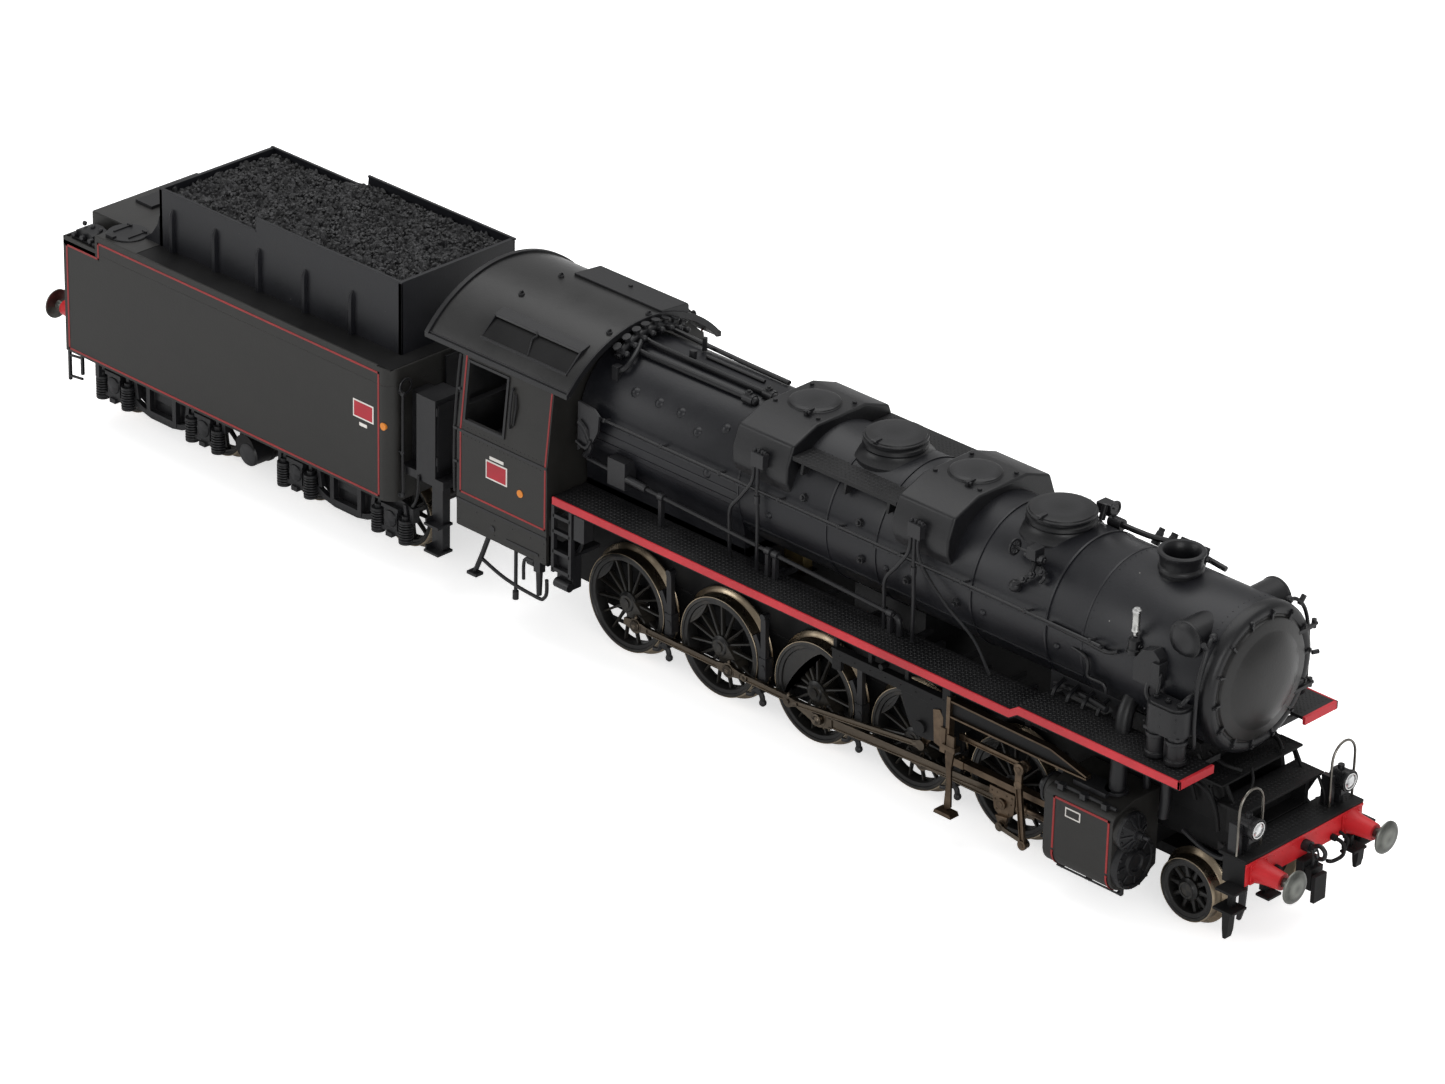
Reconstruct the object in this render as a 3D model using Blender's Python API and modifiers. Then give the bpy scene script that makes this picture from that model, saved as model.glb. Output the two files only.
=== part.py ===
"""Model steam locomotive, HO scale (1:87): a 2-10-0 with outside valve gear and a tender on two bogies.

Numbers in the shape functions are millimetres on the locomotive itself: X forward from the third coupled
axle, Y to the left, Z up from the rail head. TO_PART turns them into metres in the part's frame, whose
origin is the middle of the overall length, at the bottom of the wheel flanges. The right side is at -Y.
"""

import math

import bmesh
import bpy
from mathutils import Matrix, Vector

# ---------------------------------------------------------------- driving dimensions (mm)
MM = 0.001
BOSS = 0.04  # how far a rod's eyes stand out of its faces
LENGTH_CENTRE = -39.7  # X of the middle of the length over buffers
FLANGE_DEPTH = 0.9
TO_PART = Matrix.Scale(MM, 4) @ Matrix.Translation((-LENGTH_CENTRE, 0, FLANGE_DEPTH))
RIGHT, LEFT = -1, 1
SIDES = {"right": RIGHT, "left": LEFT}

WHEEL_BACK, FLANGE_EDGE, WHEEL_FACE = 7.2, 7.9, 10.0
COUPLED_PITCH = 19.54
COUPLED_X = [COUPLED_PITCH * step for step in (2, 1, 0, -1, -2)]
COUPLED_RADIUS = 8.05
COUPLED_AXLE = 1.5
PONY_X, PONY_RADIUS, PONY_PIVOT_X = 72.1, 4.9, 52.0
TENDER_RADIUS = 5.75
BOGIE_X = {"front": -98.45, "rear": -142.15}
BOGIE_HALF_BASE = 10.92

CRANK = 3.8
CRANK_ANGLE = {RIGHT: math.radians(-38), LEFT: math.radians(-158)}
RETURN_CRANK = 2.3
RETURN_LAG = math.radians(-117)
SIDE_ROD_Y = (10.4, 11.0)
MAIN_ROD_Y = (11.5, 12.0)
RETURN_CRANK_Y = (12.15, 12.65)
LINK_Y = (12.15, 12.65)
ECCENTRIC_ROD_Y = (12.85, 13.35)
RADIUS_ROD_Y = (14.0, 14.5)
UNION_LINK_Y = (14.5, 14.9)
LEVER_Y = (15.1, 15.6)
CYLINDER_Y, CYLINDER_Z = 12.7, 7.5
MAIN_ROD_LENGTH = 37.75
LINK_PIVOT = (26.3, 15.0)
LINK_TAIL = 5.2
ECCENTRIC_ROD_LENGTH = 26.5
LEVER_TOP = (45.0, 15.5)
LEVER_LENGTH = 12.0

BOILER_Z, BOILER_RADIUS, BOILER_WALL = 36.05, 11.2, 0.9
BOILER_BACK, BOILER_FRONT = -48.3, 73.2
SEAT_RADIUS = 11.4  # undersides of the fittings that sit on the boiler
BOARD_EDGE = 17.2
BEAM_X, BUFFER_Y, BUFFER_Z = 84.6, 10.06, 13.45
CAB_BACK, CAB_FRONT = -68.4, -48.9
ROOF_RADIUS, ROOF_CROWN = 21.4, 50.05
TANK_BACK, TANK_FRONT, TANK_SIDE = -159.8, -83.0, 17.5
TANK_BOTTOM, TANK_TOP = 11.2, 33.8
DRAWBAR_FRONT, DRAWBAR_REAR = -64.0, -80.0
GEAR_AXLE_X = COUPLED_X[3]
WORM_WHEEL_Z, WORM_WHEEL_RADIUS, AXLE_GEAR_RADIUS = 21.15, 8.5, 4.35
MOTOR_Z, MOTOR_RADIUS = 31.4, 5.6

# ---------------------------------------------------------------- scene, materials
for old in list(bpy.data.objects):
    bpy.data.objects.remove(old)
PARTS = bpy.data.collections.new("model_steam_locomotive")
SHAPES = bpy.data.collections.new("construction_shapes")
bpy.context.scene.collection.children.link(PARTS)
bpy.context.scene.collection.children.link(SHAPES)


def paint(name, colour, roughness, metallic=0.0):
    material = bpy.data.materials.new(name)
    material.use_nodes = True
    shader = material.node_tree.nodes["Principled BSDF"]
    shader.inputs["Base Color"].default_value = (*colour, 1)
    shader.inputs["Roughness"].default_value = roughness
    shader.inputs["Metallic"].default_value = metallic
    return material


BLACK = paint("satin_black", (0.012, 0.012, 0.014), 0.45)
CHASSIS = paint("chassis_black", (0.010, 0.010, 0.011), 0.6)
ROD_METAL = paint("blackened_bronze", (0.10, 0.075, 0.05), 0.45, 0.8)
TYRE_METAL = paint("tyre_metal", (0.30, 0.24, 0.16), 0.35, 0.9)
STEEL = paint("dark_steel", (0.14, 0.14, 0.14), 0.4, 0.9)
BRASS = paint("brass", (0.55, 0.40, 0.15), 0.35, 1.0)
RED = paint("signal_red", (0.45, 0.02, 0.02), 0.5)
COAL = paint("coal", (0.015, 0.015, 0.017), 0.7)


# ---------------------------------------------------------------- shapes
def keep(mesh, name):
    """A construction shape: hidden in renders, used by the pieces' Booleans."""
    obj = bpy.data.objects.new(name, mesh)
    obj.hide_render = True
    obj.display_type = "WIRE"
    SHAPES.objects.link(obj)
    return obj


def from_bmesh(bm, name):
    bm.transform(TO_PART)
    mesh = bpy.data.meshes.new(name)
    bm.to_mesh(mesh)
    bm.free()
    return keep(mesh, name)


def box(x, y, z):
    """A box from three (low, high) pairs."""
    bm = bmesh.new()
    bmesh.ops.create_cube(bm, size=1)
    spans = [sorted(span) for span in (x, y, z)]
    bmesh.ops.scale(bm, vec=[high - low for low, high in spans], verts=bm.verts)
    bmesh.ops.translate(bm, vec=[(low + high) / 2 for low, high in spans], verts=bm.verts)
    return from_bmesh(bm, "box")


def cylinder(start, end, radius, end_radius=None, sides=10):
    """A round bar, or a cone when end_radius is given."""
    start, end = Vector(start), Vector(end)
    tip = radius if end_radius is None else end_radius
    bm = bmesh.new()
    bmesh.ops.create_cone(
        bm, cap_ends=True, segments=sides, radius1=radius, radius2=tip, depth=(end - start).length
    )
    turn = Vector((0, 0, 1)).rotation_difference(end - start).to_matrix()
    bmesh.ops.rotate(bm, cent=(0, 0, 0), matrix=turn, verts=bm.verts)
    bmesh.ops.translate(bm, vec=(start + end) / 2, verts=bm.verts)
    return from_bmesh(bm, "cylinder")


def to_shape(temporary, name):
    """Turns an object with a curve or modifiers into a plain mesh shape, its caps welded."""
    bpy.context.view_layer.update()
    graph = bpy.context.evaluated_depsgraph_get()
    mesh = bpy.data.meshes.new_from_object(temporary.evaluated_get(graph))
    bm = bmesh.new()
    bm.from_mesh(mesh)
    bmesh.ops.remove_doubles(bm, verts=bm.verts, dist=0.001)
    bmesh.ops.dissolve_limit(bm, angle_limit=math.radians(0.1), verts=bm.verts, edges=bm.edges)
    bmesh.ops.recalc_face_normals(bm, faces=bm.faces)
    bm.transform(temporary.matrix_world)
    bpy.data.objects.remove(temporary)
    bpy.data.meshes.remove(mesh)
    return from_bmesh(bm, name)


TURN_TO = {
    "X": Matrix.Rotation(math.pi / 2, 4, "Y"),
    "Y": Matrix.Rotation(-math.pi / 2, 4, "X"),
    "Z": Matrix.Identity(4),
}


def turned(profile, centre, axis, sides=24):
    """A turned solid: (radius, height) points run down its outer side; a ring's profile closes on itself."""
    points = [(radius, 0, height) for radius, height in profile]
    edges = [(i, i + 1) for i in range(len(points) - 1)]
    if profile[0][0] > 0:
        edges.append((len(points) - 1, 0))
    mesh = bpy.data.meshes.new("profile")
    mesh.from_pydata(points, edges, [])
    obj = bpy.data.objects.new("profile", mesh)
    SHAPES.objects.link(obj)
    obj.matrix_world = Matrix.Translation(centre) @ TURN_TO[axis]
    screw = obj.modifiers.new("turn", "SCREW")
    screw.steps = screw.render_steps = sides
    screw.use_merge_vertices = True
    screw.merge_threshold = 0.0001
    return to_shape(obj, "turned")


PLANES = {
    "XY": Matrix.Identity(4),
    "XZ": Matrix.Rotation(math.pi / 2, 4, "X"),
    "YZ": Matrix.Rotation(math.pi / 2, 4, "Z") @ Matrix.Rotation(math.pi / 2, 4, "X"),
}
NORMALS = {"XY": Vector((0, 0, 1)), "XZ": Vector((0, 1, 0)), "YZ": Vector((1, 0, 0))}


def plate(outline, plane, span):
    """A flat outline in a plane, extruded between the two values of span along the plane's normal."""
    low, high = sorted(span)
    curve = bpy.data.curves.new("outline", "CURVE")
    curve.dimensions = "2D"
    curve.fill_mode = "BOTH"
    curve.extrude = (high - low) / 2
    spline = curve.splines.new("POLY")
    spline.points.add(len(outline) - 1)
    for point, (a, b) in zip(spline.points, outline):
        point.co = (a, b, 0, 1)
    spline.use_cyclic_u = True
    obj = bpy.data.objects.new("outline", curve)
    SHAPES.objects.link(obj)
    obj.matrix_world = Matrix.Translation(NORMALS[plane] * (low + high) / 2) @ PLANES[plane]
    return to_shape(obj, "plate")


def arc(centre, radius, start, end, steps):
    """Points of an arc, by angles in degrees."""
    angles = [math.radians(start + (end - start) * i / steps) for i in range(steps + 1)]
    return [(centre[0] + radius * math.cos(a), centre[1] + radius * math.sin(a)) for a in angles]


def bar(p, q, half_p, half_q, y):
    """A tapered bar between two (x, z) points, with the given half heights at its ends."""
    along = (Vector(q) - Vector(p)).normalized()
    across = Vector((-along.y, along.x))
    corners = [Vector(p) - across * half_p, Vector(q) - across * half_q]
    corners += [Vector(q) + across * half_q, Vector(p) + across * half_p]
    return plate([tuple(corner) for corner in corners], "XZ", y)


def disc(p, radius, y, sides=8):
    """A round boss or hole across the locomotive at an (x, z) point."""
    return cylinder((p[0], y[0], p[1]), (p[0], y[1], p[1]), radius, sides=sides)


def on_side(side, span, proud=0):
    """The span across one side of the locomotive, widened by proud at both ends."""
    return (side * (span[0] - proud), side * (span[1] + proud))


# ---------------------------------------------------------------- pieces
def piece(name, material, base, add=(), cut=(), pivot=None, smooth=False):
    """A node: base, joined with the shapes in add, then cut by those in cut; its origin goes to pivot."""
    obj = base
    obj.name = name
    SHAPES.objects.unlink(obj)
    PARTS.objects.link(obj)
    obj.hide_render = False
    obj.display_type = "TEXTURED"
    if pivot:
        place = TO_PART @ Vector(pivot)
        obj.data.transform(Matrix.Translation(-place))
        obj.location = place
    for operation, shapes in (("UNION", add), ("DIFFERENCE", cut)):
        for shape in shapes:
            modifier = obj.modifiers.new(operation.lower(), "BOOLEAN")
            modifier.operation = operation
            modifier.object = shape
            modifier.solver = "EXACT"
    obj.data.materials.clear()
    obj.data.materials.append(material)
    if smooth:
        obj.data.shade_smooth()
        obj.data.set_sharp_from_angle(angle=math.radians(35))
    return obj


def crank_pin(x, side):
    angle = CRANK_ANGLE[side]
    return (x + CRANK * math.cos(angle), COUPLED_RADIUS + CRANK * math.sin(angle))


def return_pin(side):
    angle = CRANK_ANGLE[side] + RETURN_LAG
    return (RETURN_CRANK * math.cos(angle), COUPLED_RADIUS + RETURN_CRANK * math.sin(angle))


def crosshead_x(side):
    pin = crank_pin(0, side)
    return pin[0] + math.sqrt(MAIN_ROD_LENGTH**2 - (CYLINDER_Z - pin[1]) ** 2)


def circles_meet(c0, r0, c1, r1):
    """The lower crossing of two circles in the XZ plane."""
    c0, c1 = Vector(c0), Vector(c1)
    gap = (c1 - c0).length
    along = (r0**2 - r1**2 + gap**2) / (2 * gap)
    off = math.sqrt(r0**2 - along**2)
    line = (c1 - c0).normalized()
    middle = c0 + line * along
    crossings = [middle + Vector((-line.y, line.x)) * sign * off for sign in (-1, 1)]
    return tuple(min(crossings, key=lambda point: point.y))


def link_tail(side):
    return circles_meet(return_pin(side), ECCENTRIC_ROD_LENGTH, LINK_PIVOT, LINK_TAIL)


def union_pin(side):
    return (crosshead_x(side) + 0.5, 4.3)


def lever_bottom(side):
    return circles_meet(LEVER_TOP, LEVER_LENGTH, union_pin(side), 5.05)


def wheelset(name, x, radius, axle, add, end=None, sides=20):
    """Two flanged wheels on an axle, turned as one piece; end is the (radius, half length) of axle ends."""
    half = [
        (radius - 0.05, WHEEL_FACE),
        (radius + 0.05, FLANGE_EDGE),
        (radius + FLANGE_DEPTH, FLANGE_EDGE - 0.2),
        (axle, WHEEL_BACK),
    ]
    if end:
        half = [(0, end[1]), (end[0], end[1]), (end[0], WHEEL_FACE)] + half
    else:
        half = [(0, WHEEL_FACE)] + half
    profile = half + [(r, -h) for r, h in reversed(half)]
    base = turned(profile, (x, 0, radius), "Y", sides)
    return piece(name, TYRE_METAL, base, add, pivot=(x, 0, radius), smooth=True)


def coupled_wheelset(number, x):
    driven = number == 3
    add = []
    for side in SIDES.values():
        pin = crank_pin(x, side)
        pin_end = RETURN_CRANK_Y[1] - 0.1 if driven else SIDE_ROD_Y[1] + 0.35
        add.append(disc(pin, 1.35, on_side(side, (WHEEL_FACE - 0.2, WHEEL_FACE + 0.2))))
        add.append(disc(pin, 0.6, on_side(side, (WHEEL_FACE, pin_end))))
        if driven:
            outer = return_pin(side)
            add.append(bar(pin, outer, 0.8, 0.6, on_side(side, RETURN_CRANK_Y)))
            add.append(disc(pin, 1.0, on_side(side, RETURN_CRANK_Y, BOSS)))
            add.append(disc(outer, 0.7, on_side(side, RETURN_CRANK_Y, BOSS)))
            add.append(disc(outer, 0.4, on_side(side, (RETURN_CRANK_Y[0] + 0.1, ECCENTRIC_ROD_Y[1] + 0.3))))
        else:
            add.append(disc(pin, 0.95, on_side(side, (SIDE_ROD_Y[1] + 0.1, pin_end + BOSS))))
    if x == GEAR_AXLE_X:
        add.append(disc((x, COUPLED_RADIUS), AXLE_GEAR_RADIUS, (-0.9, 0.9), sides=16))
    wheelset(f"driving_wheelset_{number}", x, COUPLED_RADIUS, COUPLED_AXLE, add)


def coupled_wheels():
    for index, x in enumerate(COUPLED_X):
        coupled_wheelset(index + 1, x)


def main_frame():
    """Cast chassis: frame block with axle slots, gear slot, motor cradle, smokebox saddle, front plates."""
    base = box((-60, 62), (-6.6, 6.6), (6.2, 20.5))
    front = [(61.9, 12.2), (79.6, 12.2), (79.6, 19.9), (75.2, 19.9), (74.6, 22.7)]
    front += [(66, 22.7), (61.9, 20.5)]
    tower = plate([(-25.5, 20.4), (-13.5, 20.4), (-16.5, 24), (-22.5, 24)], "XZ", (-3.4, 3.4))
    add = [
        box((-66, -59.9), (-6.6, 6.6), (10.5, 20.5)),
        box((-46, -34), (-6, 6), (20.4, 21.3)),
        tower,
        box((3, 17), (-5, 5), (20.4, 29)),
        box((52, 64), (-6.6, 6.6), (20.4, 28)),
        plate(front, "XZ", (5.8, 6.6)),
        plate(front, "XZ", (-6.6, -5.8)),
        box((71, 74.7), (-8.7, 8.7), (22.4, 22.9)),
        box((75.3, 79.5), (-8.7, 8.7), (19.6, 20.1)),
        box((78, 82.3), (-6.5, 6.5), (12.2, 13.4)),
        cylinder((DRAWBAR_FRONT, 0, 8.7), (DRAWBAR_FRONT, 0, 10.6), 0.8),
    ]
    cut = [cylinder((-70, 0, BOILER_Z), (80, 0, BOILER_Z), SEAT_RADIUS, sides=32)]
    cut.append(cylinder((0, 0, MOTOR_Z), (20, 0, MOTOR_Z), MOTOR_RADIUS + 0.15, sides=24))
    for x in COUPLED_X:
        cut.append(box((x - 1.75, x + 1.75), (-7, 7), (6, COUPLED_RADIUS + 1.75)))
    cut.append(box((GEAR_AXLE_X - 9, GEAR_AXLE_X + 9), (-1.6, 1.6), (5, 26)))
    cut.append(cylinder((GEAR_AXLE_X, -4, WORM_WHEEL_Z), (GEAR_AXLE_X, 4, WORM_WHEEL_Z), 1.0))
    piece("main_frame", CHASSIS, base, add, cut)


def drive_train():
    """Motor can, shaft with flywheel and worm, and the worm wheel that drives the fourth axle's gear."""
    can = cylinder((-4, 0, MOTOR_Z), (24, 0, MOTOR_Z), MOTOR_RADIUS, sides=24)
    bore = cylinder((-5, 0, MOTOR_Z), (12, 0, MOTOR_Z), 0.9)
    piece("motor_can", STEEL, can, cut=[bore], smooth=True)
    profile = [(0, 10), (0.6, 10), (0.6, -6), (4.2, -6), (4.2, -12.5), (0.6, -12.5)]
    profile += [(0.6, -15), (1.6, -15), (1.6, -24), (0.6, -24), (0.6, -26), (0, -26)]
    shaft = turned(profile, (0, 0, MOTOR_Z), "X", 14)
    piece("motor_shaft", BRASS, shaft, pivot=(GEAR_AXLE_X, 0, MOTOR_Z), smooth=True)
    profile = [(0, 3.2), (0.8, 3.2), (0.8, 0.9), (WORM_WHEEL_RADIUS, 0.9)]
    profile += [(r, -h) for r, h in reversed(profile)]
    centre = (GEAR_AXLE_X, 0, WORM_WHEEL_Z)
    piece("worm_wheel", BRASS, turned(profile, centre, "Y", 20), pivot=centre, smooth=True)


def boiler():
    ring = [
        (BOILER_RADIUS, BOILER_FRONT),
        (BOILER_RADIUS, BOILER_BACK),
        (BOILER_RADIUS - BOILER_WALL, BOILER_BACK),
        (BOILER_RADIUS - BOILER_WALL, BOILER_FRONT),
    ]
    base = turned(ring, (0, 0, BOILER_Z), "X", 32)
    firebox = [box((BOILER_BACK, -15), side_span, (21.6, 33)) for side_span in ((8.6, 9.4), (-9.4, -8.6))]
    firebox.append(box((-15.8, -15), (-9.4, 9.4), (21.6, 26)))
    heater = cylinder((69, -9.9, 43.4), (69, 9.9, 43.4), 2.7, sides=16)
    cut = [
        box((-50, 30), (-6.2, 6.2), (20, 30)),
        cylinder((59.6, 0, 44), (59.6, 0, 50), 2.4),
    ]
    piece("boiler_shell", BLACK, base, firebox + [heater], cut, smooth=True)
    door = [(0, 77.3), (4.5, 76.9), (7.6, 76.1), (9.7, 75.1), (9.9, 74.9), (11.3, 75.2), (11.6, 74.8)]
    door += [(11.6, 73.5), (0, 73.5)]
    piece("smokebox_door", BLACK, turned(door, (0, 0, BOILER_Z), "X", 24), smooth=True)


def seat(x0, x1):
    """Cutter that gives a fitting its saddle over the boiler."""
    return cylinder((x0, 0, BOILER_Z), (x1, 0, BOILER_Z), SEAT_RADIUS, sides=32)


def boiler_fittings():
    chimney = [(3.46, 50.0), (3.46, 49.6), (3.0, 48.4), (3.1, 47.6), (4.2, 46.4), (4.2, 45), (2.4, 45)]
    chimney += [(2.4, 49.3), (2.9, 50.0)]
    body = turned(chimney, (59.6, 0, 0), "Z", 16)
    piece("chimney", BLACK, body, cut=[seat(50, 70)], smooth=True)
    for name, x, radius, top in (("front_dome", 37.5, 5.1, 49.1), ("middle_dome", 5.4, 4.8, 49.4)):
        profile = [(0, top), (radius, top), (radius, top - 0.5), (radius - 0.3, top - 0.6)]
        profile += [(radius + 0.1, top - 2.0), (radius + 1.2, top - 3.4), (radius + 1.2, 42), (0, 42)]
        piece(name, BLACK, turned(profile, (x, 0, 0), "Z", 18), cut=[seat(x - 9, x + 9)], smooth=True)
    half = [(5.2, 48.5), (10.3, 46.6), (11.5, 43.4), (11.5, 41.0), (10.4, 38.6)]
    outline = half + [(-y, z) for y, z in reversed(half)]
    for name, back, front in (("front_sandbox", 15.5, 26.4), ("rear_sandbox", -16.3, -5.2)):
        lid_x = (back + front) / 2
        lid = cylinder((lid_x, 0, 48), (lid_x, 0, 48.9), 3.9, sides=16)
        body = plate(outline, "YZ", (back, front))
        piece(name, BLACK, body, [lid], [seat(back - 2, front + 2)])


def roof_arc(radius, half_width, steps):
    """Points over the cab from the left eaves to the right, on a circle below the crown."""
    centre = (0, ROOF_CROWN - ROOF_RADIUS)
    angle = math.degrees(math.asin(half_width / radius))
    return arc(centre, radius, 90 - angle, 90 + angle, steps)


def cab():
    side_wall = [(17.3, 13.4), (17.3, 29.6), (15.95, 41.6)]
    top = roof_arc(ROOF_RADIUS - 1.1, 15.1, 10)
    outline = side_wall + top + [(-y, z) for y, z in reversed(side_wall)]
    inner = [(16.7, 22), (16.7, 29.6), (15.3, 42.0), (15.3, 60), (-15.3, 60), (-15.3, 42), (-16.7, 29.6)]
    inner += [(-16.7, 22)]
    cut = [
        plate(inner, "YZ", (CAB_BACK - 1, CAB_FRONT - 1.0)),
        box((CAB_BACK - 1, CAB_FRONT + 1), (-16.7, 16.7), (10, 21)),
        box((-66.9, -58.5), (-20, 20), (31.5, 40.9)),
    ]
    piece("cab_body", BLACK, plate(outline, "YZ", (CAB_BACK, CAB_FRONT)), cut=cut)
    shell = roof_arc(ROOF_RADIUS, 16.2, 12) + roof_arc(ROOF_RADIUS - 0.8, 15.8, 12)[::-1]
    vents = [box((-64.8, -47.4), (-14.2, -9.8), (44, 46.5)), box((-64.6, -45.9), (4.2, 9.4), (47, 49.9))]
    under = plate(roof_arc(ROOF_RADIUS - 0.4, 16.0, 12), "YZ", (-80, -40))
    vents[0].modifiers.new("trim", "BOOLEAN").object = under
    vents[1].modifiers.new("trim", "BOOLEAN").object = under
    eyes = [box((x - 0.3, x + 0.3), (1.1, 1.7), (49.6, ROOF_CROWN + 0.65)) for x in (-65.2, -46.5)]
    piece("cab_roof", BLACK, plate(shell, "YZ", (-76.4, -45.7)), vents + eyes, smooth=True)


def running_boards():
    step = [(-47.9, 25.3), (44, 25.3), (45.6, 26.35), (75.6, 26.35)]
    deck = [(x, z - 0.6) for x, z in reversed(step)] + step
    lip = [(x, z - 1.3) for x, z in reversed(step)] + step
    for name, side in SIDES.items():
        edge = plate(lip, "XZ", on_side(side, (BOARD_EDGE - 0.5, BOARD_EDGE)))
        front = box((75.0, 75.6), on_side(side, (9.9, BOARD_EDGE)), (25.05, 26.35))
        board = plate(deck, "XZ", on_side(side, (9.9, BOARD_EDGE - 0.1)))
        piece(f"running_board_{name}", BLACK, board, [edge, front])


def cylinders():
    section = [(6.9, 17.2), (6.9, 4.6), (9.8, 3.2), (14.4, 3.2), (16.4, 4.3), (17.0, 5.8), (17.0, 15.2)]
    section += [(15.4, 17.2)]
    for name, side in SIDES.items():
        y = side * CYLINDER_Y
        outline = [(side * a, b) for a, b in section]
        block = plate(outline, "YZ", (51.0, 64.0))
        add = [
            cylinder((63.9, y, CYLINDER_Z), (65.0, y, CYLINDER_Z), 4.1, sides=20),
            cylinder((50.4, y, CYLINDER_Z), (51.1, y, CYLINDER_Z), 2.6, sides=16),
            cylinder((49.2, side * 13.6, 13.9), (66.2, side * 13.6, 13.9), 2.2, sides=16),
            cylinder((66.1, side * 13.6, 13.9), (68.2, side * 13.6, 13.9), 0.5, sides=8),
            box((30.7, 51.1), on_side(side, (12.2, 13.7)), (10.0, 11.0)),
        ]
        bore = cylinder((50, y, CYLINDER_Z), (61, y, CYLINDER_Z), 0.75)
        piece(f"cylinder_{name}", BLACK, block, add, [bore])


def motion_brackets():
    for name, side in SIDES.items():
        upright = box((30.7, 31.5), on_side(side, (6.9, 15.7)), (14.6, 23.2))
        beam = [(31.4, 20.9), (31.4, 18.9), (50.5, 18.9), (57.5, 19.2), (57.5, 19.6), (50.5, 20.9)]
        add = [
            plate(beam, "XZ", on_side(side, (15.0, 15.7))),
            bar((6, 21.6), (30.9, 21.6), 0.9, 0.9, on_side(side, (15.0, 15.7))),
            box((30.7, 31.5), on_side(side, (15.0, 15.7)), (12.9, 15)),
            box((30.7, 31.5), on_side(side, (12.2, 12.7)), (11.2, 14.7)),
            box((31.5, 33.3), on_side(side, (15.9, 16.4)), (3.9, 15.4)),
            box((31.3, 33.5), on_side(side, (15.9, 17.5)), (3.4, 4.0)),
            box((31.0, 33.3), on_side(side, (15.1, 16.4)), (13.9, 15.4)),
            disc(LINK_PIVOT, 0.4, on_side(side, (12.0, 15.3)), sides=10),
            box((25.4, 27.2), on_side(side, (15.05, 15.6)), (14.1, 21.0)),
        ]
        window = box((30, 32), on_side(side, (13.6, 14.9)), (14.0, 17.2))
        piece(f"motion_bracket_{name}", CHASSIS, upright, add, [window])


def rods():
    """Coupling, connecting, eccentric and valve rods of one side, each in its own layer across the width."""
    for name, side in SIDES.items():
        pins = [crank_pin(x, side) for x in COUPLED_X]
        layer = on_side(side, SIDE_ROD_Y)
        eyes = [disc(pin, 1.3, on_side(side, SIDE_ROD_Y, BOSS)) for pin in pins]
        holes = [disc(pin, 0.75, on_side(side, SIDE_ROD_Y, 1)) for pin in pins]
        middle = pins[2]
        pivot = (middle[0], side * 10.7, middle[1])
        piece(f"side_rod_{name}", ROD_METAL, bar(pins[4], pins[0], 0.5, 0.5, layer), eyes, holes, pivot)

        small_end = (crosshead_x(side), CYLINDER_Z)
        layer = on_side(side, MAIN_ROD_Y, BOSS)
        eyes = [disc(middle, 1.5, layer), disc(small_end, 1.0, layer)]
        base = bar(middle, small_end, 0.85, 0.55, on_side(side, MAIN_ROD_Y))
        hole = disc(middle, 0.75, on_side(side, MAIN_ROD_Y, 1))
        piece(f"main_rod_{name}", ROD_METAL, base, eyes, [hole], pivot)

        start, tail = return_pin(side), link_tail(side)
        layer = on_side(side, ECCENTRIC_ROD_Y, BOSS)
        eyes = [disc(start, 1.0, layer), disc(tail, 0.85, layer)]
        base = bar(start, tail, 0.4, 0.4, on_side(side, ECCENTRIC_ROD_Y))
        hole = disc(start, 0.55, on_side(side, ECCENTRIC_ROD_Y, 1))
        piece(f"eccentric_rod_{name}", ROD_METAL, base, eyes, [hole], (start[0], side * 13, start[1]))


def crossheads():
    for name, side in SIDES.items():
        x, y = crosshead_x(side), side * CYLINDER_Y
        pin = union_pin(side)
        block = box((x - 2.5, x + 2.5), on_side(side, (12.2, 14.3)), (5.4, 9.75))
        add = [
            cylinder((x + 2, y, CYLINDER_Z), (x + 18, y, CYLINDER_Z), 0.5, sides=10),
            bar((x + 0.3, 5.6), pin, 1.2, 0.7, on_side(side, (13.7, 14.3))),
            disc(pin, 0.75, on_side(side, (13.7, 14.3), BOSS)),
        ]
        piece(f"crosshead_{name}", ROD_METAL, block, add, pivot=(x, y, CYLINDER_Z))

        foot = lever_bottom(side)
        layer = on_side(side, UNION_LINK_Y, BOSS)
        eyes = [disc(pin, 0.75, layer), disc(foot, 0.75, layer)]
        base = bar(pin, foot, 0.4, 0.4, on_side(side, UNION_LINK_Y))
        piece(f"union_link_{name}", ROD_METAL, base, eyes, pivot=(pin[0], side * 14.7, pin[1]))

        layer = on_side(side, LEVER_Y, BOSS)
        eyes = [disc(LEVER_TOP, 0.95, layer), disc(foot, 0.8, layer)]
        base = bar(LEVER_TOP, foot, 0.6, 0.5, on_side(side, LEVER_Y))
        pivot = (LEVER_TOP[0], side * 15.35, LEVER_TOP[1])
        piece(f"combination_lever_{name}", ROD_METAL, base, eyes, pivot=pivot)


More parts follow.
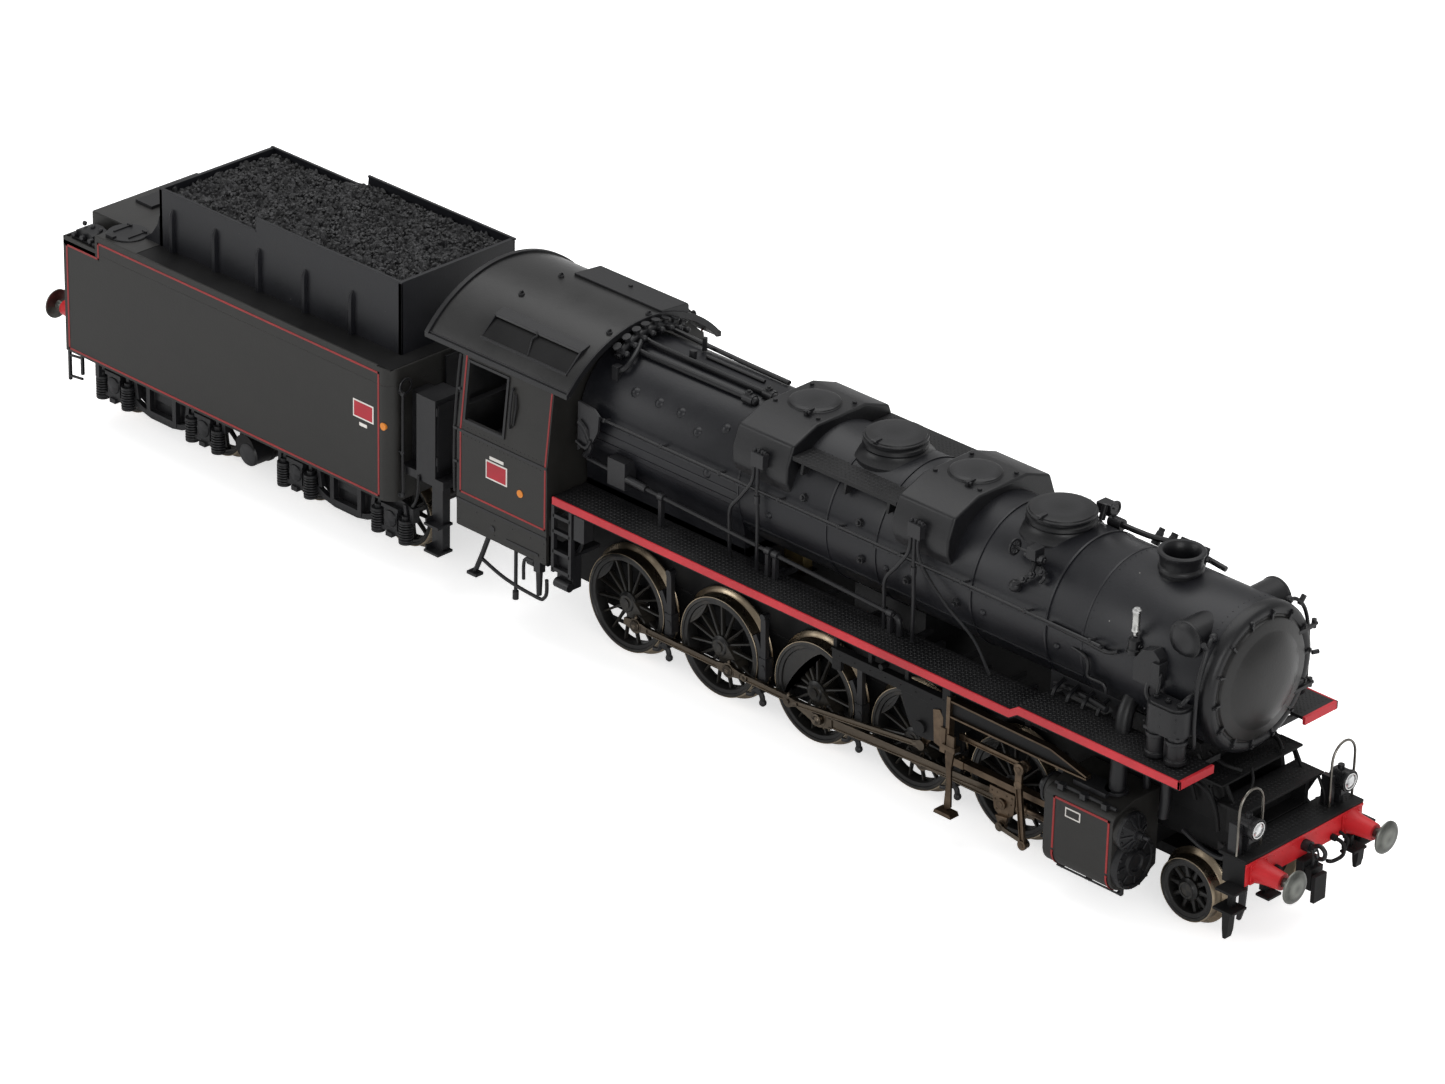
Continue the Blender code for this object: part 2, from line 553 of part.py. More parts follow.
def valve_links():
    for name, side in SIDES.items():
        tail = link_tail(side)
        lean = Vector((LINK_PIVOT[0] - tail[0], LINK_PIVOT[1] - tail[1])).normalized()
        top = Vector(LINK_PIVOT) + lean * 3.9
        layer = on_side(side, LINK_Y, BOSS)
        eyes = [disc(tail, 0.75, layer), disc(LINK_PIVOT, 1.2, layer)]
        base = bar(tail, tuple(top), 0.7, 0.9, on_side(side, LINK_Y))
        hole = disc(LINK_PIVOT, 0.62, on_side(side, LINK_Y, 1))
        pivot = (LINK_PIVOT[0], side * 12.35, LINK_PIVOT[1])
        piece(f"expansion_link_{name}", ROD_METAL, base, eyes, [hole], pivot)

        rear = (33.0, LEVER_TOP[1])
        eye = disc(LEVER_TOP, 0.9, on_side(side, RADIUS_ROD_Y, BOSS))
        base = bar(rear, LEVER_TOP, 0.45, 0.45, on_side(side, RADIUS_ROD_Y))
        pivot = (LEVER_TOP[0], side * 14.25, LEVER_TOP[1])
        piece(f"radius_rod_{name}", ROD_METAL, base, [eye], pivot=pivot)


def pony_truck():
    arm = plate([(50, -1.6), (54, -2.2), (74.5, -2.2), (74.5, 2.2), (54, 2.2), (50, 1.6)], "XY", (3.6, 5.2))
    bearing = box((70.0, 74.2), (-3.4, 3.4), (2.9, 7.0))
    pivot_pin = cylinder((PONY_PIVOT_X, 0, 3.6), (PONY_PIVOT_X, 0, 5.9), 1.1)
    bore = cylinder((PONY_X, -5, PONY_RADIUS), (PONY_X, 5, PONY_RADIUS), 1.2)
    pivot = (PONY_PIVOT_X, 0, PONY_RADIUS)
    piece("pony_truck", CHASSIS, arm, [bearing, pivot_pin], [bore], pivot)
    wheelset("pony_wheelset", PONY_X, PONY_RADIUS, 1.0, [], sides=16)


def buffer_socket(x, direction, side):
    """Cone of a buffer housing standing out of its beam."""
    y = side * BUFFER_Y
    return cylinder((x, y, BUFFER_Z), (x + direction * 3.9, y, BUFFER_Z), 1.75, 1.3, sides=14)


def buffer_bore(x, direction, side):
    y = side * BUFFER_Y
    return cylinder((x - direction * 0.7, y, BUFFER_Z), (x + direction * 5, y, BUFFER_Z), 0.85, sides=10)


def buffer(name, beam_x, direction, side):
    """Sprung buffer: turned head with a stem that slides in its housing."""
    head = [(0, 7.2), (1.5, 7.1), (2.5, 6.75), (2.5, 6.4), (0.65, 6.0), (0.65, 0.9), (0, 0.9)]
    if direction < 0:
        head = [(r, -h) for r, h in reversed(head)]
    centre = (beam_x, side * BUFFER_Y, BUFFER_Z)
    piece(name, STEEL, turned(head, centre, "X", 12), pivot=centre, smooth=True)


def front_beam():
    base = box((82.7, BEAM_X), (-12.8, 12.8), (11.8, 15.2))
    add = [
        box((79.9, BEAM_X), (-12.8, 12.8), (15.1, 15.8)),
        box((80.7, 82.8), (10.6, 12.8), (11.8, 15.2)),
        box((80.7, 82.8), (-12.8, -10.6), (11.8, 15.2)),
        cylinder((84.5, 0, 13.6), (87.6, 0, 13.6), 0.7, sides=10),
        bar((87.2, 13.4), (88.6, 12.9), 0.5, 0.5, (-0.4, 0.4)),
    ]
    for side in SIDES.values():
        add.append(buffer_socket(BEAM_X - 0.1, 1, side))
        add.append(box((82.0, 84.4), on_side(side, (12.4, 15.4)), (11.6, 12.1)))
        add.append(box((82.9, 83.6), on_side(side, (13.2, 14.2)), (8.8, 11.7)))
        add.append(box((81.8, 85.0), on_side(side, (12.7, 15.7)), (8.4, 8.9)))
        add.append(box((83.0, 83.6), on_side(side, (13.9, 15.1)), (4.0, 8.5)))
    cut = [buffer_bore(BEAM_X, 1, side) for side in SIDES.values()]
    piece("buffer_beam", RED, base, add, cut)
    for name, side in SIDES.items():
        buffer(f"front_buffer_{name}", BEAM_X, 1, side)
        y = side * BUFFER_Y
        can = cylinder((81.0, y, 19.6), (84.2, y, 19.6), 1.65, sides=16)
        stalk = box((81.4, 82.6), on_side(side, (9.4, 10.7)), (16.0, 19))
        piece(f"lamp_{name}", BLACK, can, [stalk], smooth=True)


def air_pump():
    block = box((66.4, 73.1), (-15.3, -11.9), (31.2, 35.0))
    barrels = [cylinder((x, -13.6, 26.6), (x, -13.6, 31.4), 1.45) for x in (68.0, 71.6)]
    piece("air_pump", BLACK, block, barrels)


def drawbar():
    link = box((DRAWBAR_REAR, DRAWBAR_FRONT), (-1.5, 1.5), (9.2, 10.2))
    ends = (DRAWBAR_FRONT, DRAWBAR_REAR)
    eyes = [cylinder((x, 0, 9.2), (x, 0, 10.2), 2.1, sides=16) for x in ends]
    holes = [cylinder((x, 0, 8), (x, 0, 11), 1.1) for x in ends]
    piece("drawbar", STEEL, link, eyes, holes, (DRAWBAR_FRONT, 0, 9.7))


def tender_body():
    radius = 2.3
    corner_x, corner_y = TANK_FRONT - radius, TANK_SIDE - radius
    outline = [(TANK_BACK, -TANK_SIDE)]
    outline += arc((corner_x, -corner_y), radius, -90, 0, 4)
    outline += arc((corner_x, corner_y), radius, 0, 90, 4)
    outline += [(TANK_BACK, TANK_SIDE)]
    tank = plate(outline, "XY", (TANK_BOTTOM, TANK_TOP))
    add = [
        box((-142.2, -86.2), (-12.1, 12.1), (33, 46.1)),
        box((-83.3, -73.6), (-15.2, 15.2), (16.0, 17.6)),
    ]
    for side in SIDES.values():
        add.append(box((-83.3, -75.6), on_side(side, (9.4, 12.9)), (17.5, 29.4)))
        add.append(box((-79.7, -75.6), on_side(side, (9.3, 15.1)), (17.5, 30.7)))
        add.append(box((-76.2, -73.6), on_side(side, (13.4, 15.2)), (5.4, 16.1)))
        add.append(box((-76.6, -73.2), on_side(side, (13.4, 16.6)), (5.2, 5.8)))
        add.append(box((-76.6, -73.2), on_side(side, (13.4, 16.6)), (9.8, 10.4)))
    cut = [
        box((TANK_BACK - 1, -152.0), (11.2, 20), (31.2, 50)),
        box((TANK_BACK - 1, -152.0), (-20, -11.2), (31.2, 50)),
        box((TANK_BACK + 1.2, -84.4), (-16.4, 16.4), (10, 30.0)),
        box((-150.8, -84.4), (-16.4, 16.4), (29.9, 32.6)),
        box((-141.5, -86.9), (-11.4, 11.4), (34.5, 50)),
        box((-143, -119.5), (-13, 13), (43.9, 50)),
        box((-85, -82), (-13.5, 13.5), (10, 13.6)),
    ]
    piece("tender_body", BLACK, tank, add, cut)
    heap = [(-141.1, 35), (-87.3, 35), (-87.3, 41.5), (-93, 44.4), (-104, 45.2), (-125, 44.6)]
    heap += [(-134, 43.6), (-141.1, 42.3)]
    piece("coal_load", COAL, plate(heap, "XZ", (-11.1, 11.1)))


def tender_frame():
    base = box((-158.0, -85.2), (-15.8, 15.8), (13.0, 15.2))
    add = [
        box((-157.4, -86), (-15.2, 15.2), (15.1, 29.4)),
        box((-157.5, -82.5), (-3.8, 3.8), (9.2, 13.1)),
        box((-82.6, -77.4), (-3.8, 3.8), (10.6, 13.1)),
        box((-161.4, -157.4), (-3.8, 3.8), (9.4, 10.9)),
        box((-161.4, -160.1), (-12.8, 12.8), (10.2, 15.8)),
        cylinder((DRAWBAR_REAR, 0, 8.7), (DRAWBAR_REAR, 0, 10.7), 0.8),
        box((-121.3, -119.3), (-12.4, 12.4), (9.0, 13.1)),
        cylinder((-120.3, -14.2, 6.6), (-120.3, 14.2, 6.6), 2.2, sides=16),
        box((-121.3, -119.3), (-1, 1), (6, 10)),
        box((-165.0, -161.3), (-1.1, 1.1), (10.3, 11.5)),
    ]
    for side in SIDES.values():
        add.append(buffer_socket(-161.3, -1, side))
        add.append(box((-121.3, -119.3), on_side(side, (11.4, 12.4)), (7, 10)))
    cut = [buffer_bore(-161.4, -1, side) for side in SIDES.values()]
    piece("tender_frame", CHASSIS, base, add, cut)
    for name, side in SIDES.items():
        buffer(f"rear_buffer_{name}", -164.0, -1, side)


def bogies():
    number = 0
    for name, centre in BOGIE_X.items():
        bolster = box((centre - 2.6, centre + 2.6), (-11.6, 11.6), (5.6, 8.2))
        add = [cylinder((centre, 0, 8.1), (centre, 0, 9.0), 1.6)]
        cut = []
        half = [(15.4, 8.3), (15.4, 6.4), (8.4, 5.0), (3.2, 3.4)]
        outline = [(centre + x, z) for x, z in half] + [(centre - x, z) for x, z in reversed(half)]
        for side in SIDES.values():
            add.append(plate(outline, "XZ", on_side(side, (11.5, 12.7))))
            for offset in (-BOGIE_HALF_BASE, BOGIE_HALF_BASE):
                x = centre + offset
                add.append(box((x - 1.7, x + 1.7), on_side(side, (11.5, 13.6)), (3.9, 7.6)))
                cut.append(disc((x, TENDER_RADIUS), 0.72, on_side(side, (11, 12.3))))
        pivot = (centre, 0, TENDER_RADIUS)
        piece(f"{name}_bogie", CHASSIS, bolster, add, cut, pivot)
        for offset in (BOGIE_HALF_BASE, -BOGIE_HALF_BASE):
            number += 1
            x = centre + offset
            wheelset(f"tender_wheelset_{number}", x, TENDER_RADIUS, 1.0, [], end=(0.5, 12.0), sides=16)


def parent_pieces():
    """Moving pieces follow the piece that carries them, without changing place."""
    carriers = {"motor_shaft": "main_frame", "worm_wheel": "main_frame", "drawbar": "main_frame"}
    carriers |= {f"driving_wheelset_{number}": "main_frame" for number in range(1, 6)}
    carriers |= {"pony_truck": "main_frame", "pony_wheelset": "pony_truck"}
    carriers |= {"tender_frame": "drawbar", "tender_body": "tender_frame", "coal_load": "tender_body"}
    carriers |= {"front_bogie": "tender_frame", "rear_bogie": "tender_frame"}
    for number in range(1, 5):
        carriers[f"tender_wheelset_{number}"] = "front_bogie" if number < 3 else "rear_bogie"
    for side in SIDES:
        for rod in ("side_rod", "main_rod", "eccentric_rod"):
            carriers[f"{rod}_{side}"] = "driving_wheelset_3"
        for sliding in ("crosshead", "expansion_link", "radius_rod"):
            carriers[f"{sliding}_{side}"] = "main_frame"
        carriers[f"union_link_{side}"] = f"crosshead_{side}"
        carriers[f"combination_lever_{side}"] = f"radius_rod_{side}"
        carriers[f"front_buffer_{side}"] = "buffer_beam"
        carriers[f"rear_buffer_{side}"] = "tender_frame"
    bpy.context.view_layer.update()
    for name, carrier in carriers.items():
        child, parent = bpy.data.objects[name], bpy.data.objects[carrier]
        child.parent = parent
        child.matrix_parent_inverse = Matrix.Translation(-parent.matrix_world.translation)


main_frame()
drive_train()
boiler()
boiler_fittings()
cab()
running_boards()
cylinders()
motion_brackets()
coupled_wheels()
rods()
crossheads()
valve_links()
pony_truck()
front_beam()
air_pump()
drawbar()
tender_body()
tender_frame()
bogies()
parent_pieces()
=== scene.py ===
"""Looks of the model steam locomotive: pieces, finishes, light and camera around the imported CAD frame.

Numbers in the shape functions are millimetres on the locomotive, as in its CAD: X forward from the third
coupled axle, Y to the left, Z up from the rail head. PLACE turns them into metres in the model's frame.
"""

import math
import random

import bmesh
import bpy
from mathutils import Matrix, Vector, noise


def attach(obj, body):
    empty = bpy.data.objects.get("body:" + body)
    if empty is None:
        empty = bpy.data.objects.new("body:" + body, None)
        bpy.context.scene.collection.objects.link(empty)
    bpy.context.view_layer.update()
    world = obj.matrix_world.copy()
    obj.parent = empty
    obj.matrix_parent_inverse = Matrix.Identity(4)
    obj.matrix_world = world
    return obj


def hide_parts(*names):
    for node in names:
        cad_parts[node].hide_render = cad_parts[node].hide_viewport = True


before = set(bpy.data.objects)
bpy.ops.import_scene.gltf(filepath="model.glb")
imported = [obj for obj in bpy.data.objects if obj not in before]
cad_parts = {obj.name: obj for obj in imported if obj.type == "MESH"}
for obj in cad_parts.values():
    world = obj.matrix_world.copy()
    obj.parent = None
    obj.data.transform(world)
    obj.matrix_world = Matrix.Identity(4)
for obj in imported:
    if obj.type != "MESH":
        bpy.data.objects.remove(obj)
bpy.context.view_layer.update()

MM = 0.001
PLACE = Matrix.Scale(MM, 4) @ Matrix.Translation((39.7, 0, 0.9))
RIGHT, LEFT = -1, 1
SIDES = {"right": RIGHT, "left": LEFT}
ROOT = "locomotive"

# ---------------------------------------------------------------- main dimensions, as in the CAD
COUPLED_X = [39.08, 19.54, 0.0, -19.54, -39.08]
COUPLED_RADIUS, PONY_RADIUS, TENDER_RADIUS = 8.05, 4.9, 5.75
PONY_X = 72.1
BOGIE_X = {"front": -98.45, "rear": -142.15}
BOGIE_HALF_BASE = 10.92
CRANK = 3.8
CRANK_ANGLE = {RIGHT: math.radians(-38), LEFT: math.radians(-158)}
RETURN_CRANK, RETURN_LAG = 2.3, math.radians(-117)
SIDE_ROD_Y = (10.4, 11.0)
MAIN_ROD_Y = (11.5, 12.0)
LINK_Y = (12.15, 12.65)
ECCENTRIC_ROD_Y = (12.85, 13.35)
RADIUS_ROD_Y = (14.0, 14.5)
LEVER_Y = (15.1, 15.6)
CYLINDER_Y, CYLINDER_Z = 12.7, 7.5
MAIN_ROD_LENGTH = 37.75
LINK_PIVOT, LINK_TAIL, ECCENTRIC_ROD_LENGTH = (26.3, 15.0), 5.2, 26.5
LEVER_TOP, LEVER_LENGTH = (45.0, 15.5), 12.0
BOILER_Z, BOILER_RADIUS = 36.05, 11.2
BOARD_INNER, BOARD_EDGE = 9.9, 17.2
BEAM_X, BUFFER_Y, BUFFER_Z = 84.6, 10.06, 13.45
ROOF_RADIUS, ROOF_CROWN = 21.4, 50.05
CHEST_Y, CHEST_Z = 14.1, 13.1
TANK_BACK, TANK_FRONT, TANK_SIDE = -159.8, -83.0, 17.5
TANK_SKIN = 17.42
TANK_BOTTOM, SHELL_TOP, TANK_TOP = 11.2, 30.9, 33.8
TANK_STEP = -151.9
BOARD_LOW, BOARD_HIGH = 25.3, 26.35
RAMP_BACK, RAMP_FRONT, RAMP_LENGTH, RAMP_RISE = 44, 45.6, 1.6, 1.05
WALKWAY_X, WALKWAY_Z = (-5.1, 15.4), 45.25
CAB_SIDE, CAB_WAIST, EAVES_SIDE, EAVES_RISE = 17.3, 29.6, 15.95, 12.0
WINDOW_LOW, WINDOW_HIGH = 31.4, 41.0
CHIMNEY_X = 59.6
HEATER_X, HEATER_Z = 69, 43.4
REAR_BEAM_X = -164.0
LAMP_X, LAMP_Z, LAMP_HOOP_X = 81.0, 19.6, 82.7
RESERVOIR_X, RESERVOIR_Z = -119.6, 5.6

# ---------------------------------------------------------------- shape settings
AXIS_GAP = 0.002
BEVEL_ANGLE = math.radians(40)
TREAD_PITCH = 0.78
COAL_SEED, COAL_LUMPS = 7, 1500
COAL_X, COAL_HALF_WIDTH = (-141.3, -87.1), 11.55
COAL_STEPS_X, COAL_STEPS_Y = 230, 96
COAL_FLOOR, COAL_LIMIT = 38, 46.4

# ---------------------------------------------------------------- finish settings
CLOUD_SCALE, GRAIN_SCALE, SPECK_SCALE, PATCH_SCALE = 90.0, 2600.0, 420.0, 45.0
SPECK_CORE, SPECK_EDGE = 0.028, 0.055
DUST_COLOUR, SPECK_COLOUR = (0.11, 0.105, 0.10), (0.55, 0.53, 0.5)

# ---------------------------------------------------------------- studio settings
AIM = Vector((0.03283, -0.0230, 0.0359))
AZIMUTH, ELEVATION, ROLL = math.radians(43.54), math.radians(27.04), math.radians(1.42)
DISTANCE, LENS_MM, SENSOR_MM = 0.8986, 154.9, 36.0
CLIP_NEAR, CLIP_FAR = 0.01, 20
FLOOR_SIZE, FLOOR_DROP, FLOOR_GLOW, SKY_GLOW = 6, 0.0005, 0.62, 0.46
LIGHTS = (  # name, place, aim, size, power
    ("overhead", (-0.1, 0.25, 1.1), (0.0, 0.0, 0.0), (1.5, 1.0), 10.0),
    ("front_right", (1.0, -0.7, 0.45), (0.05, 0.0, 0.02), (0.8, 0.5), 4.6),
    ("rear_left", (-0.8, -0.9, 0.5), (-0.03, 0.0, 0.02), (0.8, 0.5), 3.2),
)


# ---------------------------------------------------------------- materials
def link(tree, a, b):
    """Connects two sockets."""
    tree.links.new(a, b)


def new_material(name):
    """A fresh material with its tree, its shader and object coordinates."""
    material = bpy.data.materials.new(name)
    material.use_nodes = True
    tree = material.node_tree
    shader = tree.nodes["Principled BSDF"]
    coords = tree.nodes.new("ShaderNodeTexCoord").outputs["Object"]
    return material, tree, shader, coords


def noise_node(tree, coords, scale, detail=4.0, rough=0.6):
    """Cloud noise in object space."""
    node = tree.nodes.new("ShaderNodeTexNoise")
    node.inputs["Scale"].default_value = scale
    node.inputs["Detail"].default_value = detail
    node.inputs["Roughness"].default_value = rough
    link(tree, coords, node.inputs["Vector"])
    return node.outputs["Fac"]


def spread(tree, value, low, high, out_low=0.0, out_high=1.0):
    """Maps a value from one range to another, clamped."""
    node = tree.nodes.new("ShaderNodeMapRange")
    for name, number in zip(("From Min", "From Max", "To Min", "To Max"), (low, high, out_low, out_high)):
        node.inputs[name].default_value = number
    link(tree, value, node.inputs["Value"])
    return node.outputs["Result"]


def maths(tree, operation, a, b):
    """Clamped arithmetic on two numbers or sockets."""
    node = tree.nodes.new("ShaderNodeMath")
    node.operation = operation
    node.use_clamp = True
    for socket, value in zip(node.inputs, (a, b)):
        if isinstance(value, (int, float)):
            socket.default_value = value
        else:
            link(tree, value, socket)
    return node.outputs["Value"]


def mix(tree, factor, a, b):
    """Blends two colours or colour sockets."""
    node = tree.nodes.new("ShaderNodeMix")
    node.data_type = "RGBA"
    link(tree, factor, node.inputs["Factor"])
    for socket, value in ((node.inputs[6], a), (node.inputs[7], b)):
        if isinstance(value, tuple):
            socket.default_value = (*value, 1)
        else:
            link(tree, value, socket)
    return node.outputs[2]


def bump(tree, shader, height, strength, distance):
    """Surface relief from a height socket."""
    node = tree.nodes.new("ShaderNodeBump")
    node.inputs["Strength"].default_value = strength
    node.inputs["Distance"].default_value = distance
    link(tree, height, node.inputs["Height"])
    link(tree, node.outputs["Normal"], shader.inputs["Normal"])


def facing_up(tree):
    """How far a face looks up."""
    geometry = tree.nodes.new("ShaderNodeNewGeometry")
    split = tree.nodes.new("ShaderNodeSeparateXYZ")
    link(tree, geometry.outputs["Normal"], split.inputs[0])
    return split.outputs["Z"]


def painted(name, colour, roughness, dust=0.0, edge_highlight=None, grain=0.00004, specks=0.0, shine=0.38):
    """Sprayed paint: fine orange peel, cloudy sheen, dust films on faces that look up, edges painted lighter as
    a highlight.
    """
    material, tree, shader, coords = new_material(name)
    cloud = noise_node(tree, coords, CLOUD_SCALE, 5.0)
    fine = noise_node(tree, coords, GRAIN_SCALE, 3.0)
    lighter = tuple(min(1.0, c * 1.45 + 0.003) for c in colour)
    base = mix(tree, spread(tree, cloud, 0.35, 0.7), colour, lighter)
    if dust:
        film = maths(
            tree, "MULTIPLY", spread(tree, facing_up(tree), 0.15, 0.95), spread(tree, cloud, 0.4, 0.75, 0, dust),
        )
        base = mix(tree, film, base, DUST_COLOUR)
    if specks:
        cells = tree.nodes.new("ShaderNodeTexVoronoi")
        cells.inputs["Scale"].default_value = SPECK_SCALE
        cells.inputs["Randomness"].default_value = 1.0
        link(tree, coords, cells.inputs["Vector"])
        near = spread(tree, cells.outputs["Distance"], SPECK_CORE, SPECK_EDGE, 1.0, 0.0)
        colour_split = tree.nodes.new("ShaderNodeSeparateColor")
        link(tree, cells.outputs["Color"], colour_split.inputs[0])
        some = spread(tree, colour_split.outputs[0], 1.0 - specks, 1.0 - specks + 0.02)
        patch = spread(tree, noise_node(tree, coords, PATCH_SCALE, 2.0), 0.45, 0.6)
        up = spread(tree, facing_up(tree), -0.1, 0.5)
        amount = maths(
            tree, "MULTIPLY", maths(tree, "MULTIPLY", near, some), maths(tree, "MULTIPLY", patch, up),
        )
        base = mix(tree, amount, base, SPECK_COLOUR)
    # Edges, found by pointiness, are painted lighter: a painted highlight.
    if edge_highlight:
        geometry = tree.nodes.new("ShaderNodeNewGeometry")
        edge = spread(tree, geometry.outputs["Pointiness"], 0.53, 0.62, 0.0, 0.6)
        base = mix(tree, edge, base, edge_highlight)
    link(tree, base, shader.inputs["Base Color"])
    link(tree, spread(tree, cloud, 0.3, 0.75, roughness - 0.05, roughness + 0.08), shader.inputs["Roughness"])
    shader.inputs["Specular IOR Level"].default_value = shine
    bump(tree, shader, fine, 0.35, grain)
    return material


def metal(name, dark, light, roughness, streak=(1, 1, 1), scale=500.0, rub_and_highlight=0.5):
    """Blackened or bare metal: patina between two tones, brighter in places, edges brighter as rubbed metal and
    as painted highlight, with fine machining.
    """
    material, tree, shader, coords = new_material(name)
    mapping = tree.nodes.new("ShaderNodeMapping")
    mapping.inputs["Scale"].default_value = streak
    link(tree, coords, mapping.inputs["Vector"])
    patina = noise_node(tree, mapping.outputs[0], scale, 6.0, 0.65)
    large = noise_node(tree, coords, 160.0, 3.0)
    amount = maths(tree, "MULTIPLY", spread(tree, patina, 0.35, 0.7), spread(tree, large, 0.3, 0.7, 0.25, 1.0))
    base = mix(tree, amount, dark, light)
    # Edges, found by pointiness, are painted brighter: partly rubbed metal, partly painted highlight.
    geometry = tree.nodes.new("ShaderNodeNewGeometry")
    edge = spread(tree, geometry.outputs["Pointiness"], 0.52, 0.6, 0.0, rub_and_highlight)
    base = mix(tree, edge, base, tuple(min(1.0, c * 1.8) for c in light))
    link(tree, base, shader.inputs["Base Color"])
    link(tree, spread(tree, patina, 0.3, 0.7, roughness + 0.1, roughness - 0.05), shader.inputs["Roughness"])
    shader.inputs["Metallic"].default_value = 1.0
    bump(tree, shader, patina, 0.25, 0.00003)
    return material


def coal_material():
    """Glossy and dull black facets."""
    material, tree, shader, coords = new_material("coal")
    rough = noise_node(tree, coords, 900.0, 8.0, 0.7)
    patch = noise_node(tree, coords, 250.0, 3.0)
    base = mix(tree, spread(tree, rough, 0.4, 0.7), (0.0035, 0.0035, 0.004), (0.035, 0.035, 0.038))
    link(tree, base, shader.inputs["Base Color"])
    link(tree, spread(tree, patch, 0.35, 0.65, 0.35, 0.75), shader.inputs["Roughness"])
    bump(tree, shader, rough, 0.8, 0.00025)
    return material


def lens_material():
    """Fluted silvered lamp glass."""
    material, tree, shader, coords = new_material("lamp_lens")
    rings = noise_node(tree, coords, 700.0, 2.0)
    base = mix(tree, spread(tree, rings, 0.4, 0.65), (0.75, 0.76, 0.76), (0.4, 0.41, 0.42))
    link(tree, base, shader.inputs["Base Color"])
    shader.inputs["Metallic"].default_value = 0.6
    shader.inputs["Roughness"].default_value = 0.14
    shader.inputs["Coat Weight"].default_value = 1.0
    shader.inputs["Coat Roughness"].default_value = 0.05
    bump(tree, shader, rings, 0.4, 0.0001)
    return material


BODY = painted("satin_black", (0.0050, 0.0053, 0.0072), 0.40, dust=0.04, specks=0.22, shine=0.36)
# Lighter copy of the black paint for flat sides: paints the light that their flat faces catch.
SIDE_BLACK_LIT = painted("side_black_painted_lit", (0.0120, 0.0115, 0.0105), 0.48, dust=0.04, shine=0.34)
ROOF = painted("roof_black", (0.0065, 0.0065, 0.0066), 0.33, dust=0.04, specks=0.06, shine=0.46)
FITTING = painted(
    "fitting_black", (0.0046, 0.0047, 0.0056), 0.38, dust=0.04, edge_highlight=(0.022, 0.022, 0.024), shine=0.34,
)
# Lighter black for the smokebox door: paints the grey sheen of its dished face.
DOOR_SHEEN = painted("door_black_painted_sheen", (0.0135, 0.0132, 0.0130), 0.36, dust=0.03)
MATT = painted("chassis_black", (0.0036, 0.0036, 0.0039), 0.55, dust=0.03, shine=0.2)
DECK = painted("deck_black", (0.0050, 0.0050, 0.0056), 0.5, dust=0.05, specks=0.26, shine=0.3)
WHEEL = painted("wheel_black", (0.0055, 0.0053, 0.0050), 0.36, edge_highlight=(0.03, 0.026, 0.020))
RED = painted("signal_red", (0.40, 0.010, 0.014), 0.42, grain=0.00002)
EDGE_RED = painted("edge_red", (0.40, 0.018, 0.026), 0.45, grain=0.00002)
LINE_RED = painted("lining_red", (0.21, 0.014, 0.014), 0.5, grain=0.00001)
ORANGE = painted("marker_orange", (0.50, 0.16, 0.015), 0.45, grain=0.00001)
WHITE = painted("plate_white", (0.55, 0.53, 0.5), 0.5, grain=0.00001)
PLATE_RED = painted("plate_red", (0.30, 0.010, 0.02), 0.45, grain=0.00001)
ROD = metal("rod_bronze", (0.024, 0.021, 0.018), (0.115, 0.094, 0.072), 0.30, (0.3, 1, 1), rub_and_highlight=0.6)
BROWN = metal("gear_bronze", (0.030, 0.022, 0.017), (0.13, 0.095, 0.065), 0.4)
TYRE = metal("tyre_brass", (0.19, 0.15, 0.105), (0.48, 0.40, 0.29), 0.27, (1, 1, 1), 300.0, 0.3)
STEEL = metal("buffer_steel", (0.075, 0.078, 0.072), (0.17, 0.175, 0.16), 0.36)
SILVER = metal("bright_silver", (0.30, 0.30, 0.29), (0.60, 0.60, 0.58), 0.28)
WIRE = metal("wire_steel", (0.07, 0.066, 0.06), (0.22, 0.205, 0.18), 0.3)
BRASS = metal("gear_brass", (0.10, 0.07, 0.03), (0.22, 0.17, 0.08), 0.35)
COAL = coal_material()
LENS = lens_material()
# Grey for the rear deck: paints the light that its upward face catches.
DECK_GREY_LIT = painted("rear_deck_painted_lit", (0.019, 0.0185, 0.018), 0.42, dust=0.05)

PLANES = {
    "XY": (Vector((1, 0, 0)), Vector((0, 1, 0)), Vector((0, 0, 1))),
    "XZ": (Vector((1, 0, 0)), Vector((0, 0, 1)), Vector((0, 1, 0))),
    "YZ": (Vector((0, 1, 0)), Vector((0, 0, 1)), Vector((1, 0, 0))),
}
AXES = {
    "X": (Vector((0, 1, 0)), Vector((0, 0, 1)), Vector((1, 0, 0))),
    "Y": (Vector((1, 0, 0)), Vector((0, 0, 1)), Vector((0, 1, 0))),
    "Z": (Vector((1, 0, 0)), Vector((0, 1, 0)), Vector((0, 0, 1))),
}


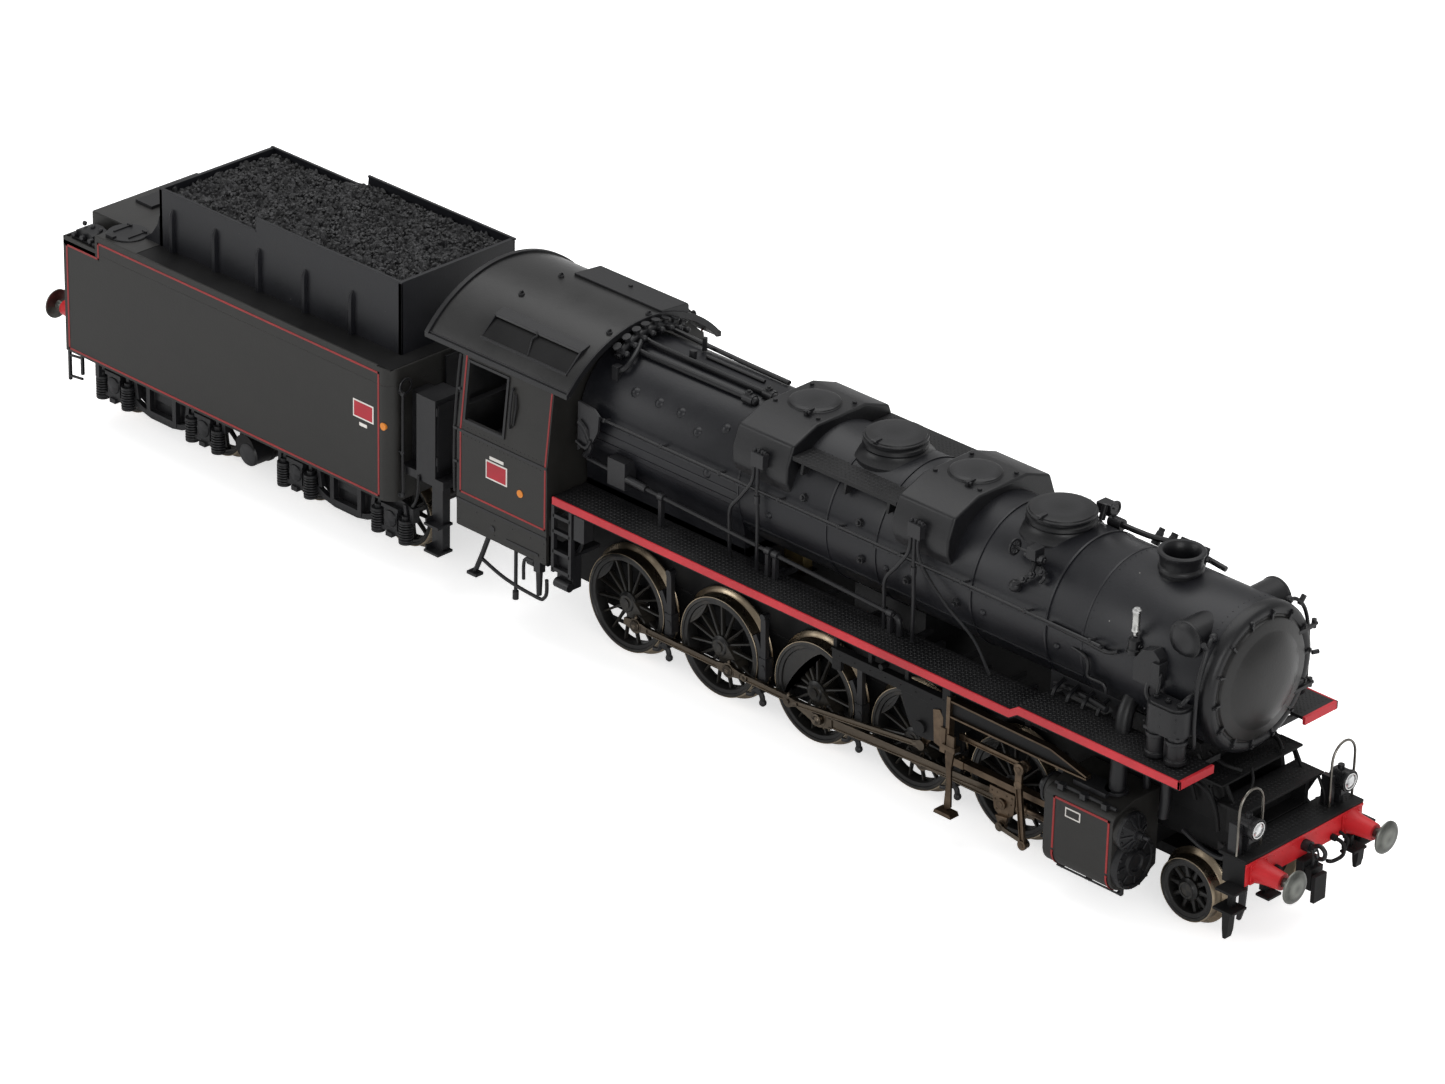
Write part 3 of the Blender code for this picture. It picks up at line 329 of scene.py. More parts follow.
# ---------------------------------------------------------------- shapes
class Shape:
    """Gathers solids in millimetres, and becomes one object with done()."""

    def __init__(self):
        self.bm = bmesh.new()

    def box(self, x, y, z):
        """A box from its X, Y and Z spans."""
        spans = [sorted(span) for span in (x, y, z)]
        verts = bmesh.ops.create_cube(self.bm, size=1)["verts"]
        bmesh.ops.scale(self.bm, vec=[high - low for low, high in spans], verts=verts)
        bmesh.ops.translate(self.bm, vec=[(low + high) / 2 for low, high in spans], verts=verts)
        return verts

    def cyl(self, p, q, r, r2=None, n=16):
        """A cylinder or cone between two points."""
        p, q = Vector(p), Vector(q)
        verts = bmesh.ops.create_cone(
            self.bm, cap_ends=True, segments=n, radius1=r, radius2=r if r2 is None else r2, depth=(q - p).length
        )["verts"]
        turn = Vector((0, 0, 1)).rotation_difference(q - p).to_matrix()
        bmesh.ops.rotate(self.bm, cent=(0, 0, 0), matrix=turn, verts=verts)
        bmesh.ops.translate(self.bm, vec=(p + q) / 2, verts=verts)
        return verts

    def ball(self, centre, r, n=12, squash=(1, 1, 1)):
        """A sphere, or an ellipsoid with squash."""
        verts = bmesh.ops.create_uvsphere(self.bm, u_segments=n, v_segments=max(6, n // 2), radius=r)["verts"]
        bmesh.ops.scale(self.bm, vec=squash, verts=verts)
        bmesh.ops.translate(self.bm, vec=centre, verts=verts)
        return verts

    def skin(self, rings, closed_loop=False):
        """Faces between successive rings of points."""
        rows = [[self.bm.verts.new(point) for point in ring] for ring in rings]
        pairs = list(zip(rows, rows[1:] + rows[:1])) if closed_loop else list(zip(rows, rows[1:]))
        count = len(rows[0])
        for a, b in pairs:
            for i in range(count):
                j = (i + 1) % count
                self.bm.faces.new((a[i], a[j], b[j], b[i]))
        if not closed_loop:
            self.bm.faces.new(rows[0][::-1])
            self.bm.faces.new(rows[-1])

    def turned(self, profile, centre, axis="Z", n=64, ring=False):
        """A turned solid from (radius, height) points; ring closes the profile on itself."""
        u, v, w = AXES[axis]
        centre = Vector(centre)
        rings = []
        for r, h in profile:
            r = max(r, AXIS_GAP)
            rings.append([centre + w * h + u * (r * math.cos(a)) + v * (r * math.sin(a)) for a in turns(n)])
        self.skin(rings, closed_loop=ring)

    def wheel(self, profile, point, side, n=32, ring=False):
        """A solid turned round an (x, z) point, with heights measured outwards on a side."""
        self.turned([(r, side * h) for r, h in profile], (point[0], 0, point[1]), "Y", n, ring=ring)

    def hoop(self, inner, outer, half, centre, axis, n):
        """A ring of rectangular section, half the thickness on each side of its centre."""
        self.turned([(inner, -half), (outer, -half), (outer, half), (inner, half)], centre, axis, n, ring=True)

    def crosswise(self, point, span, side, r, r2=None, n=16):
        """A cylinder parallel to the axles at an (x, z) point, its span measured outwards."""
        x, z = point
        self.cyl((x, side * span[0], z), (x, side * span[1], z), r, r2, n)

    def prism(self, outline, plane, span):
        """A flat outline extruded between two values along the plane's normal."""
        u, v, w = PLANES[plane]
        low, high = sorted(span)
        rings = [[u * a + v * b + w * h for a, b in outline] for h in (low, high)]
        self.skin(rings)

    def frame(self, outer, inner, plane, span):
        """A prism with a hole: two outlines with the same number of points."""
        u, v, w = PLANES[plane]
        low, high = sorted(span)
        loops = [(outer, low), (outer, high), (inner, high), (inner, low)]
        self.skin([[u * a + v * b + w * h for a, b in line] for line, h in loops], closed_loop=True)

    def bar(self, p, q, half_p, half_q, y):
        """A tapered bar between two (x, z) points."""
        along = (Vector(q) - Vector(p)).normalized()
        across = Vector((-along.y, along.x))
        p, q = Vector(p), Vector(q)
        corners = [p - across * half_p, q - across * half_q, q + across * half_q, p + across * half_p]
        self.prism([tuple(c) for c in corners], "XZ", y)

    def tube(self, points, r, n=8, smooth=True, steps=6):
        """A round pipe along points, its bends smoothed."""
        path = smoothed(points, steps) if smooth and len(points) > 2 else [Vector(p) for p in points]
        rings = []
        across = None
        for i, point in enumerate(path):
            ahead = path[min(i + 1, len(path) - 1)] - path[max(i - 1, 0)]
            ahead.normalize()
            if across is None:
                across = ahead.orthogonal().normalized()
            across = (across - ahead * across.dot(ahead)).normalized()
            other = ahead.cross(across)
            rings.append([point + across * (r * math.cos(a)) + other * (r * math.sin(a)) for a in turns(n)])
        self.skin(rings)

    def ribbon(self, points, normal, width, thick=0.05):
        """A flat painted line of constant width through points, standing thick off its surface."""
        normal = Vector(normal).normalized()
        points = [Vector(p) for p in points]
        for a, b in zip(points, points[1:]):
            along = (b - a).normalized()
            across = along.cross(normal).normalized() * width / 2
            a2, b2 = a - along * width / 2, b + along * width / 2
            low = [a2 - across, b2 - across, b2 + across, a2 + across]
            self.skin([[p - normal * thick for p in low], [p + normal * thick for p in low]])

    def rivet(self, point, normal, r=0.16, n=6):
        """A low round head."""
        normal = Vector(normal).normalized()
        point = Vector(point)
        a = normal.orthogonal().normalized()
        b = normal.cross(a)
        rings = []
        for radius, height in ((r, -0.05), (r * 0.8, r * 0.35), (r * 0.3, r * 0.55)):
            centre = point + normal * height
            rings.append([centre + a * (radius * math.cos(t)) + b * (radius * math.sin(t)) for t in turns(n)])
        self.skin(rings)

    def hexnut(self, point, axis, r=0.4, h=0.3):
        """A nut with the end of its stud."""
        p = Vector(point)
        self.cyl(p, p + Vector(axis) * h, r, n=6)
        self.cyl(p, p + Vector(axis) * (h * 1.5), r * 0.5, n=8)

    def done(self, name, material, body, slot=None, bevel=0.05, angle=35, segments=2, nodes=()):
        """Turns the solids into one object that rides on a CAD body."""
        bmesh.ops.recalc_face_normals(self.bm, faces=self.bm.faces)
        self.bm.transform(PLACE)
        mesh = bpy.data.meshes.new(name)
        self.bm.to_mesh(mesh)
        self.bm.free()
        obj = bpy.data.objects.new(name, mesh)
        bpy.context.scene.collection.objects.link(obj)
        mesh.materials.append(material)
        mesh.shade_smooth()
        mesh.set_sharp_from_angle(angle=math.radians(angle))
        if bevel:
            modifier = obj.modifiers.new("edges", "BEVEL")
            modifier.width = bevel * MM
            modifier.segments = segments
            modifier.limit_method = "ANGLE"
            modifier.angle_limit = BEVEL_ANGLE
            modifier.harden_normals = True
        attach(obj, body)
        if nodes:
            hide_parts(*nodes)
        return obj


def smoothed(points, steps):
    """Catmull-Rom curve through points."""
    points = [Vector(p) for p in points]
    path = []
    for i in range(len(points) - 1):
        p0, p1 = points[max(i - 1, 0)], points[i]
        p2, p3 = points[i + 1], points[min(i + 2, len(points) - 1)]
        for k in range(steps):
            t = k / steps
            a = 2 * p1 + (p2 - p0) * t + (2 * p0 - 5 * p1 + 4 * p2 - p3) * t**2
            path.append((a + (3 * p1 - p0 - 3 * p2 + p3) * t**3) / 2)
    path.append(points[-1])
    return path


def arc(centre, radius, start, end, steps):
    """Points of an arc, in degrees."""
    angles = [math.radians(start + (end - start) * i / steps) for i in range(steps + 1)]
    return [(centre[0] + radius * math.cos(a), centre[1] + radius * math.sin(a)) for a in angles]


def turns(n):
    """Angles evenly spaced round a circle."""
    return [2 * math.pi * k / n for k in range(n)]


def on_circle(x, y, z, r, a):
    """A point on a circle that faces along X."""
    return (x, y + r * math.cos(a), z + r * math.sin(a))


def on_side(side, span):
    """A span of distances from the centre plane, as Y values on one side."""
    return (side * span[0], side * span[1])


def crank_pin(x, side):
    """The (x, z) of a coupled wheel's crank pin at rest."""
    angle = CRANK_ANGLE[side]
    return (x + CRANK * math.cos(angle), COUPLED_RADIUS + CRANK * math.sin(angle))


def return_pin(side):
    """The (x, z) of the return crank's pin at rest."""
    angle = CRANK_ANGLE[side] + RETURN_LAG
    return (RETURN_CRANK * math.cos(angle), COUPLED_RADIUS + RETURN_CRANK * math.sin(angle))


def crosshead_x(side):
    """Where the main rod puts its crosshead at rest."""
    pin = crank_pin(0, side)
    return pin[0] + math.sqrt(MAIN_ROD_LENGTH**2 - (CYLINDER_Z - pin[1]) ** 2)


def circles_meet(c0, r0, c1, r1):
    """The lower of the two points where circles cross."""
    c0, c1 = Vector(c0), Vector(c1)
    gap = (c1 - c0).length
    along = (r0**2 - r1**2 + gap**2) / (2 * gap)
    off = math.sqrt(r0**2 - along**2)
    line = (c1 - c0).normalized()
    middle = c0 + line * along
    crossings = [middle + Vector((-line.y, line.x)) * sign * off for sign in (-1, 1)]
    return tuple(min(crossings, key=lambda point: point.y))


def link_tail(side):
    """The expansion link's lower pin at rest."""
    return circles_meet(return_pin(side), ECCENTRIC_ROD_LENGTH, LINK_PIVOT, LINK_TAIL)


def union_pin(side):
    """The pin on the crosshead's arm."""
    return (crosshead_x(side) + 0.5, 4.3)


def lever_bottom(side):
    """The combination lever's lower pin at rest."""
    return circles_meet(LEVER_TOP, LEVER_LENGTH, union_pin(side), 5.05)


def boiler_point(x, angle, proud=0.0):
    """A point on the boiler's skin; angle in degrees from the top, positive to the left side."""
    a = math.radians(angle)
    r = BOILER_RADIUS + proud
    return Vector((x, r * math.sin(a), BOILER_Z + r * math.cos(a)))


def boiler_path(*stops):
    """Points off the boiler's skin, each from what boiler_point takes."""
    return [boiler_point(*stop) for stop in stops]


def from_axis(point):
    """The vector from the boiler's axis to a point, square to the axis."""
    return point - Vector((point.x, 0, BOILER_Z))


# ---------------------------------------------------------------- wheels
def wheel_tyre(shape, x, z, radius, side, n=96):
    """Tread and flange, with the bright ring that shows round the wheel's face."""
    profile = [
        (radius - 0.22, 9.70), (radius - 0.17, 9.90), (radius - 0.08, 9.90), (radius - 0.02, 9.80),
        (radius, 9.0), (radius + 0.05, 8.1), (radius + 0.30, 7.88), (radius + 0.78, 7.66),
        (radius + 0.885, 7.5), (radius + 0.80, 7.3), (radius + 0.45, 7.22),
        (radius - 0.62, 7.22), (radius - 0.62, 8.9),
    ]
    shape.wheel(profile, (x, z), side, n, ring=True)


def wheel_centre(
    shape, x, z, radius, side, spokes, hub, rim=0.75, first=0.0, half_spoke=0.21, depth=(8.3, 9.35),
):
    """Rim, hub and tapered oval spokes."""
    rim_in = radius - 0.6 - rim
    ring = [
        (radius - 0.20, 9.86), (radius - 0.34, 9.95), (radius - 0.62, 9.95), (radius - 0.72, 9.78),
        (rim_in + 0.12, 9.72), (rim_in, 9.5), (rim_in, 7.7), (radius - 0.55, 7.5), (radius - 0.55, 9.0),
        (radius - 0.20, 9.0),
    ]
    shape.wheel(ring, (x, z), side, 80, ring=True)
    boss = [(0, 9.95), (hub * 0.72, 9.95), (hub * 0.8, 9.8), (hub, 9.55), (hub, 7.4), (0, 7.3)]
    shape.wheel(boss, (x, z), side, 32)
    middle, half = (depth[0] + depth[1]) / 2, (depth[1] - depth[0]) / 2
    for turn in turns(spokes):
        a = first + turn
        out = Vector((math.cos(a), 0, math.sin(a)))
        across = Vector((-math.sin(a), 0, math.cos(a)))
        centre = Vector((x, 0, z))
        rings = []
        for r, w, d in (
            (hub * 0.8, half_spoke * 1.5, half), ((hub + rim_in) / 2, half_spoke, half * 0.85),
            (rim_in + 0.2, half_spoke * 0.95, half * 0.8),
        ):
            spot = centre + out * r
            rings.append([
                spot + across * (w * math.cos(t)) + Vector(
                    (0, side * (middle + d * math.sin(t)), 0)
                ) for t in turns(8)
            ])
        shape.skin(rings)


def balance_weight(shape, x, z, side, outer, middle, half_angle, chord):
    """Cast crescent between the spokes, its inner edge a shallow curve."""
    steps = 14
    outline = []
    for i in range(steps + 1):
        a = middle - half_angle + 2 * half_angle * i / steps
        outline.append((x + outer * math.cos(a), z + outer * math.sin(a)))
    for i in range(steps + 1):
        t = 1 - 2 * i / steps
        a = middle + half_angle * t * 0.98
        inner = chord + (outer - chord) * abs(t) ** 2.2
        outline.append((x + inner * math.cos(a), z + inner * math.sin(a)))
    shape.prism(outline, "XZ", on_side(side, (8.0, 9.5)))


def coupled_wheelsets():
    """Five coupled axles; the third carries the return cranks and the fourth the gear."""
    for index, x in enumerate(COUPLED_X):
        number = index + 1
        body = f"driving_wheelset_{number}"
        driven = number == 3
        tyres, centre, pins = Shape(), Shape(), Shape()
        for side in SIDES.values():
            pin = crank_pin(x, side)
            angle = CRANK_ANGLE[side]
            wheel_tyre(tyres, x, COUPLED_RADIUS, COUPLED_RADIUS, side)
            wheel_centre(centre, x, COUPLED_RADIUS, COUPLED_RADIUS, side, 15, 1.75, first=angle + math.pi / 15)
            boss = [(0, 10.15), (1.15, 10.15), (1.3, 10.0), (1.3, 7.8), (0, 7.8)]
            centre.wheel(boss, pin, side, 28)
            centre.bar((x, COUPLED_RADIUS), pin, 1.6, 1.15, on_side(side, (7.9, 9.75)))
            weight = (math.radians(62), 4.3) if driven else (math.radians(27), 5.6)
            balance_weight(centre, x, COUPLED_RADIUS, side, 6.85, angle + math.pi, *weight)
            centre.crosswise((x, COUPLED_RADIUS), (9.9, 10.12), side, 0.75, n=24)
            if driven:
                outer = return_pin(side)
                pins.wheel([(0, 12.85), (0.55, 12.82), (0.72, 12.6), (0.72, 10.1), (0, 10.1)], pin, side, 20)
                pins.bar(pin, outer, 0.72, 0.5, on_side(side, (12.2, 12.6)))
                for p, r in ((pin, 0.98), (outer, 0.68)):
                    pins.crosswise(p, (12.15, 12.69), side, r, n=28)
                pins.crosswise(outer, (12.5, 13.6), side, 0.38, n=16)
            else:
                cap = [
                    (0, 11.38), (0.35, 11.38), (0.42, 11.3), (0.85, 11.25), (0.92, 11.12), (0.6, 11.08),
                    (0.6, 10.1), (0, 10.1),
                ]
                pins.wheel(cap, pin, side, 24)
        tyres.done(f"coupled_tyres_{number}", TYRE, body, "wheel_metal", bevel=0, nodes=(body,))
        centre.cyl((x, -9.5, COUPLED_RADIUS), (x, 9.5, COUPLED_RADIUS), 1.3, n=24)
        if number == 4:
            centre.cyl((x, -0.9, COUPLED_RADIUS), (x, 0.9, COUPLED_RADIUS), 4.35, n=48)
        centre.done(f"coupled_centres_{number}", WHEEL, body, "wheel_metal", bevel=0.04)
        pins.done(f"crank_pins_{number}", ROD, body, "rod_metal", bevel=0.03)


def small_wheelset(name, body, x, radius, spokes, axle_half, rim=0.55, hub=1.25, half_spoke=0.3, web=False):
    """A pony or tender axle."""
    tyres, centre = Shape(), Shape()
    for side in SIDES.values():
        wheel_tyre(tyres, x, radius, radius, side, 72)
        wheel_centre(centre, x, radius, radius, side, spokes, hub, rim, half_spoke=half_spoke)
        centre.wheel(
            [(hub * 0.55, 10.05), (hub * 0.72, 10.05), (hub * 0.72, 9.6), (hub * 0.55, 9.6)], (x, radius), side,
            32, ring=True,
        )
        if web:
            centre.crosswise((x, radius), (7.5, 7.9), side, radius - 0.6, n=48)
    centre.cyl((x, -axle_half, radius), (x, axle_half, radius), 0.5, n=16)
    centre.cyl((x, -9.0, radius), (x, 9.0, radius), 0.95, n=20)
    tyres.done(f"{name}_tyres", TYRE, body, "wheel_metal", bevel=0, nodes=(body,))
    centre.done(f"{name}_centres", WHEEL, body, "wheel_metal", bevel=0.04)


def wheels():
    """All wheelsets."""
    coupled_wheelsets()
    small_wheelset("pony", "pony_wheelset", PONY_X, PONY_RADIUS, 10, 9.9, 0.8, 1.75, 0.4, web=True)
    number = 0
    for centre in BOGIE_X.values():
        for offset in (BOGIE_HALF_BASE, -BOGIE_HALF_BASE):
            number += 1
            small_wheelset(
                f"tender_{number}", f"tender_wheelset_{number}", centre + offset, TENDER_RADIUS, 9, 11.9,
            )


# ---------------------------------------------------------------- rods and valve gear
def fluted(shape, p, q, half_p, half_q, span, side, flange=0.2):
    """Rod shank with a channel milled along its outer face."""
    low, high = span
    shape.bar(p, q, half_p - 0.04, half_q - 0.04, on_side(side, (low + 0.12, high - 0.2)))
    along = (Vector(q) - Vector(p)).normalized()
    across = Vector((-along.y, along.x))
    for sign in (-1, 1):
        a = Vector(p) + across * sign * (half_p - flange / 2)
        b = Vector(q) + across * sign * (half_q - flange / 2)
        shape.bar(a, b, flange / 2, flange / 2, on_side(side, (low, high)))


def oil_cup(shape, p, r, span, side):
    """A capped cup on top of a rod end."""
    middle = side * (span[0] + span[1]) / 2
    shape.cyl((p[0], middle, p[1] + r * 0.85), (p[0], middle, p[1] + r + 0.42), 0.3, n=12)
    shape.cyl((p[0], middle, p[1] + r + 0.4), (p[0], middle, p[1] + r + 0.55), 0.18, n=10)


def coupling_rods(name, side):
    """The side rod over the five crank pins of one side."""
    pins = [crank_pin(x, side) for x in COUPLED_X]
    rod = Shape()
    for a, b in zip(pins, pins[1:]):
        start, end = (b[0] + 1.0, b[1]), (a[0] - 1.0, a[1])
        fluted(rod, start, end, 0.52, 0.52, SIDE_ROD_Y, side, 0.18)
    for index, pin in enumerate(pins):
        rod.crosswise(pin, (10.4, 11.04), side, 1.22, n=36)
        rod.crosswise(pin, (10.36, 11.04), side, 0.95, n=30)
        oil_cup(rod, pin, 1.15, SIDE_ROD_Y, side)
        rod.bar((pin[0] - 2.4, pin[1]), (pin[0], pin[1]), 0.55, 0.95, on_side(side, (10.45, 10.98)))
        rod.bar((pin[0], pin[1]), (pin[0] + 2.4, pin[1]), 0.95, 0.55, on_side(side, (10.45, 10.98)))
        if index in (1, 3):
            joint = (pin[0] + 3.2, pin[1])
            rod.crosswise(joint, (10.38, 11.03), side, 0.62, n=20)
            rod.crosswise(joint, (10.4, 11.03), side, 0.3, n=10)
    rod.done(
        f"coupling_rods_{name}", ROD, f"side_rod_{name}", "rod_metal", bevel=0.03, nodes=(f"side_rod_{name}",),
    )


def connecting_rod(name, side):
    """The main rod of one side."""
    big, small = crank_pin(0, side), (crosshead_x(side), CYLINDER_Z)
    rod = Shape()
    direction = (Vector(small) - Vector(big)).normalized()
    first, last = Vector(big) + direction * 1.9, Vector(small) - direction * 1.1
    fluted(rod, first, last, 0.85, 0.55, MAIN_ROD_Y, side, 0.22)
    for p, r in ((big, 1.45), (small, 0.95)):
        rod.cyl((p[0], side * MAIN_ROD_Y[0], p[1]), (p[0], side * (MAIN_ROD_Y[1] + 0.03), p[1]), r, n=36)
    strap_end = Vector(big) + direction * 2.6
    rod.bar(big, strap_end, 1.35, 1.0, on_side(side, (11.5, 12.0)))
    for offset in (0.9, 1.9):
        bolt = Vector(big) + direction * offset
        across = Vector((-direction.y, direction.x))
        for sign in (-1, 1):
            end = bolt + across * sign * 1.35
            rod.cyl((end.x, side * 11.75, end.y - 0.18), (end.x, side * 11.75, end.y + 0.18), 0.16, n=6)
    oil_cup(rod, big, 1.4, MAIN_ROD_Y, side)
    rod.done(
        f"connecting_rod_{name}", ROD, f"main_rod_{name}", "rod_metal", bevel=0.03, nodes=(f"main_rod_{name}",),
    )


def eccentric_rod(name, side):
    """The rod from the return crank to the expansion link."""
    start, tail = return_pin(side), link_tail(side)
    direction = (Vector(tail) - Vector(start)).normalized()
    rod = Shape()
    fluted(
        rod, Vector(start) + direction * 0.8, Vector(tail) - direction * 0.7, 0.42, 0.42, ECCENTRIC_ROD_Y, side,
        0.15,
    )
    for p, r in ((start, 0.95), (tail, 0.82)):
        rod.crosswise(p, (12.83, 13.38), side, r, n=30)
    rod.crosswise(tail, (12.9, 13.36), side, 0.45, n=16)
    rod.bar(Vector(start), Vector(start) + direction * 1.8, 0.85, 0.42, on_side(side, ECCENTRIC_ROD_Y))
    rod.bar(Vector(tail) - direction * 1.6, Vector(tail), 0.42, 0.7, on_side(side, ECCENTRIC_ROD_Y))
    oil_cup(rod, start, 0.85, ECCENTRIC_ROD_Y, side)
    rod.done(
        f"eccentric_rod_detail_{name}", ROD, f"eccentric_rod_{name}", "rod_metal", bevel=0.03,
        nodes=(f"eccentric_rod_{name}",),
    )


def crosshead_set(name, side):
    """Crosshead with piston rod, union link and combination lever."""
    x, y = crosshead_x(side), side * CYLINDER_Y
    block = Shape()
    block.box((x - 2.4, x + 2.4), on_side(side, (12.25, 13.9)), (8.4, 9.7))
    block.prism(
        [(x - 1.9, 8.5), (x - 1.5, 6.2), (x - 0.6, 5.5), (x + 1.2, 5.5), (x + 2.2, 6.4), (x + 2.4, 8.5)], "XZ",
        on_side(side, (12.3, 13.8)),
    )
    block.crosswise((x, CYLINDER_Z), (12.22, 14.2), side, 0.85, n=24)
    block.crosswise((x, CYLINDER_Z), (14.1, 14.28), side, 0.5, n=6)
    block.turned(
        [(0, 2.0), (0.95, 2.0), (0.95, 3.6), (0.7, 4.0), (0.5, 4.1), (0.5, 18.0), (0, 18.0)],
        (x, y, CYLINDER_Z), "X", 20,
    )
    for offset in (-1.9, -0.9, 0.9, 1.9):
        block.rivet((x + offset, side * 13.88, 9.05), (0, side, 0), 0.2)
    for dx, dz in ((-1.0, 6.3), (1.3, 6.2), (1.7, 7.9), (-1.3, 7.8)):
        block.rivet((x + dx, side * 13.8, dz), (0, side, 0), 0.2)
    pin = union_pin(side)
    block.bar((x + 0.3, 5.7), pin, 1.15, 0.62, on_side(side, (13.72, 14.25)))
    block.crosswise(pin, (13.7, 14.33), side, 0.72, n=24)
    block.box((x - 1.4, x + 1.4), on_side(side, (12.4, 13.4)), (9.6, 9.75))
    block.done(
        f"crosshead_detail_{name}", BROWN, f"crosshead_{name}", "rod_metal", bevel=0.04,
        nodes=(f"crosshead_{name}",),
    )

    foot = lever_bottom(side)
    union = Shape()
    union.bar(pin, foot, 0.36, 0.36, on_side(side, (14.52, 14.88)))
    for p in (pin, foot):
        union.crosswise(p, (14.48, 14.93), side, 0.7, n=24)
    union.crosswise(pin, (14.9, 15.03), side, 0.4, n=6)
    union.done(
        f"union_link_detail_{name}", ROD, f"union_link_{name}", "rod_metal", bevel=0.03,
        nodes=(f"union_link_{name}",),
    )

    lever = Shape()
    fluted(lever, (LEVER_TOP[0], LEVER_TOP[1] - 2.8), (foot[0], foot[1] + 0.6), 0.55, 0.45, LEVER_Y, side, 0.14)
    lever.bar(LEVER_TOP, (LEVER_TOP[0], LEVER_TOP[1] - 2.9), 0.62, 0.6, on_side(side, LEVER_Y))
    for p, r in ((LEVER_TOP, 0.92), ((LEVER_TOP[0], LEVER_TOP[1] - 2.6), 0.72), (foot, 0.76)):
        lever.crosswise(p, (15.08, 15.63), side, r, n=28)
    for p in (LEVER_TOP, foot):
        lever.crosswise(p, (15.5, 15.72), side, 0.42, n=6)
    lever.done(
        f"lever_detail_{name}", BROWN, f"combination_lever_{name}", "rod_metal", bevel=0.03,
        nodes=(f"combination_lever_{name}",),
    )


def valve_link(name, side):
    """Expansion link and radius rod."""
    tail = link_tail(side)
    lean = (Vector(LINK_PIVOT) - Vector(tail)).normalized()
    across = Vector((lean.y, -lean.x))
    top = Vector(LINK_PIVOT) + lean * 3.9
    low = Vector(LINK_PIVOT) - lean * 3.6
    link_shape = Shape()
    left_edge, right_edge = [], []
    steps = 10
    for i in range(steps + 1):
        t = i / steps
        point = low + (top - low) * t - across * (0.35 * (4 * (t - 0.5) ** 2 - 1))
        left_edge.append(point - across * 0.85)
        right_edge.append(point + across * 0.85)
    inner_left = [p + across * 0.38 for p in left_edge]
    inner_right = [p - across * 0.38 for p in right_edge]
    for outer, inner in ((left_edge, inner_left), (right_edge, inner_right)):
        link_shape.prism(
            [tuple(p) for p in outer] + [tuple(p) for p in reversed(inner)], "XZ", on_side(side, LINK_Y)
        )
    for i in (0, steps):
        end = [
            left_edge[i] - lean * 0.3, left_edge[i] + lean * 0.35, right_edge[i] + lean * 0.35,
            right_edge[i] - lean * 0.3,
        ]
        link_shape.prism([tuple(p) for p in end], "XZ", on_side(side, (12.14, 12.66)))
    link_shape.bar(tail, tuple(low), 0.55, 0.75, on_side(side, LINK_Y))
    link_shape.crosswise(tail, (12.13, 12.68), side, 0.74, n=24)
    link_shape.crosswise(LINK_PIVOT, (12.13, 12.68), side, 1.1, n=28)
    link_shape.done(
        f"link_detail_{name}", BROWN, f"expansion_link_{name}", "rod_metal", bevel=0.03,
        nodes=(f"expansion_link_{name}",),
    )

    rod = Shape()
    fluted(rod, (33.2, LEVER_TOP[1]), (44.2, LEVER_TOP[1]), 0.42, 0.42, RADIUS_ROD_Y, side, 0.14)
    rod.crosswise((45.0, LEVER_TOP[1]), (13.98, 14.53), side, 0.88, n=28)
    rod.box((32.7, 33.8), on_side(side, (13.98, 14.52)), (LEVER_TOP[1] - 0.5, LEVER_TOP[1] + 0.5))
    rod.cyl((45.3, side * 14.2, 15.5), (45.9, side * 14.2, 15.5), 0.4, n=12)
    rod.done(
        f"radius_rod_detail_{name}", BROWN, f"radius_rod_{name}", "rod_metal", bevel=0.03,
        nodes=(f"radius_rod_{name}",),
    )


def motion():
    """Rods and valve gear of both sides."""
    for name, side in SIDES.items():
        coupling_rods(name, side)
        connecting_rod(name, side)
        eccentric_rod(name, side)
        crosshead_set(name, side)
        valve_link(name, side)


# ---------------------------------------------------------------- boiler
def band(shape, x, width, proud):
    """A cladding band round the barrel."""
    low, high = BOILER_RADIUS - 0.1, BOILER_RADIUS + proud
    profile = [(low, x), (high, x + 0.05), (high, x + width - 0.05), (low, x + width)]
    shape.turned(profile, (0, 0, BOILER_Z), "X", 128, ring=True)


def strip(shape, x0, x1, angle, half=0.25, proud=0.1):
    """A lengthwise cover strip on the barrel at an angle from the top."""
    rings = []
    for x in (x0, x1):
        rings.append(
            boiler_path(
                (x, angle - half * 5, -0.1), (x, angle + half * 5, -0.1), (x, angle + half * 4, proud),
                (x, angle - half * 4, proud),
            )
        )
    shape.skin(rings)


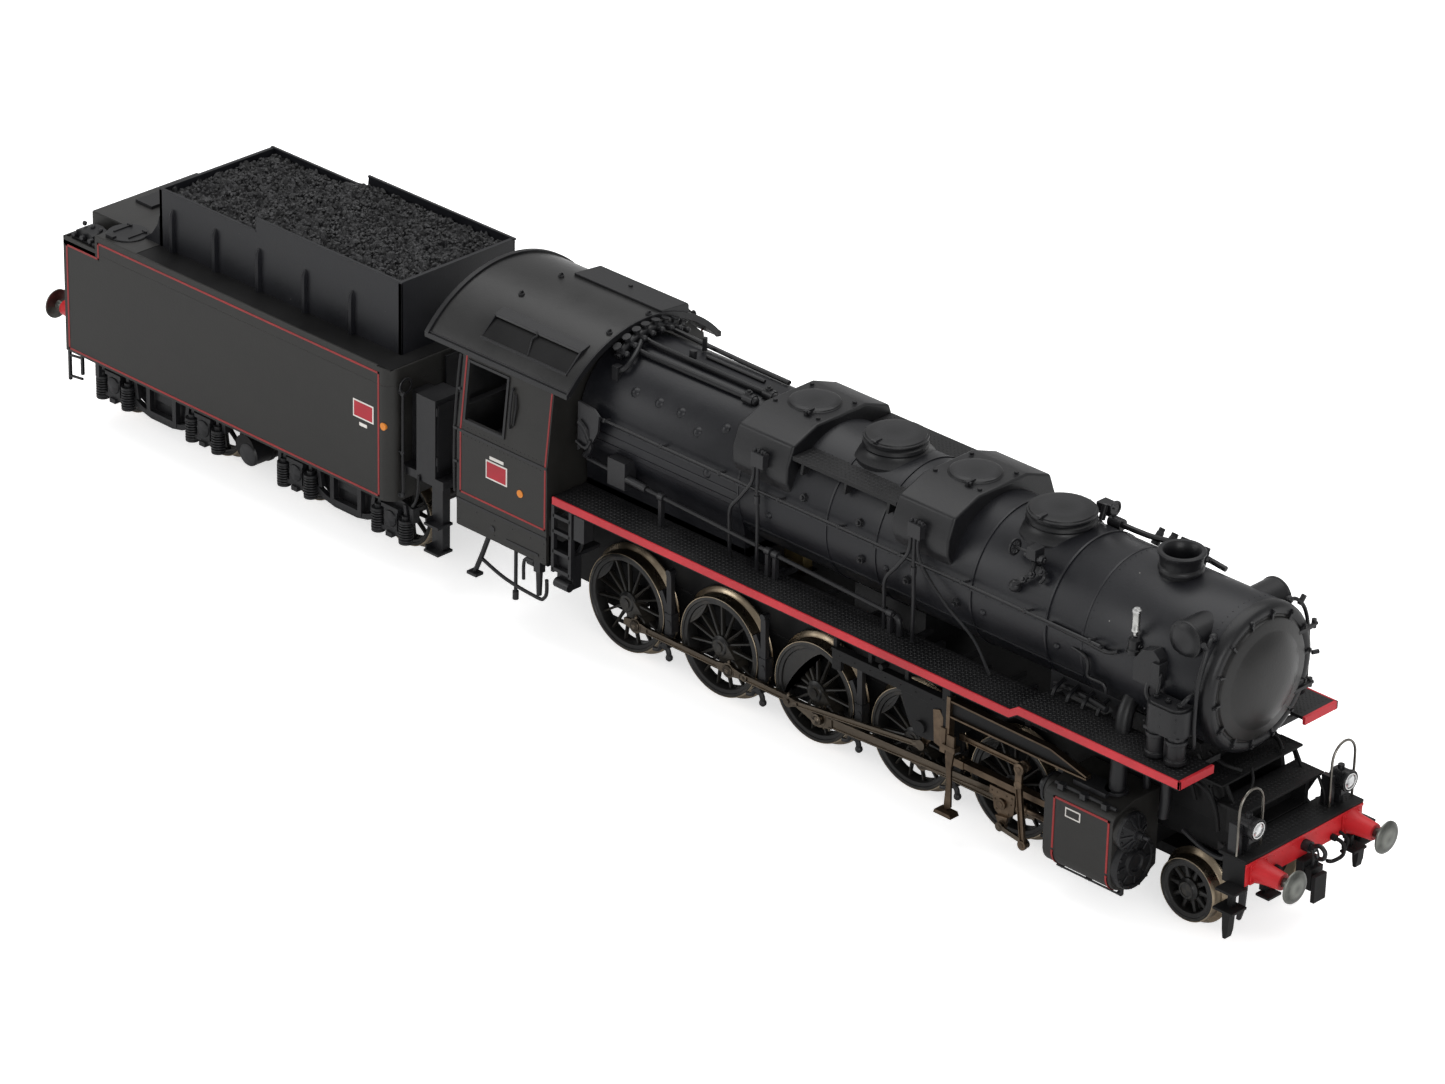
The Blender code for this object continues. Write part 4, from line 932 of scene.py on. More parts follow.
def barrel():
    """Boiler and firebox cladding with its bands, screws and plugs."""
    shell = Shape()
    profile = [
        (0, -48.3), (BOILER_RADIUS, -48.3), (BOILER_RADIUS, -15.2), (BOILER_RADIUS - 0.12, -15.0),
        (BOILER_RADIUS - 0.12, 51.6),
    ]
    profile += [(BOILER_RADIUS, 51.8), (BOILER_RADIUS, 72.6), (BOILER_RADIUS - 0.35, 73.4), (0, 73.4)]
    shell.turned(profile, (0, 0, BOILER_Z), "X", 144)
    outline = [(10.9, 33.4), (10.2, 31.2), (9.6, 29.0), (9.4, 26.5), (9.4, 21.6)]
    mirror = [(-y, z) for y, z in reversed(outline)]
    shell.prism(outline + mirror, "YZ", (-48.3, -15.2))
    shell.prism(
        [(-48.3, 26), (-48.3, 20.4), (-36, 20.4), (-33, 21.6), (-15.2, 24.2), (-15.2, 26)], "XZ", (-9.4, 9.4),
    )
    shell.done("barrel", BODY, ROOT, "body_black", bevel=0.08, nodes=("boiler_shell",))

    bands = Shape()
    for x in (-15.5, 2.2, 11.9, 30.4, 44.6, 51.4):
        band(bands, x, 0.42, 0.045)
    for side in SIDES.values():
        for a, x0, x1 in ((100, -47.8, -15.4), (118, -15.4, 51.2), (84, -47.8, 51.0)):
            strip(bands, x0, x1, side * a, 0.2, 0.12)
        strip(bands, -47.8, -15.4, side * 92, 0.14, 0.1)
    bands.done("cladding_bands", BODY, ROOT, "body_black", bevel=0)

    screws = Shape()
    for side in SIDES.values():
        for a, x0, x1, pitch in ((100, -47, -16, 2.4), (84, -47, 50, 3.1), (118, -14, 50, 3.1)):
            count = int((x1 - x0) / pitch)
            for i in range(count + 1):
                spot = boiler_point(x0 + pitch * i, side * a, 0.12)
                screws.rivet(spot, from_axis(spot), 0.13)
    for a in range(0, 360, 6):
        spot = boiler_point(72.0, a, 0.0)
        screws.rivet(spot, from_axis(spot), 0.12)
        spot = boiler_point(52.3, a, 0.0)
        screws.rivet(spot, from_axis(spot), 0.10)
    screws.done("cladding_screws", BODY, ROOT, "body_black", bevel=0, angle=60)

    plugs = Shape()
    for side in SIDES.values():
        for x, z in ((-39, 43.0), (-34, 43.0), (-29.5, 43.0), (-25.2, 41.7), (-20.6, 43.4)):
            y = math.sqrt(BOILER_RADIUS**2 - (z - BOILER_Z) ** 2)
            plugs.ball((x, side * (y - 0.42), z - 0.25), 0.95, 20)
        plugs.ball((-21.6, side * (BOILER_RADIUS - 0.5), 36.7), 0.9, 20)
        for x in (-9, 14.3, 33, 47):
            plugs.ball((x, side * (BOILER_RADIUS - 0.35), 34.4), 0.55, 16)
    plugs.done("washout_plugs", BODY, ROOT, "body_black", bevel=0, angle=70)

    flush = Shape()
    for side in SIDES.values():
        for x, a in ((-2.5, 72), (8.6, 72), (18.5, 100), (9.5, 100), (28.0, 100)):
            spot = boiler_point(x, side * a)
            out = from_axis(spot).normalized()
            flush.cyl(spot - out * 0.3, spot + out * 0.45, 0.75, 0.6, n=6)
            flush.cyl(spot, spot + out * 0.8, 0.3, n=8)
    flush.done("cladding_plugs", FITTING, ROOT, "body_black", bevel=0.04)


def smokebox_front():
    """Door, ring, dogs and hinges."""
    door = Shape()
    profile = [
        (0, 77.25), (2.0, 77.2), (4.0, 76.96), (5.6, 76.5), (6.6, 76.05), (7.2, 75.75), (7.5, 75.62),
        (8.8, 75.45), (9.1, 75.3), (9.25, 74.9), (9.55, 74.85), (9.55, 73.4), (0, 73.4),
    ]
    door.turned(profile, (0, 0, BOILER_Z), "X", 128)
    door.done("smokebox_door_dish", DOOR_SHEEN, ROOT, "body_black", bevel=0, angle=40, nodes=("smokebox_door",))
    ring = Shape()
    ring.turned(
        [
            (9.5, 74.9), (9.75, 75.05), (10.35, 75.1), (10.8, 74.95), (11.15, 74.5), (11.3, 73.9), (11.3, 73.2),
            (9.5, 73.2),
        ],
        (0, 0, BOILER_Z), "X", 128, ring=True,
    )
    for k in range(14):
        a = math.radians(k * 360 / 14 + 8)
        out = Vector((0, math.sin(a), math.cos(a)))
        across = Vector((0, math.cos(a), -math.sin(a)))
        centre = Vector((74.95, 0, BOILER_Z))
        block = []
        for x in (0.0, 0.42):
            spot = centre + Vector((x, 0, 0))
            corners = ((8.95, -0.16), (8.95, 0.16), (10.6, 0.2), (10.6, -0.2))
            block.append([spot + out * r + across * w for r, w in corners])
        ring.skin(block)
        nut = centre + out * 10.15 + Vector((0.3, 0, 0))
        ring.cyl(nut, nut + Vector((0.32, 0, 0)), 0.24, n=6)
    for z in (31.4, 40.7):
        ring.cyl((75.1, 9.3, z), (75.1, 11.6, z), 0.3, n=10)
        ring.cyl((74.9, 11.2, z - 0.7), (74.9, 11.2, z + 0.7), 0.38, n=12)
        ring.box((75.1, 75.5), (7.2, 11.0), (z - 0.28, z + 0.28))
    ring.cyl((74.9, 11.2, 36.05), (75.3, 12.2, 36.05), 0.34, n=12)
    ring.done("smokebox_ring", FITTING, ROOT, "body_black", bevel=0.04)


def chimney_and_domes():
    """Turned chimney and the two round domes."""
    chimney = Shape()
    profile = [
        (2.5, 50.1), (2.8, 50.45), (3.3, 50.5), (3.5, 50.35), (3.46, 50.05), (3.24, 49.7), (3.12, 49.0),
        (3.06, 48.3), (3.16, 48.2), (3.3, 48.0), (3.3, 47.6), (3.14, 47.45),
    ]
    profile += [
        (3.1, 46.9), (3.3, 46.75), (3.55, 46.6), (3.6, 46.3), (3.9, 46.0), (4.25, 45.6), (4.3, 44.9),
        (4.0, 44.2), (2.3, 44.2), (2.3, 48.8),
    ]
    chimney.turned(profile, (CHIMNEY_X, 0, 0), "Z", 72, ring=True)
    chimney.turned(
        [(0, 46.3), (1.1, 46.3), (1.25, 46.6), (1.5, 46.6), (1.5, 45), (0, 45)], (CHIMNEY_X, 0, 0), "Z", 32,
    )
    for a in range(0, 360, 30):
        spot = Vector((CHIMNEY_X + 3.36 * math.cos(math.radians(a)), 3.36 * math.sin(math.radians(a)), 50.1))
        chimney.rivet(spot, (math.cos(math.radians(a)), math.sin(math.radians(a)), 0), 0.2)
    chimney.done("chimney_turned", FITTING, ROOT, "body_black", bevel=0, nodes=("chimney",))

    for name, x, r, top in (("front_dome", 37.5, 5.1, 49.1), ("middle_dome", 5.4, 4.8, 49.4)):
        dome = Shape()
        profile = [
            (0, top + 0.12), (r * 0.55, top + 0.08), (r * 0.8, top), (r * 0.93, top - 0.12),
            (r * 0.95, top - 0.3), (r, top - 0.34), (r + 0.04, top - 0.5), (r - 0.02, top - 0.62),
        ]
        profile += [
            (r - 0.28, top - 0.68), (r - 0.3, top - 1.0), (r, top - 1.25), (r + 0.12, top - 1.7),
            (r, top - 2.0), (r + 0.1, top - 2.3), (r + 0.6, top - 2.8), (r + 1.25, top - 3.35), (r + 1.3, 43.5),
            (0, 43.5),
        ]
        dome.turned(profile, (x, 0, 0), "Z", 96)
        for a in range(0, 360, 20):
            spot = Vector(
                (x + (r - 0.05) * math.cos(math.radians(a)), (r - 0.05) * math.sin(math.radians(a)), top - 0.3)
            )
            dome.rivet(spot + Vector((0, 0, -0.05)), (0, 0, 1), 0.12)
        dome.box((x - 0.35, x + 0.35), (-r * 1.02, -r * 0.7), (top - 0.1, top + 0.22))
        dome.cyl((x - 0.5, -r, top + 0.12), (x + 0.5, -r, top + 0.12), 0.16, n=8)
        dome.done(f"{name}_turned", FITTING, ROOT, "body_black", bevel=0, nodes=(name,))


def sandboxes():
    """The two saddle-shaped boxes and their lids."""
    half = [(5.2, 48.5), (10.3, 46.6), (11.5, 43.4), (11.5, 41.0), (10.4, 38.6), (9.0, 38.6)]
    outline = half + [(-y, z) for y, z in reversed(half)]
    for name, back, front in (("front_sandbox", 15.5, 26.4), ("rear_sandbox", -16.3, -5.2)):
        body = Shape()
        body.prism(outline, "YZ", (back, front))
        body.done(f"{name}_cover", FITTING, ROOT, "body_black", bevel=0.42, segments=4, nodes=(name,))
        lid = Shape()
        x = (back + front) / 2
        lid.turned(
            [
                (0, 49.1), (2.8, 49.07), (3.6, 49.0), (3.85, 48.85), (3.9, 48.7), (4.02, 48.62), (4.15, 48.4),
                (0, 48.4),
            ],
            (x, 0, 0), "Z", 72,
        )
        lid.box((x + 1.9, x + 2.4), (-4.4, -2.6), (48.5, 49.25))
        lid.cyl((x + 1.5, -4.0, 49.0), (x + 2.8, -4.0, 49.0), 0.24, n=10)
        lid.cyl((x + 3.1, -0.6, 48.75), (x + 3.1, 0.6, 48.75), 0.22, n=10)
        for dx in (-4.3, 4.3):
            for dy in (-3.9, 3.9):
                lid.cyl((x + dx, dy, 48.3), (x + dx, dy, 48.52), 0.62, n=20)
                lid.cyl((x + dx, dy, 48.5), (x + dx, dy, 48.85), 0.36, n=6)
        lid.done(f"{name}_lid", FITTING, ROOT, "body_black", bevel=0.03)


def treads(shape, x0, x1, y0, y1, height):
    """Raised lozenges of chequer plate on a level deck; height gives z at x."""
    rows = int((y1 - y0) / (TREAD_PITCH / 2)) - 1
    count = int((x1 - x0) / TREAD_PITCH) - 1
    for j in range(rows):
        y = y0 + TREAD_PITCH / 2 * (j + 1)
        for i in range(count):
            x = x0 + TREAD_PITCH * (i + 0.75 + 0.5 * (j % 2))
            z = height(x)
            lean = 1 if j % 2 else -1
            along = Vector((0.26, 0.2 * lean, 0))
            across = Vector((-0.08 * lean, 0.11, 0))
            centre = Vector((x, y, z))
            corners = [centre + along, centre + across, centre - along, centre - across]
            verts = [shape.bm.verts.new(c - Vector((0, 0, 0.02))) for c in corners]
            top = shape.bm.verts.new(centre + Vector((0, 0, 0.075)))
            for a in range(4):
                shape.bm.faces.new((verts[a], verts[(a + 1) % 4], top))
            shape.bm.faces.new(verts[::-1])


def dome_walkways():
    """Narrow plates between the sand boxes."""
    for name, side in SIDES.items():
        plate = Shape()
        plate.box(WALKWAY_X, on_side(side, (4.4, 10.6)), (44.9, WALKWAY_Z))
        plate.box(WALKWAY_X, on_side(side, (10.2, 10.6)), (44.6, 45.0))
        for x in (-3.5, 5.0, 13.5):
            plate.bar((x - 0.2, 42.6), (x + 0.2, 45.0), 0.25, 0.25, on_side(side, (7.4, 10.2)))
        plate.done(f"dome_walkway_{name}", DECK, ROOT, "body_black", bevel=0.04)
        tread = Shape()
        low, high = sorted(on_side(side, (4.6, 10.4)))
        treads(tread, -5.0, 15.3, low, high, lambda x: WALKWAY_Z)
        tread.done(f"dome_walkway_treads_{name}", DECK, ROOT, "body_black", bevel=0)


# ---------------------------------------------------------------- running boards
def board_height(x):
    """Height of the running board, which steps up ahead of the ramp."""
    if x < RAMP_BACK:
        return BOARD_LOW
    if x > RAMP_FRONT:
        return BOARD_HIGH
    return BOARD_LOW + (x - RAMP_BACK) / RAMP_LENGTH * RAMP_RISE


def running_boards():
    """Deck, red edge, angle and chequer plate of both sides."""
    step = [(-47.9, BOARD_LOW), (RAMP_BACK, BOARD_LOW), (RAMP_FRONT, BOARD_HIGH), (75.1, BOARD_HIGH)]
    deck = step + [(x, z - 0.5) for x, z in reversed(step)]
    lip = [(-47.9, 25.34), (RAMP_BACK, 25.34), (RAMP_FRONT, 26.39), (75.6, 26.39)]
    lip += [(x, z - 1.25) for x, z in reversed(lip)]
    for name, side in SIDES.items():
        board = Shape()
        board.prism(deck, "XZ", on_side(side, (BOARD_INNER, BOARD_EDGE - 0.3)))
        board.box((-47.5, RAMP_BACK), on_side(side, (BOARD_INNER, BOARD_INNER + 0.4)), (24.2, 25.2))
        for x in range(-44, 74, 9):
            z = board_height(x)
            board.box((x, x + 0.5), on_side(side, (6.0, BOARD_EDGE - 0.5)), (z - 1.3, z - 0.4))
        board.done(f"board_{name}", DECK, ROOT, "body_black", bevel=0.04, nodes=(f"running_board_{name}",))
        edge = Shape()
        edge.prism(lip, "XZ", on_side(side, (BOARD_EDGE - 0.32, BOARD_EDGE)))
        edge.box((75.1, 75.6), on_side(side, (BOARD_INNER, BOARD_EDGE)), (25.14, 26.39))
        edge.done(f"board_edge_{name}", EDGE_RED, ROOT, "beam_red", bevel=0.05)
        under = Shape()
        under.prism(
            [
                (-47.9, 24.1), (RAMP_BACK, 24.1), (RAMP_FRONT, 25.15), (75.4, 25.15), (75.4, 24.95),
                (RAMP_FRONT, 24.95), (RAMP_BACK, 23.9), (-47.9, 23.9),
            ],
            "XZ", on_side(side, (BOARD_EDGE - 0.5, BOARD_EDGE - 0.06)),
        )
        under.done(f"board_angle_{name}", MATT, ROOT, "body_black", bevel=0.03)
        tread = Shape()
        low, high = sorted(on_side(side, (BOARD_INNER + 0.1, BOARD_EDGE - 0.45)))
        treads(tread, -47.7, 75.0, low, high, board_height)
        tread.done(f"board_treads_{name}", DECK, ROOT, "body_black", bevel=0)


# ---------------------------------------------------------------- cylinders and motion brackets
def cylinder_block(name, side):
    """Cladding, covers, lining, plate, drain cocks and slide bar of one side."""
    y = side * CYLINDER_Y
    section = [
        (6.9, 17.0), (6.9, 4.6), (9.8, 3.2),
    ] + arc((13.9, 6.3), 3.1, -80, -8, 8) + [(17.0, 7.2), (17.0, 14.4)]
    section += arc((15.6, 14.6), 1.4, 0, 80, 6) + [(12.6, 17.0)]
    body = Shape()
    body.prism([(side * a, b) for a, b in section], "YZ", (51.2, 63.9))
    body.cyl((49.3, side * 13.6, 13.9), (64.6, side * 13.6, 13.9), 2.15, n=48)
    body.cyl((63.5, side * CHEST_Y, CHEST_Z), (64.9, side * CHEST_Y, CHEST_Z), 2.75, n=48)
    body.turned(
        [(0, 50.3), (1.6, 50.3), (2.5, 50.6), (3.9, 51.0), (3.9, 51.4), (0, 51.4)], (0, y, CYLINDER_Z), "X", 48,
    )
    body.done(
        f"cylinder_cover_{name}", SIDE_BLACK_LIT, ROOT, "body_black", bevel=0.18, segments=3,
        nodes=(f"cylinder_{name}",),
    )

    front = Shape()
    cover = [
        (0, 64.9), (1.2, 64.9), (1.35, 65.2), (1.9, 65.2), (2.1, 64.75), (3.4, 64.75), (3.5, 65.0),
        (4.05, 65.0), (4.15, 64.8), (4.2, 63.7), (0, 63.7),
    ]
    front.turned(cover, (0, y, CYLINDER_Z), "X", 64)
    for a in turns(14):
        front.hexnut(on_circle(64.95, y, CYLINDER_Z, 3.75, a), (1, 0, 0), 0.26, 0.22)
    for a in turns(8):
        p = Vector(on_circle(64.85, y, CYLINDER_Z, 2.2, a))
        q = Vector(on_circle(64.85, y, CYLINDER_Z, 3.3, a))
        front.cyl(p, q, 0.14, n=6)
    z = CHEST_Z
    yv = side * CHEST_Y
    chest = [
        (0, 66.3), (0.95, 66.3), (1.05, 66.0), (1.5, 65.8), (2.5, 65.4), (2.95, 65.3), (3.0, 64.8),
        (2.75, 64.7), (0, 64.7),
    ]
    front.turned(chest, (0, yv, z), "X", 48)
    for a in turns(10):
        out = Vector((0, math.cos(a), math.sin(a)))
        base = Vector((0, yv, z))
        across = Vector((0, -math.sin(a), math.cos(a))) * 0.16
        fin = [
            Vector((x, 0, 0)) + base + out * r for x,
            r in ((65.2, 2.85), (65.45, 2.85), (66.3, 0.9), (65.2, 0.9))
        ]
        front.skin([[p - across for p in fin], [p + across for p in fin]])
        front.hexnut(on_circle(65.3, yv, z, 2.6, a + 0.31), (1, 0, 0), 0.22, 0.22)
    front.cyl((66.1, yv, z), (67.3, yv, z), 0.55, n=16)
    front.cyl((67.2, yv, z), (68.2, yv, z), 0.32, n=12)
    z = 13.9
    yv = side * 13.6
    for a in turns(12):
        front.hexnut(on_circle(51.3, y, CYLINDER_Z, 3.4, a), (-1, 0, 0), 0.24, 0.3)
    front.cyl((50.9, y, CYLINDER_Z), (49.6, y, CYLINDER_Z), 1.1, n=20)
    front.cyl((49.4, yv, z), (48.3, yv, z), 1.2, n=20)
    front.turned([(0, 49.9), (2.3, 49.9), (2.35, 49.5), (0, 49.2)], (0, yv, z), "X", 32)
    front.cyl((63.4, side * 15.6, 16.4), (52.0, side * 15.6, 16.4), 0.3, n=10)
    for x in (53.5, 57.6, 61.6):
        front.box((x - 0.5, x + 0.5), on_side(side, (15.4, 16.4)), (16.0, 16.9))
    front.box((54.5, 60.5), on_side(side, (11.4, 14.8)), (16.8, 17.5))
    front.done(f"cylinder_fittings_{name}", FITTING, ROOT, "body_black", bevel=0.03)

    lining = Shape()
    lining.ribbon(
        [
            (53.1, side * 17.03, 6.9), (53.1, side * 17.03, 15.0), (63.2, side * 17.03, 15.0),
            (63.2, side * 17.03, 6.9),
        ],
        (0, 1, 0), 0.32,
    )
    for x in (53.1, 63.2):
        bend = arc((13.9, 6.3), 3.16, -62, -2, 12)
        points = [(x, side * a, b) for a, b in reversed(bend)]
        for p, q in zip(points, points[1:]):
            normal = Vector((0, side * (abs(p[1]) + abs(q[1]) - 27.8), p[2] + q[2] - 12.6))
            lining.ribbon([p, q], normal, 0.32, 0.06)
    lining.done(f"cylinder_lining_{name}", LINE_RED, ROOT, "beam_red", bevel=0)
    plate = Shape()
    plate.box((55.2, 58.0), on_side(side, (17.0, 17.06)), (12.7, 14.2))
    plate.done(f"cylinder_plate_{name}", WHITE, ROOT, "body_black", bevel=0)
    face = Shape()
    face.box((55.42, 57.78), on_side(side, (17.0, 17.09)), (12.92, 13.98))
    face.done(f"cylinder_plate_face_{name}", SIDE_BLACK_LIT, ROOT, "body_black", bevel=0)

    cocks = Shape()
    for x in (52.3, 57.5, 63.3):
        cocks.cyl((x, side * 13.6, 3.6), (x, side * 13.6, 2.3), 0.42, n=12)
        cocks.cyl((x, side * 13.6, 2.7), (x, side * 14.5, 2.5), 0.2, n=8)
        cocks.ball((x, side * 13.6, 2.2), 0.45, 10)
    cocks.tube([(52.0, side * 14.4, 2.5), (63.6, side * 14.4, 2.5)], 0.16)
    cocks.done(f"drain_cocks_{name}", FITTING, ROOT, "body_black", bevel=0)

    bars = Shape()
    bars.box((30.6, 51.2), on_side(side, (12.25, 13.65)), (9.95, 10.95))
    bars.box((30.9, 33.0), on_side(side, (12.1, 13.8)), (9.85, 11.1))
    for x in (32.0, 49.6):
        for dy in (12.6, 13.3):
            bars.hexnut((x, side * dy, 11.0), (0, 0, 1), 0.24, 0.2)
    bars.done(f"slide_bar_{name}", BROWN, ROOT, "rod_metal", bevel=0.05)


def motion_bracket(name, side):
    """Bracket, beam and hanger that carry the valve gear."""
    plate = Shape()
    outer = [(6.9, 23.6), (15.7, 23.6), (15.7, 12.9), (15.0, 12.9), (12.2, 11.3), (12.2, 14.4), (6.9, 14.4)]
    plate.prism([(side * a, b) for a, b in outer], "YZ", (30.6, 31.3))
    plate.box((30.2, 31.7), on_side(side, (15.3, 15.75)), (12.9, 23.9))
    plate.box((30.2, 31.7), on_side(side, (6.9, 15.7)), (23.3, 23.9))
    plate.box((8.5, 30.6), on_side(side, (15.2, 15.6)), (19.3, 20.9))
    plate.box((8.5, 30.6), on_side(side, (14.4, 15.8)), (20.8, 21.15))
    for x in (8.5, 15.4, 22.6):
        plate.box((x, x + 0.7), on_side(side, (14.6, 15.4)), (20.8, 24.0))
    plate.box((8.5, 10.2), on_side(side, (14.8, 15.5)), (17.6, 19.4))
    plate.prism(
        [(21.6, 20.6), (30.4, 20.6), (30.4, 14.0), (27.6, 13.3), (25.2, 13.3), (23.6, 15.4), (22.4, 18.4)],
        "XZ", on_side(side, (15.1, 15.55)),
    )
    plate.crosswise((LINK_PIVOT[0], 15.0), (11.9, 15.9), side, 0.5, n=16)
    plate.crosswise((LINK_PIVOT[0], 15.0), (15.5, 16.1), side, 1.0, n=24)
    plate.crosswise((18.5, 21.8), (14.6, 16.1), side, 0.45, n=12)
    for x in range(10, 30, 3):
        plate.rivet((x, side * 15.62, 20.1), (0, side, 0), 0.15)
    plate.done(f"bracket_{name}", MATT, ROOT, "frame_black", bevel=0.05, nodes=(f"motion_bracket_{name}",))

    beam = Shape()
    outline = [(31.3, 21.3), (31.3, 18.9), (50.5, 18.9), (57.5, 18.95), (57.5, 19.3), (50.8, 21.1)]
    beam.prism(outline, "XZ", on_side(side, (14.9, 15.3)))
    beam.done(f"motion_beam_{name}", MATT, ROOT, "frame_black", bevel=0.04)
    flange = Shape()
    flange.prism(
        [(31.3, 21.5), (50.8, 21.3), (57.6, 19.5), (57.6, 19.2), (50.8, 21.0), (31.3, 21.2)], "XZ",
        on_side(side, (14.6, 15.8)),
    )
    flange.prism(
        [(31.3, 19.0), (50.5, 19.0), (57.6, 19.1), (57.6, 18.85), (50.5, 18.7), (31.3, 18.7)], "XZ",
        on_side(side, (14.6, 15.8)),
    )
    flange.box((31.2, 31.9), on_side(side, (14.7, 15.9)), (13.0, 22.0))
    flange.box((30.4, 31.4), on_side(side, (15.55, 16.1)), (12.8, 16.8))
    flange.prism(
        [(29.0, 13.6), (30.6, 13.2), (30.6, 18.2), (29.8, 19.2), (28.6, 18.8)], "XZ",
        on_side(side, (15.5, 15.8)),
    )
    hanger = [
        (31.9, 16.2), (33.3, 16.2), (33.3, 13.8), (32.9, 11.0), (33.1, 4.6), (32.2, 4.0), (31.8, 4.6),
        (32.1, 8.5), (31.7, 12.5),
    ]
    flange.prism(hanger, "XZ", on_side(side, (15.9, 16.3)))
    flange.prism([(31.0, 4.1), (33.9, 4.1), (34.2, 3.5), (30.8, 3.5)], "XZ", on_side(side, (15.5, 17.4)))
    flange.box((31.0, 33.5), on_side(side, (15.1, 16.4)), (13.6, 14.4))
    flange.done(f"motion_flange_{name}", BROWN, ROOT, "rod_metal", bevel=0.05)


def cylinders():
    """Cylinders and brackets of both sides."""
    for name, side in SIDES.items():
        cylinder_block(name, side)
        motion_bracket(name, side)


# ---------------------------------------------------------------- cab
def roof_point(y, drop=0.0):
    """Height of the roof at a distance from the centre plane."""
    return ROOF_CROWN - ROOF_RADIUS + math.sqrt((ROOF_RADIUS - drop) ** 2 - y * y)


def side_point(z, side, proud=0.0):
    """Y of the cab side at a height: upright below the waist, leaning in above it."""
    lean = max(0.0, z - CAB_WAIST) * (CAB_SIDE - EAVES_SIDE) / EAVES_RISE
    return side * (CAB_SIDE - lean + proud)


def cab_roof():
    """Roof sheet, trim, lifting eyes, hood and slide."""
    shell = Shape()
    span = math.degrees(math.asin(16.3 / ROOF_RADIUS))
    centre = (0, ROOF_CROWN - ROOF_RADIUS)
    outer = arc(centre, ROOF_RADIUS, 90 - span, 90 + span, 48)
    inner = arc(centre, ROOF_RADIUS - 0.7, 90 - span, 90 + span, 48)
    shell.prism(outer + inner[::-1], "YZ", (-76.3, -45.8))
    shell.done("roof_sheet", ROOF, ROOT, "body_black", bevel=0.1, nodes=("cab_roof",))

    trim = Shape()
    for x, low, width in ((-76.4, 0.35, 0.8), (-46.1, 0.12, 0.4)):
        rim_out = arc(centre, ROOF_RADIUS + low, 90 - span, 90 + span, 48)
        rim_in = arc(centre, ROOF_RADIUS - 0.9, 90 - span, 90 + span, 48)
        trim.prism(rim_out + rim_in[::-1], "YZ", (x, x + width))
    for side in SIDES.values():
        z = roof_point(16.2)
        trim.box((-76.4, -45.7), on_side(side, (15.9, 16.5)), (z - 0.75, z + 0.05))
        trim.box((-76.4, -45.7), on_side(side, (15.6, 16.2)), (z - 0.1, z + 0.32))
    for x, y in ((-65.2, 1.4), (-66.0, -6.2), (-46.5, 1.4), (-47.2, -6.2), (-66.0, 11.8), (-47.2, 11.8)):
        z = roof_point(y) - 0.02
        trim.cyl((x, y, z - 0.2), (x, y, z + 0.28), 0.5, n=12)
        trim.hoop(0.15, 0.42, 0.14, (x, y, z + 0.28), "X", 16)
        trim.box((x - 0.12, x + 0.12), (y - 0.55, y + 0.55), (z - 0.1, z + 0.14))
    trim.done("roof_trim", FITTING, ROOT, "body_black", bevel=0.05)

    hood = Shape()
    for side in SIDES.values():
        top = roof_point(9.7) + 0.28
        lid = [(9.5, top), (11.3, top - 0.5), (11.5, top - 0.85), (11.0, top - 0.85), (9.4, top - 0.45)]
        hood.prism([(side * y, z) for y, z in lid], "YZ", (-66.4, -47.9))
        plate = [
            (9.6, roof_point(9.6) + 0.2), (11.4, top - 0.6), (14.4, roof_point(14.4) + 0.12),
            (14.4, roof_point(14.4) - 0.3), (9.6, roof_point(9.6) - 0.4),
        ]
        for x in (-66.4, -48.2):
            hood.prism([(side * y, z) for y, z in plate], "YZ", (x, x + 0.28))
        foot = roof_point(14.3)
        hood.box((-66.4, -47.9), on_side(side, (14.1, 14.5)), (foot - 0.3, foot + 0.18))
        bend = [
            (-57.6, side * 11.3, top - 0.5), (-57.0, side * 11.6, top - 0.9),
            (-57.4, side * 12.2, roof_point(12.2) + 0.35), (-56.9, side * 13.2, roof_point(13.2) + 0.2),
            (-56.4, side * 14.2, foot + 0.15),
        ]
        hood.tube(bend, 0.16, n=8)
    hood.done("roof_hood", FITTING, ROOT, "body_black", bevel=0.05)

    well = Shape()
    for side in SIDES.values():
        floor = [(side * y, roof_point(y) + 0.06) for y in (11.4, 12.1, 12.8, 13.5, 14.2)]
        well.prism(floor + [(y, z - 0.3) for y, z in reversed(floor)], "YZ", (-66.1, -48.2))
    well.done("roof_louvre", MATT, ROOT, "body_black", bevel=0.02)

    slab = Shape()
    slab.prism(
        [
            (3.6, roof_point(3.6) - 0.1), (3.6, ROOF_CROWN + 0.12), (9.2, ROOF_CROWN - 0.4),
            (9.5, ROOF_CROWN - 0.8), (9.5, roof_point(9.5) - 0.2),
        ],
        "YZ", (-64.6, -45.9),
    )
    slab.box((-56.0, -55.4), (6.6, 7.1), (ROOF_CROWN - 0.5, ROOF_CROWN + 0.1))
    slab.done("roof_slide", FITTING, ROOT, "body_black", bevel=0.1)


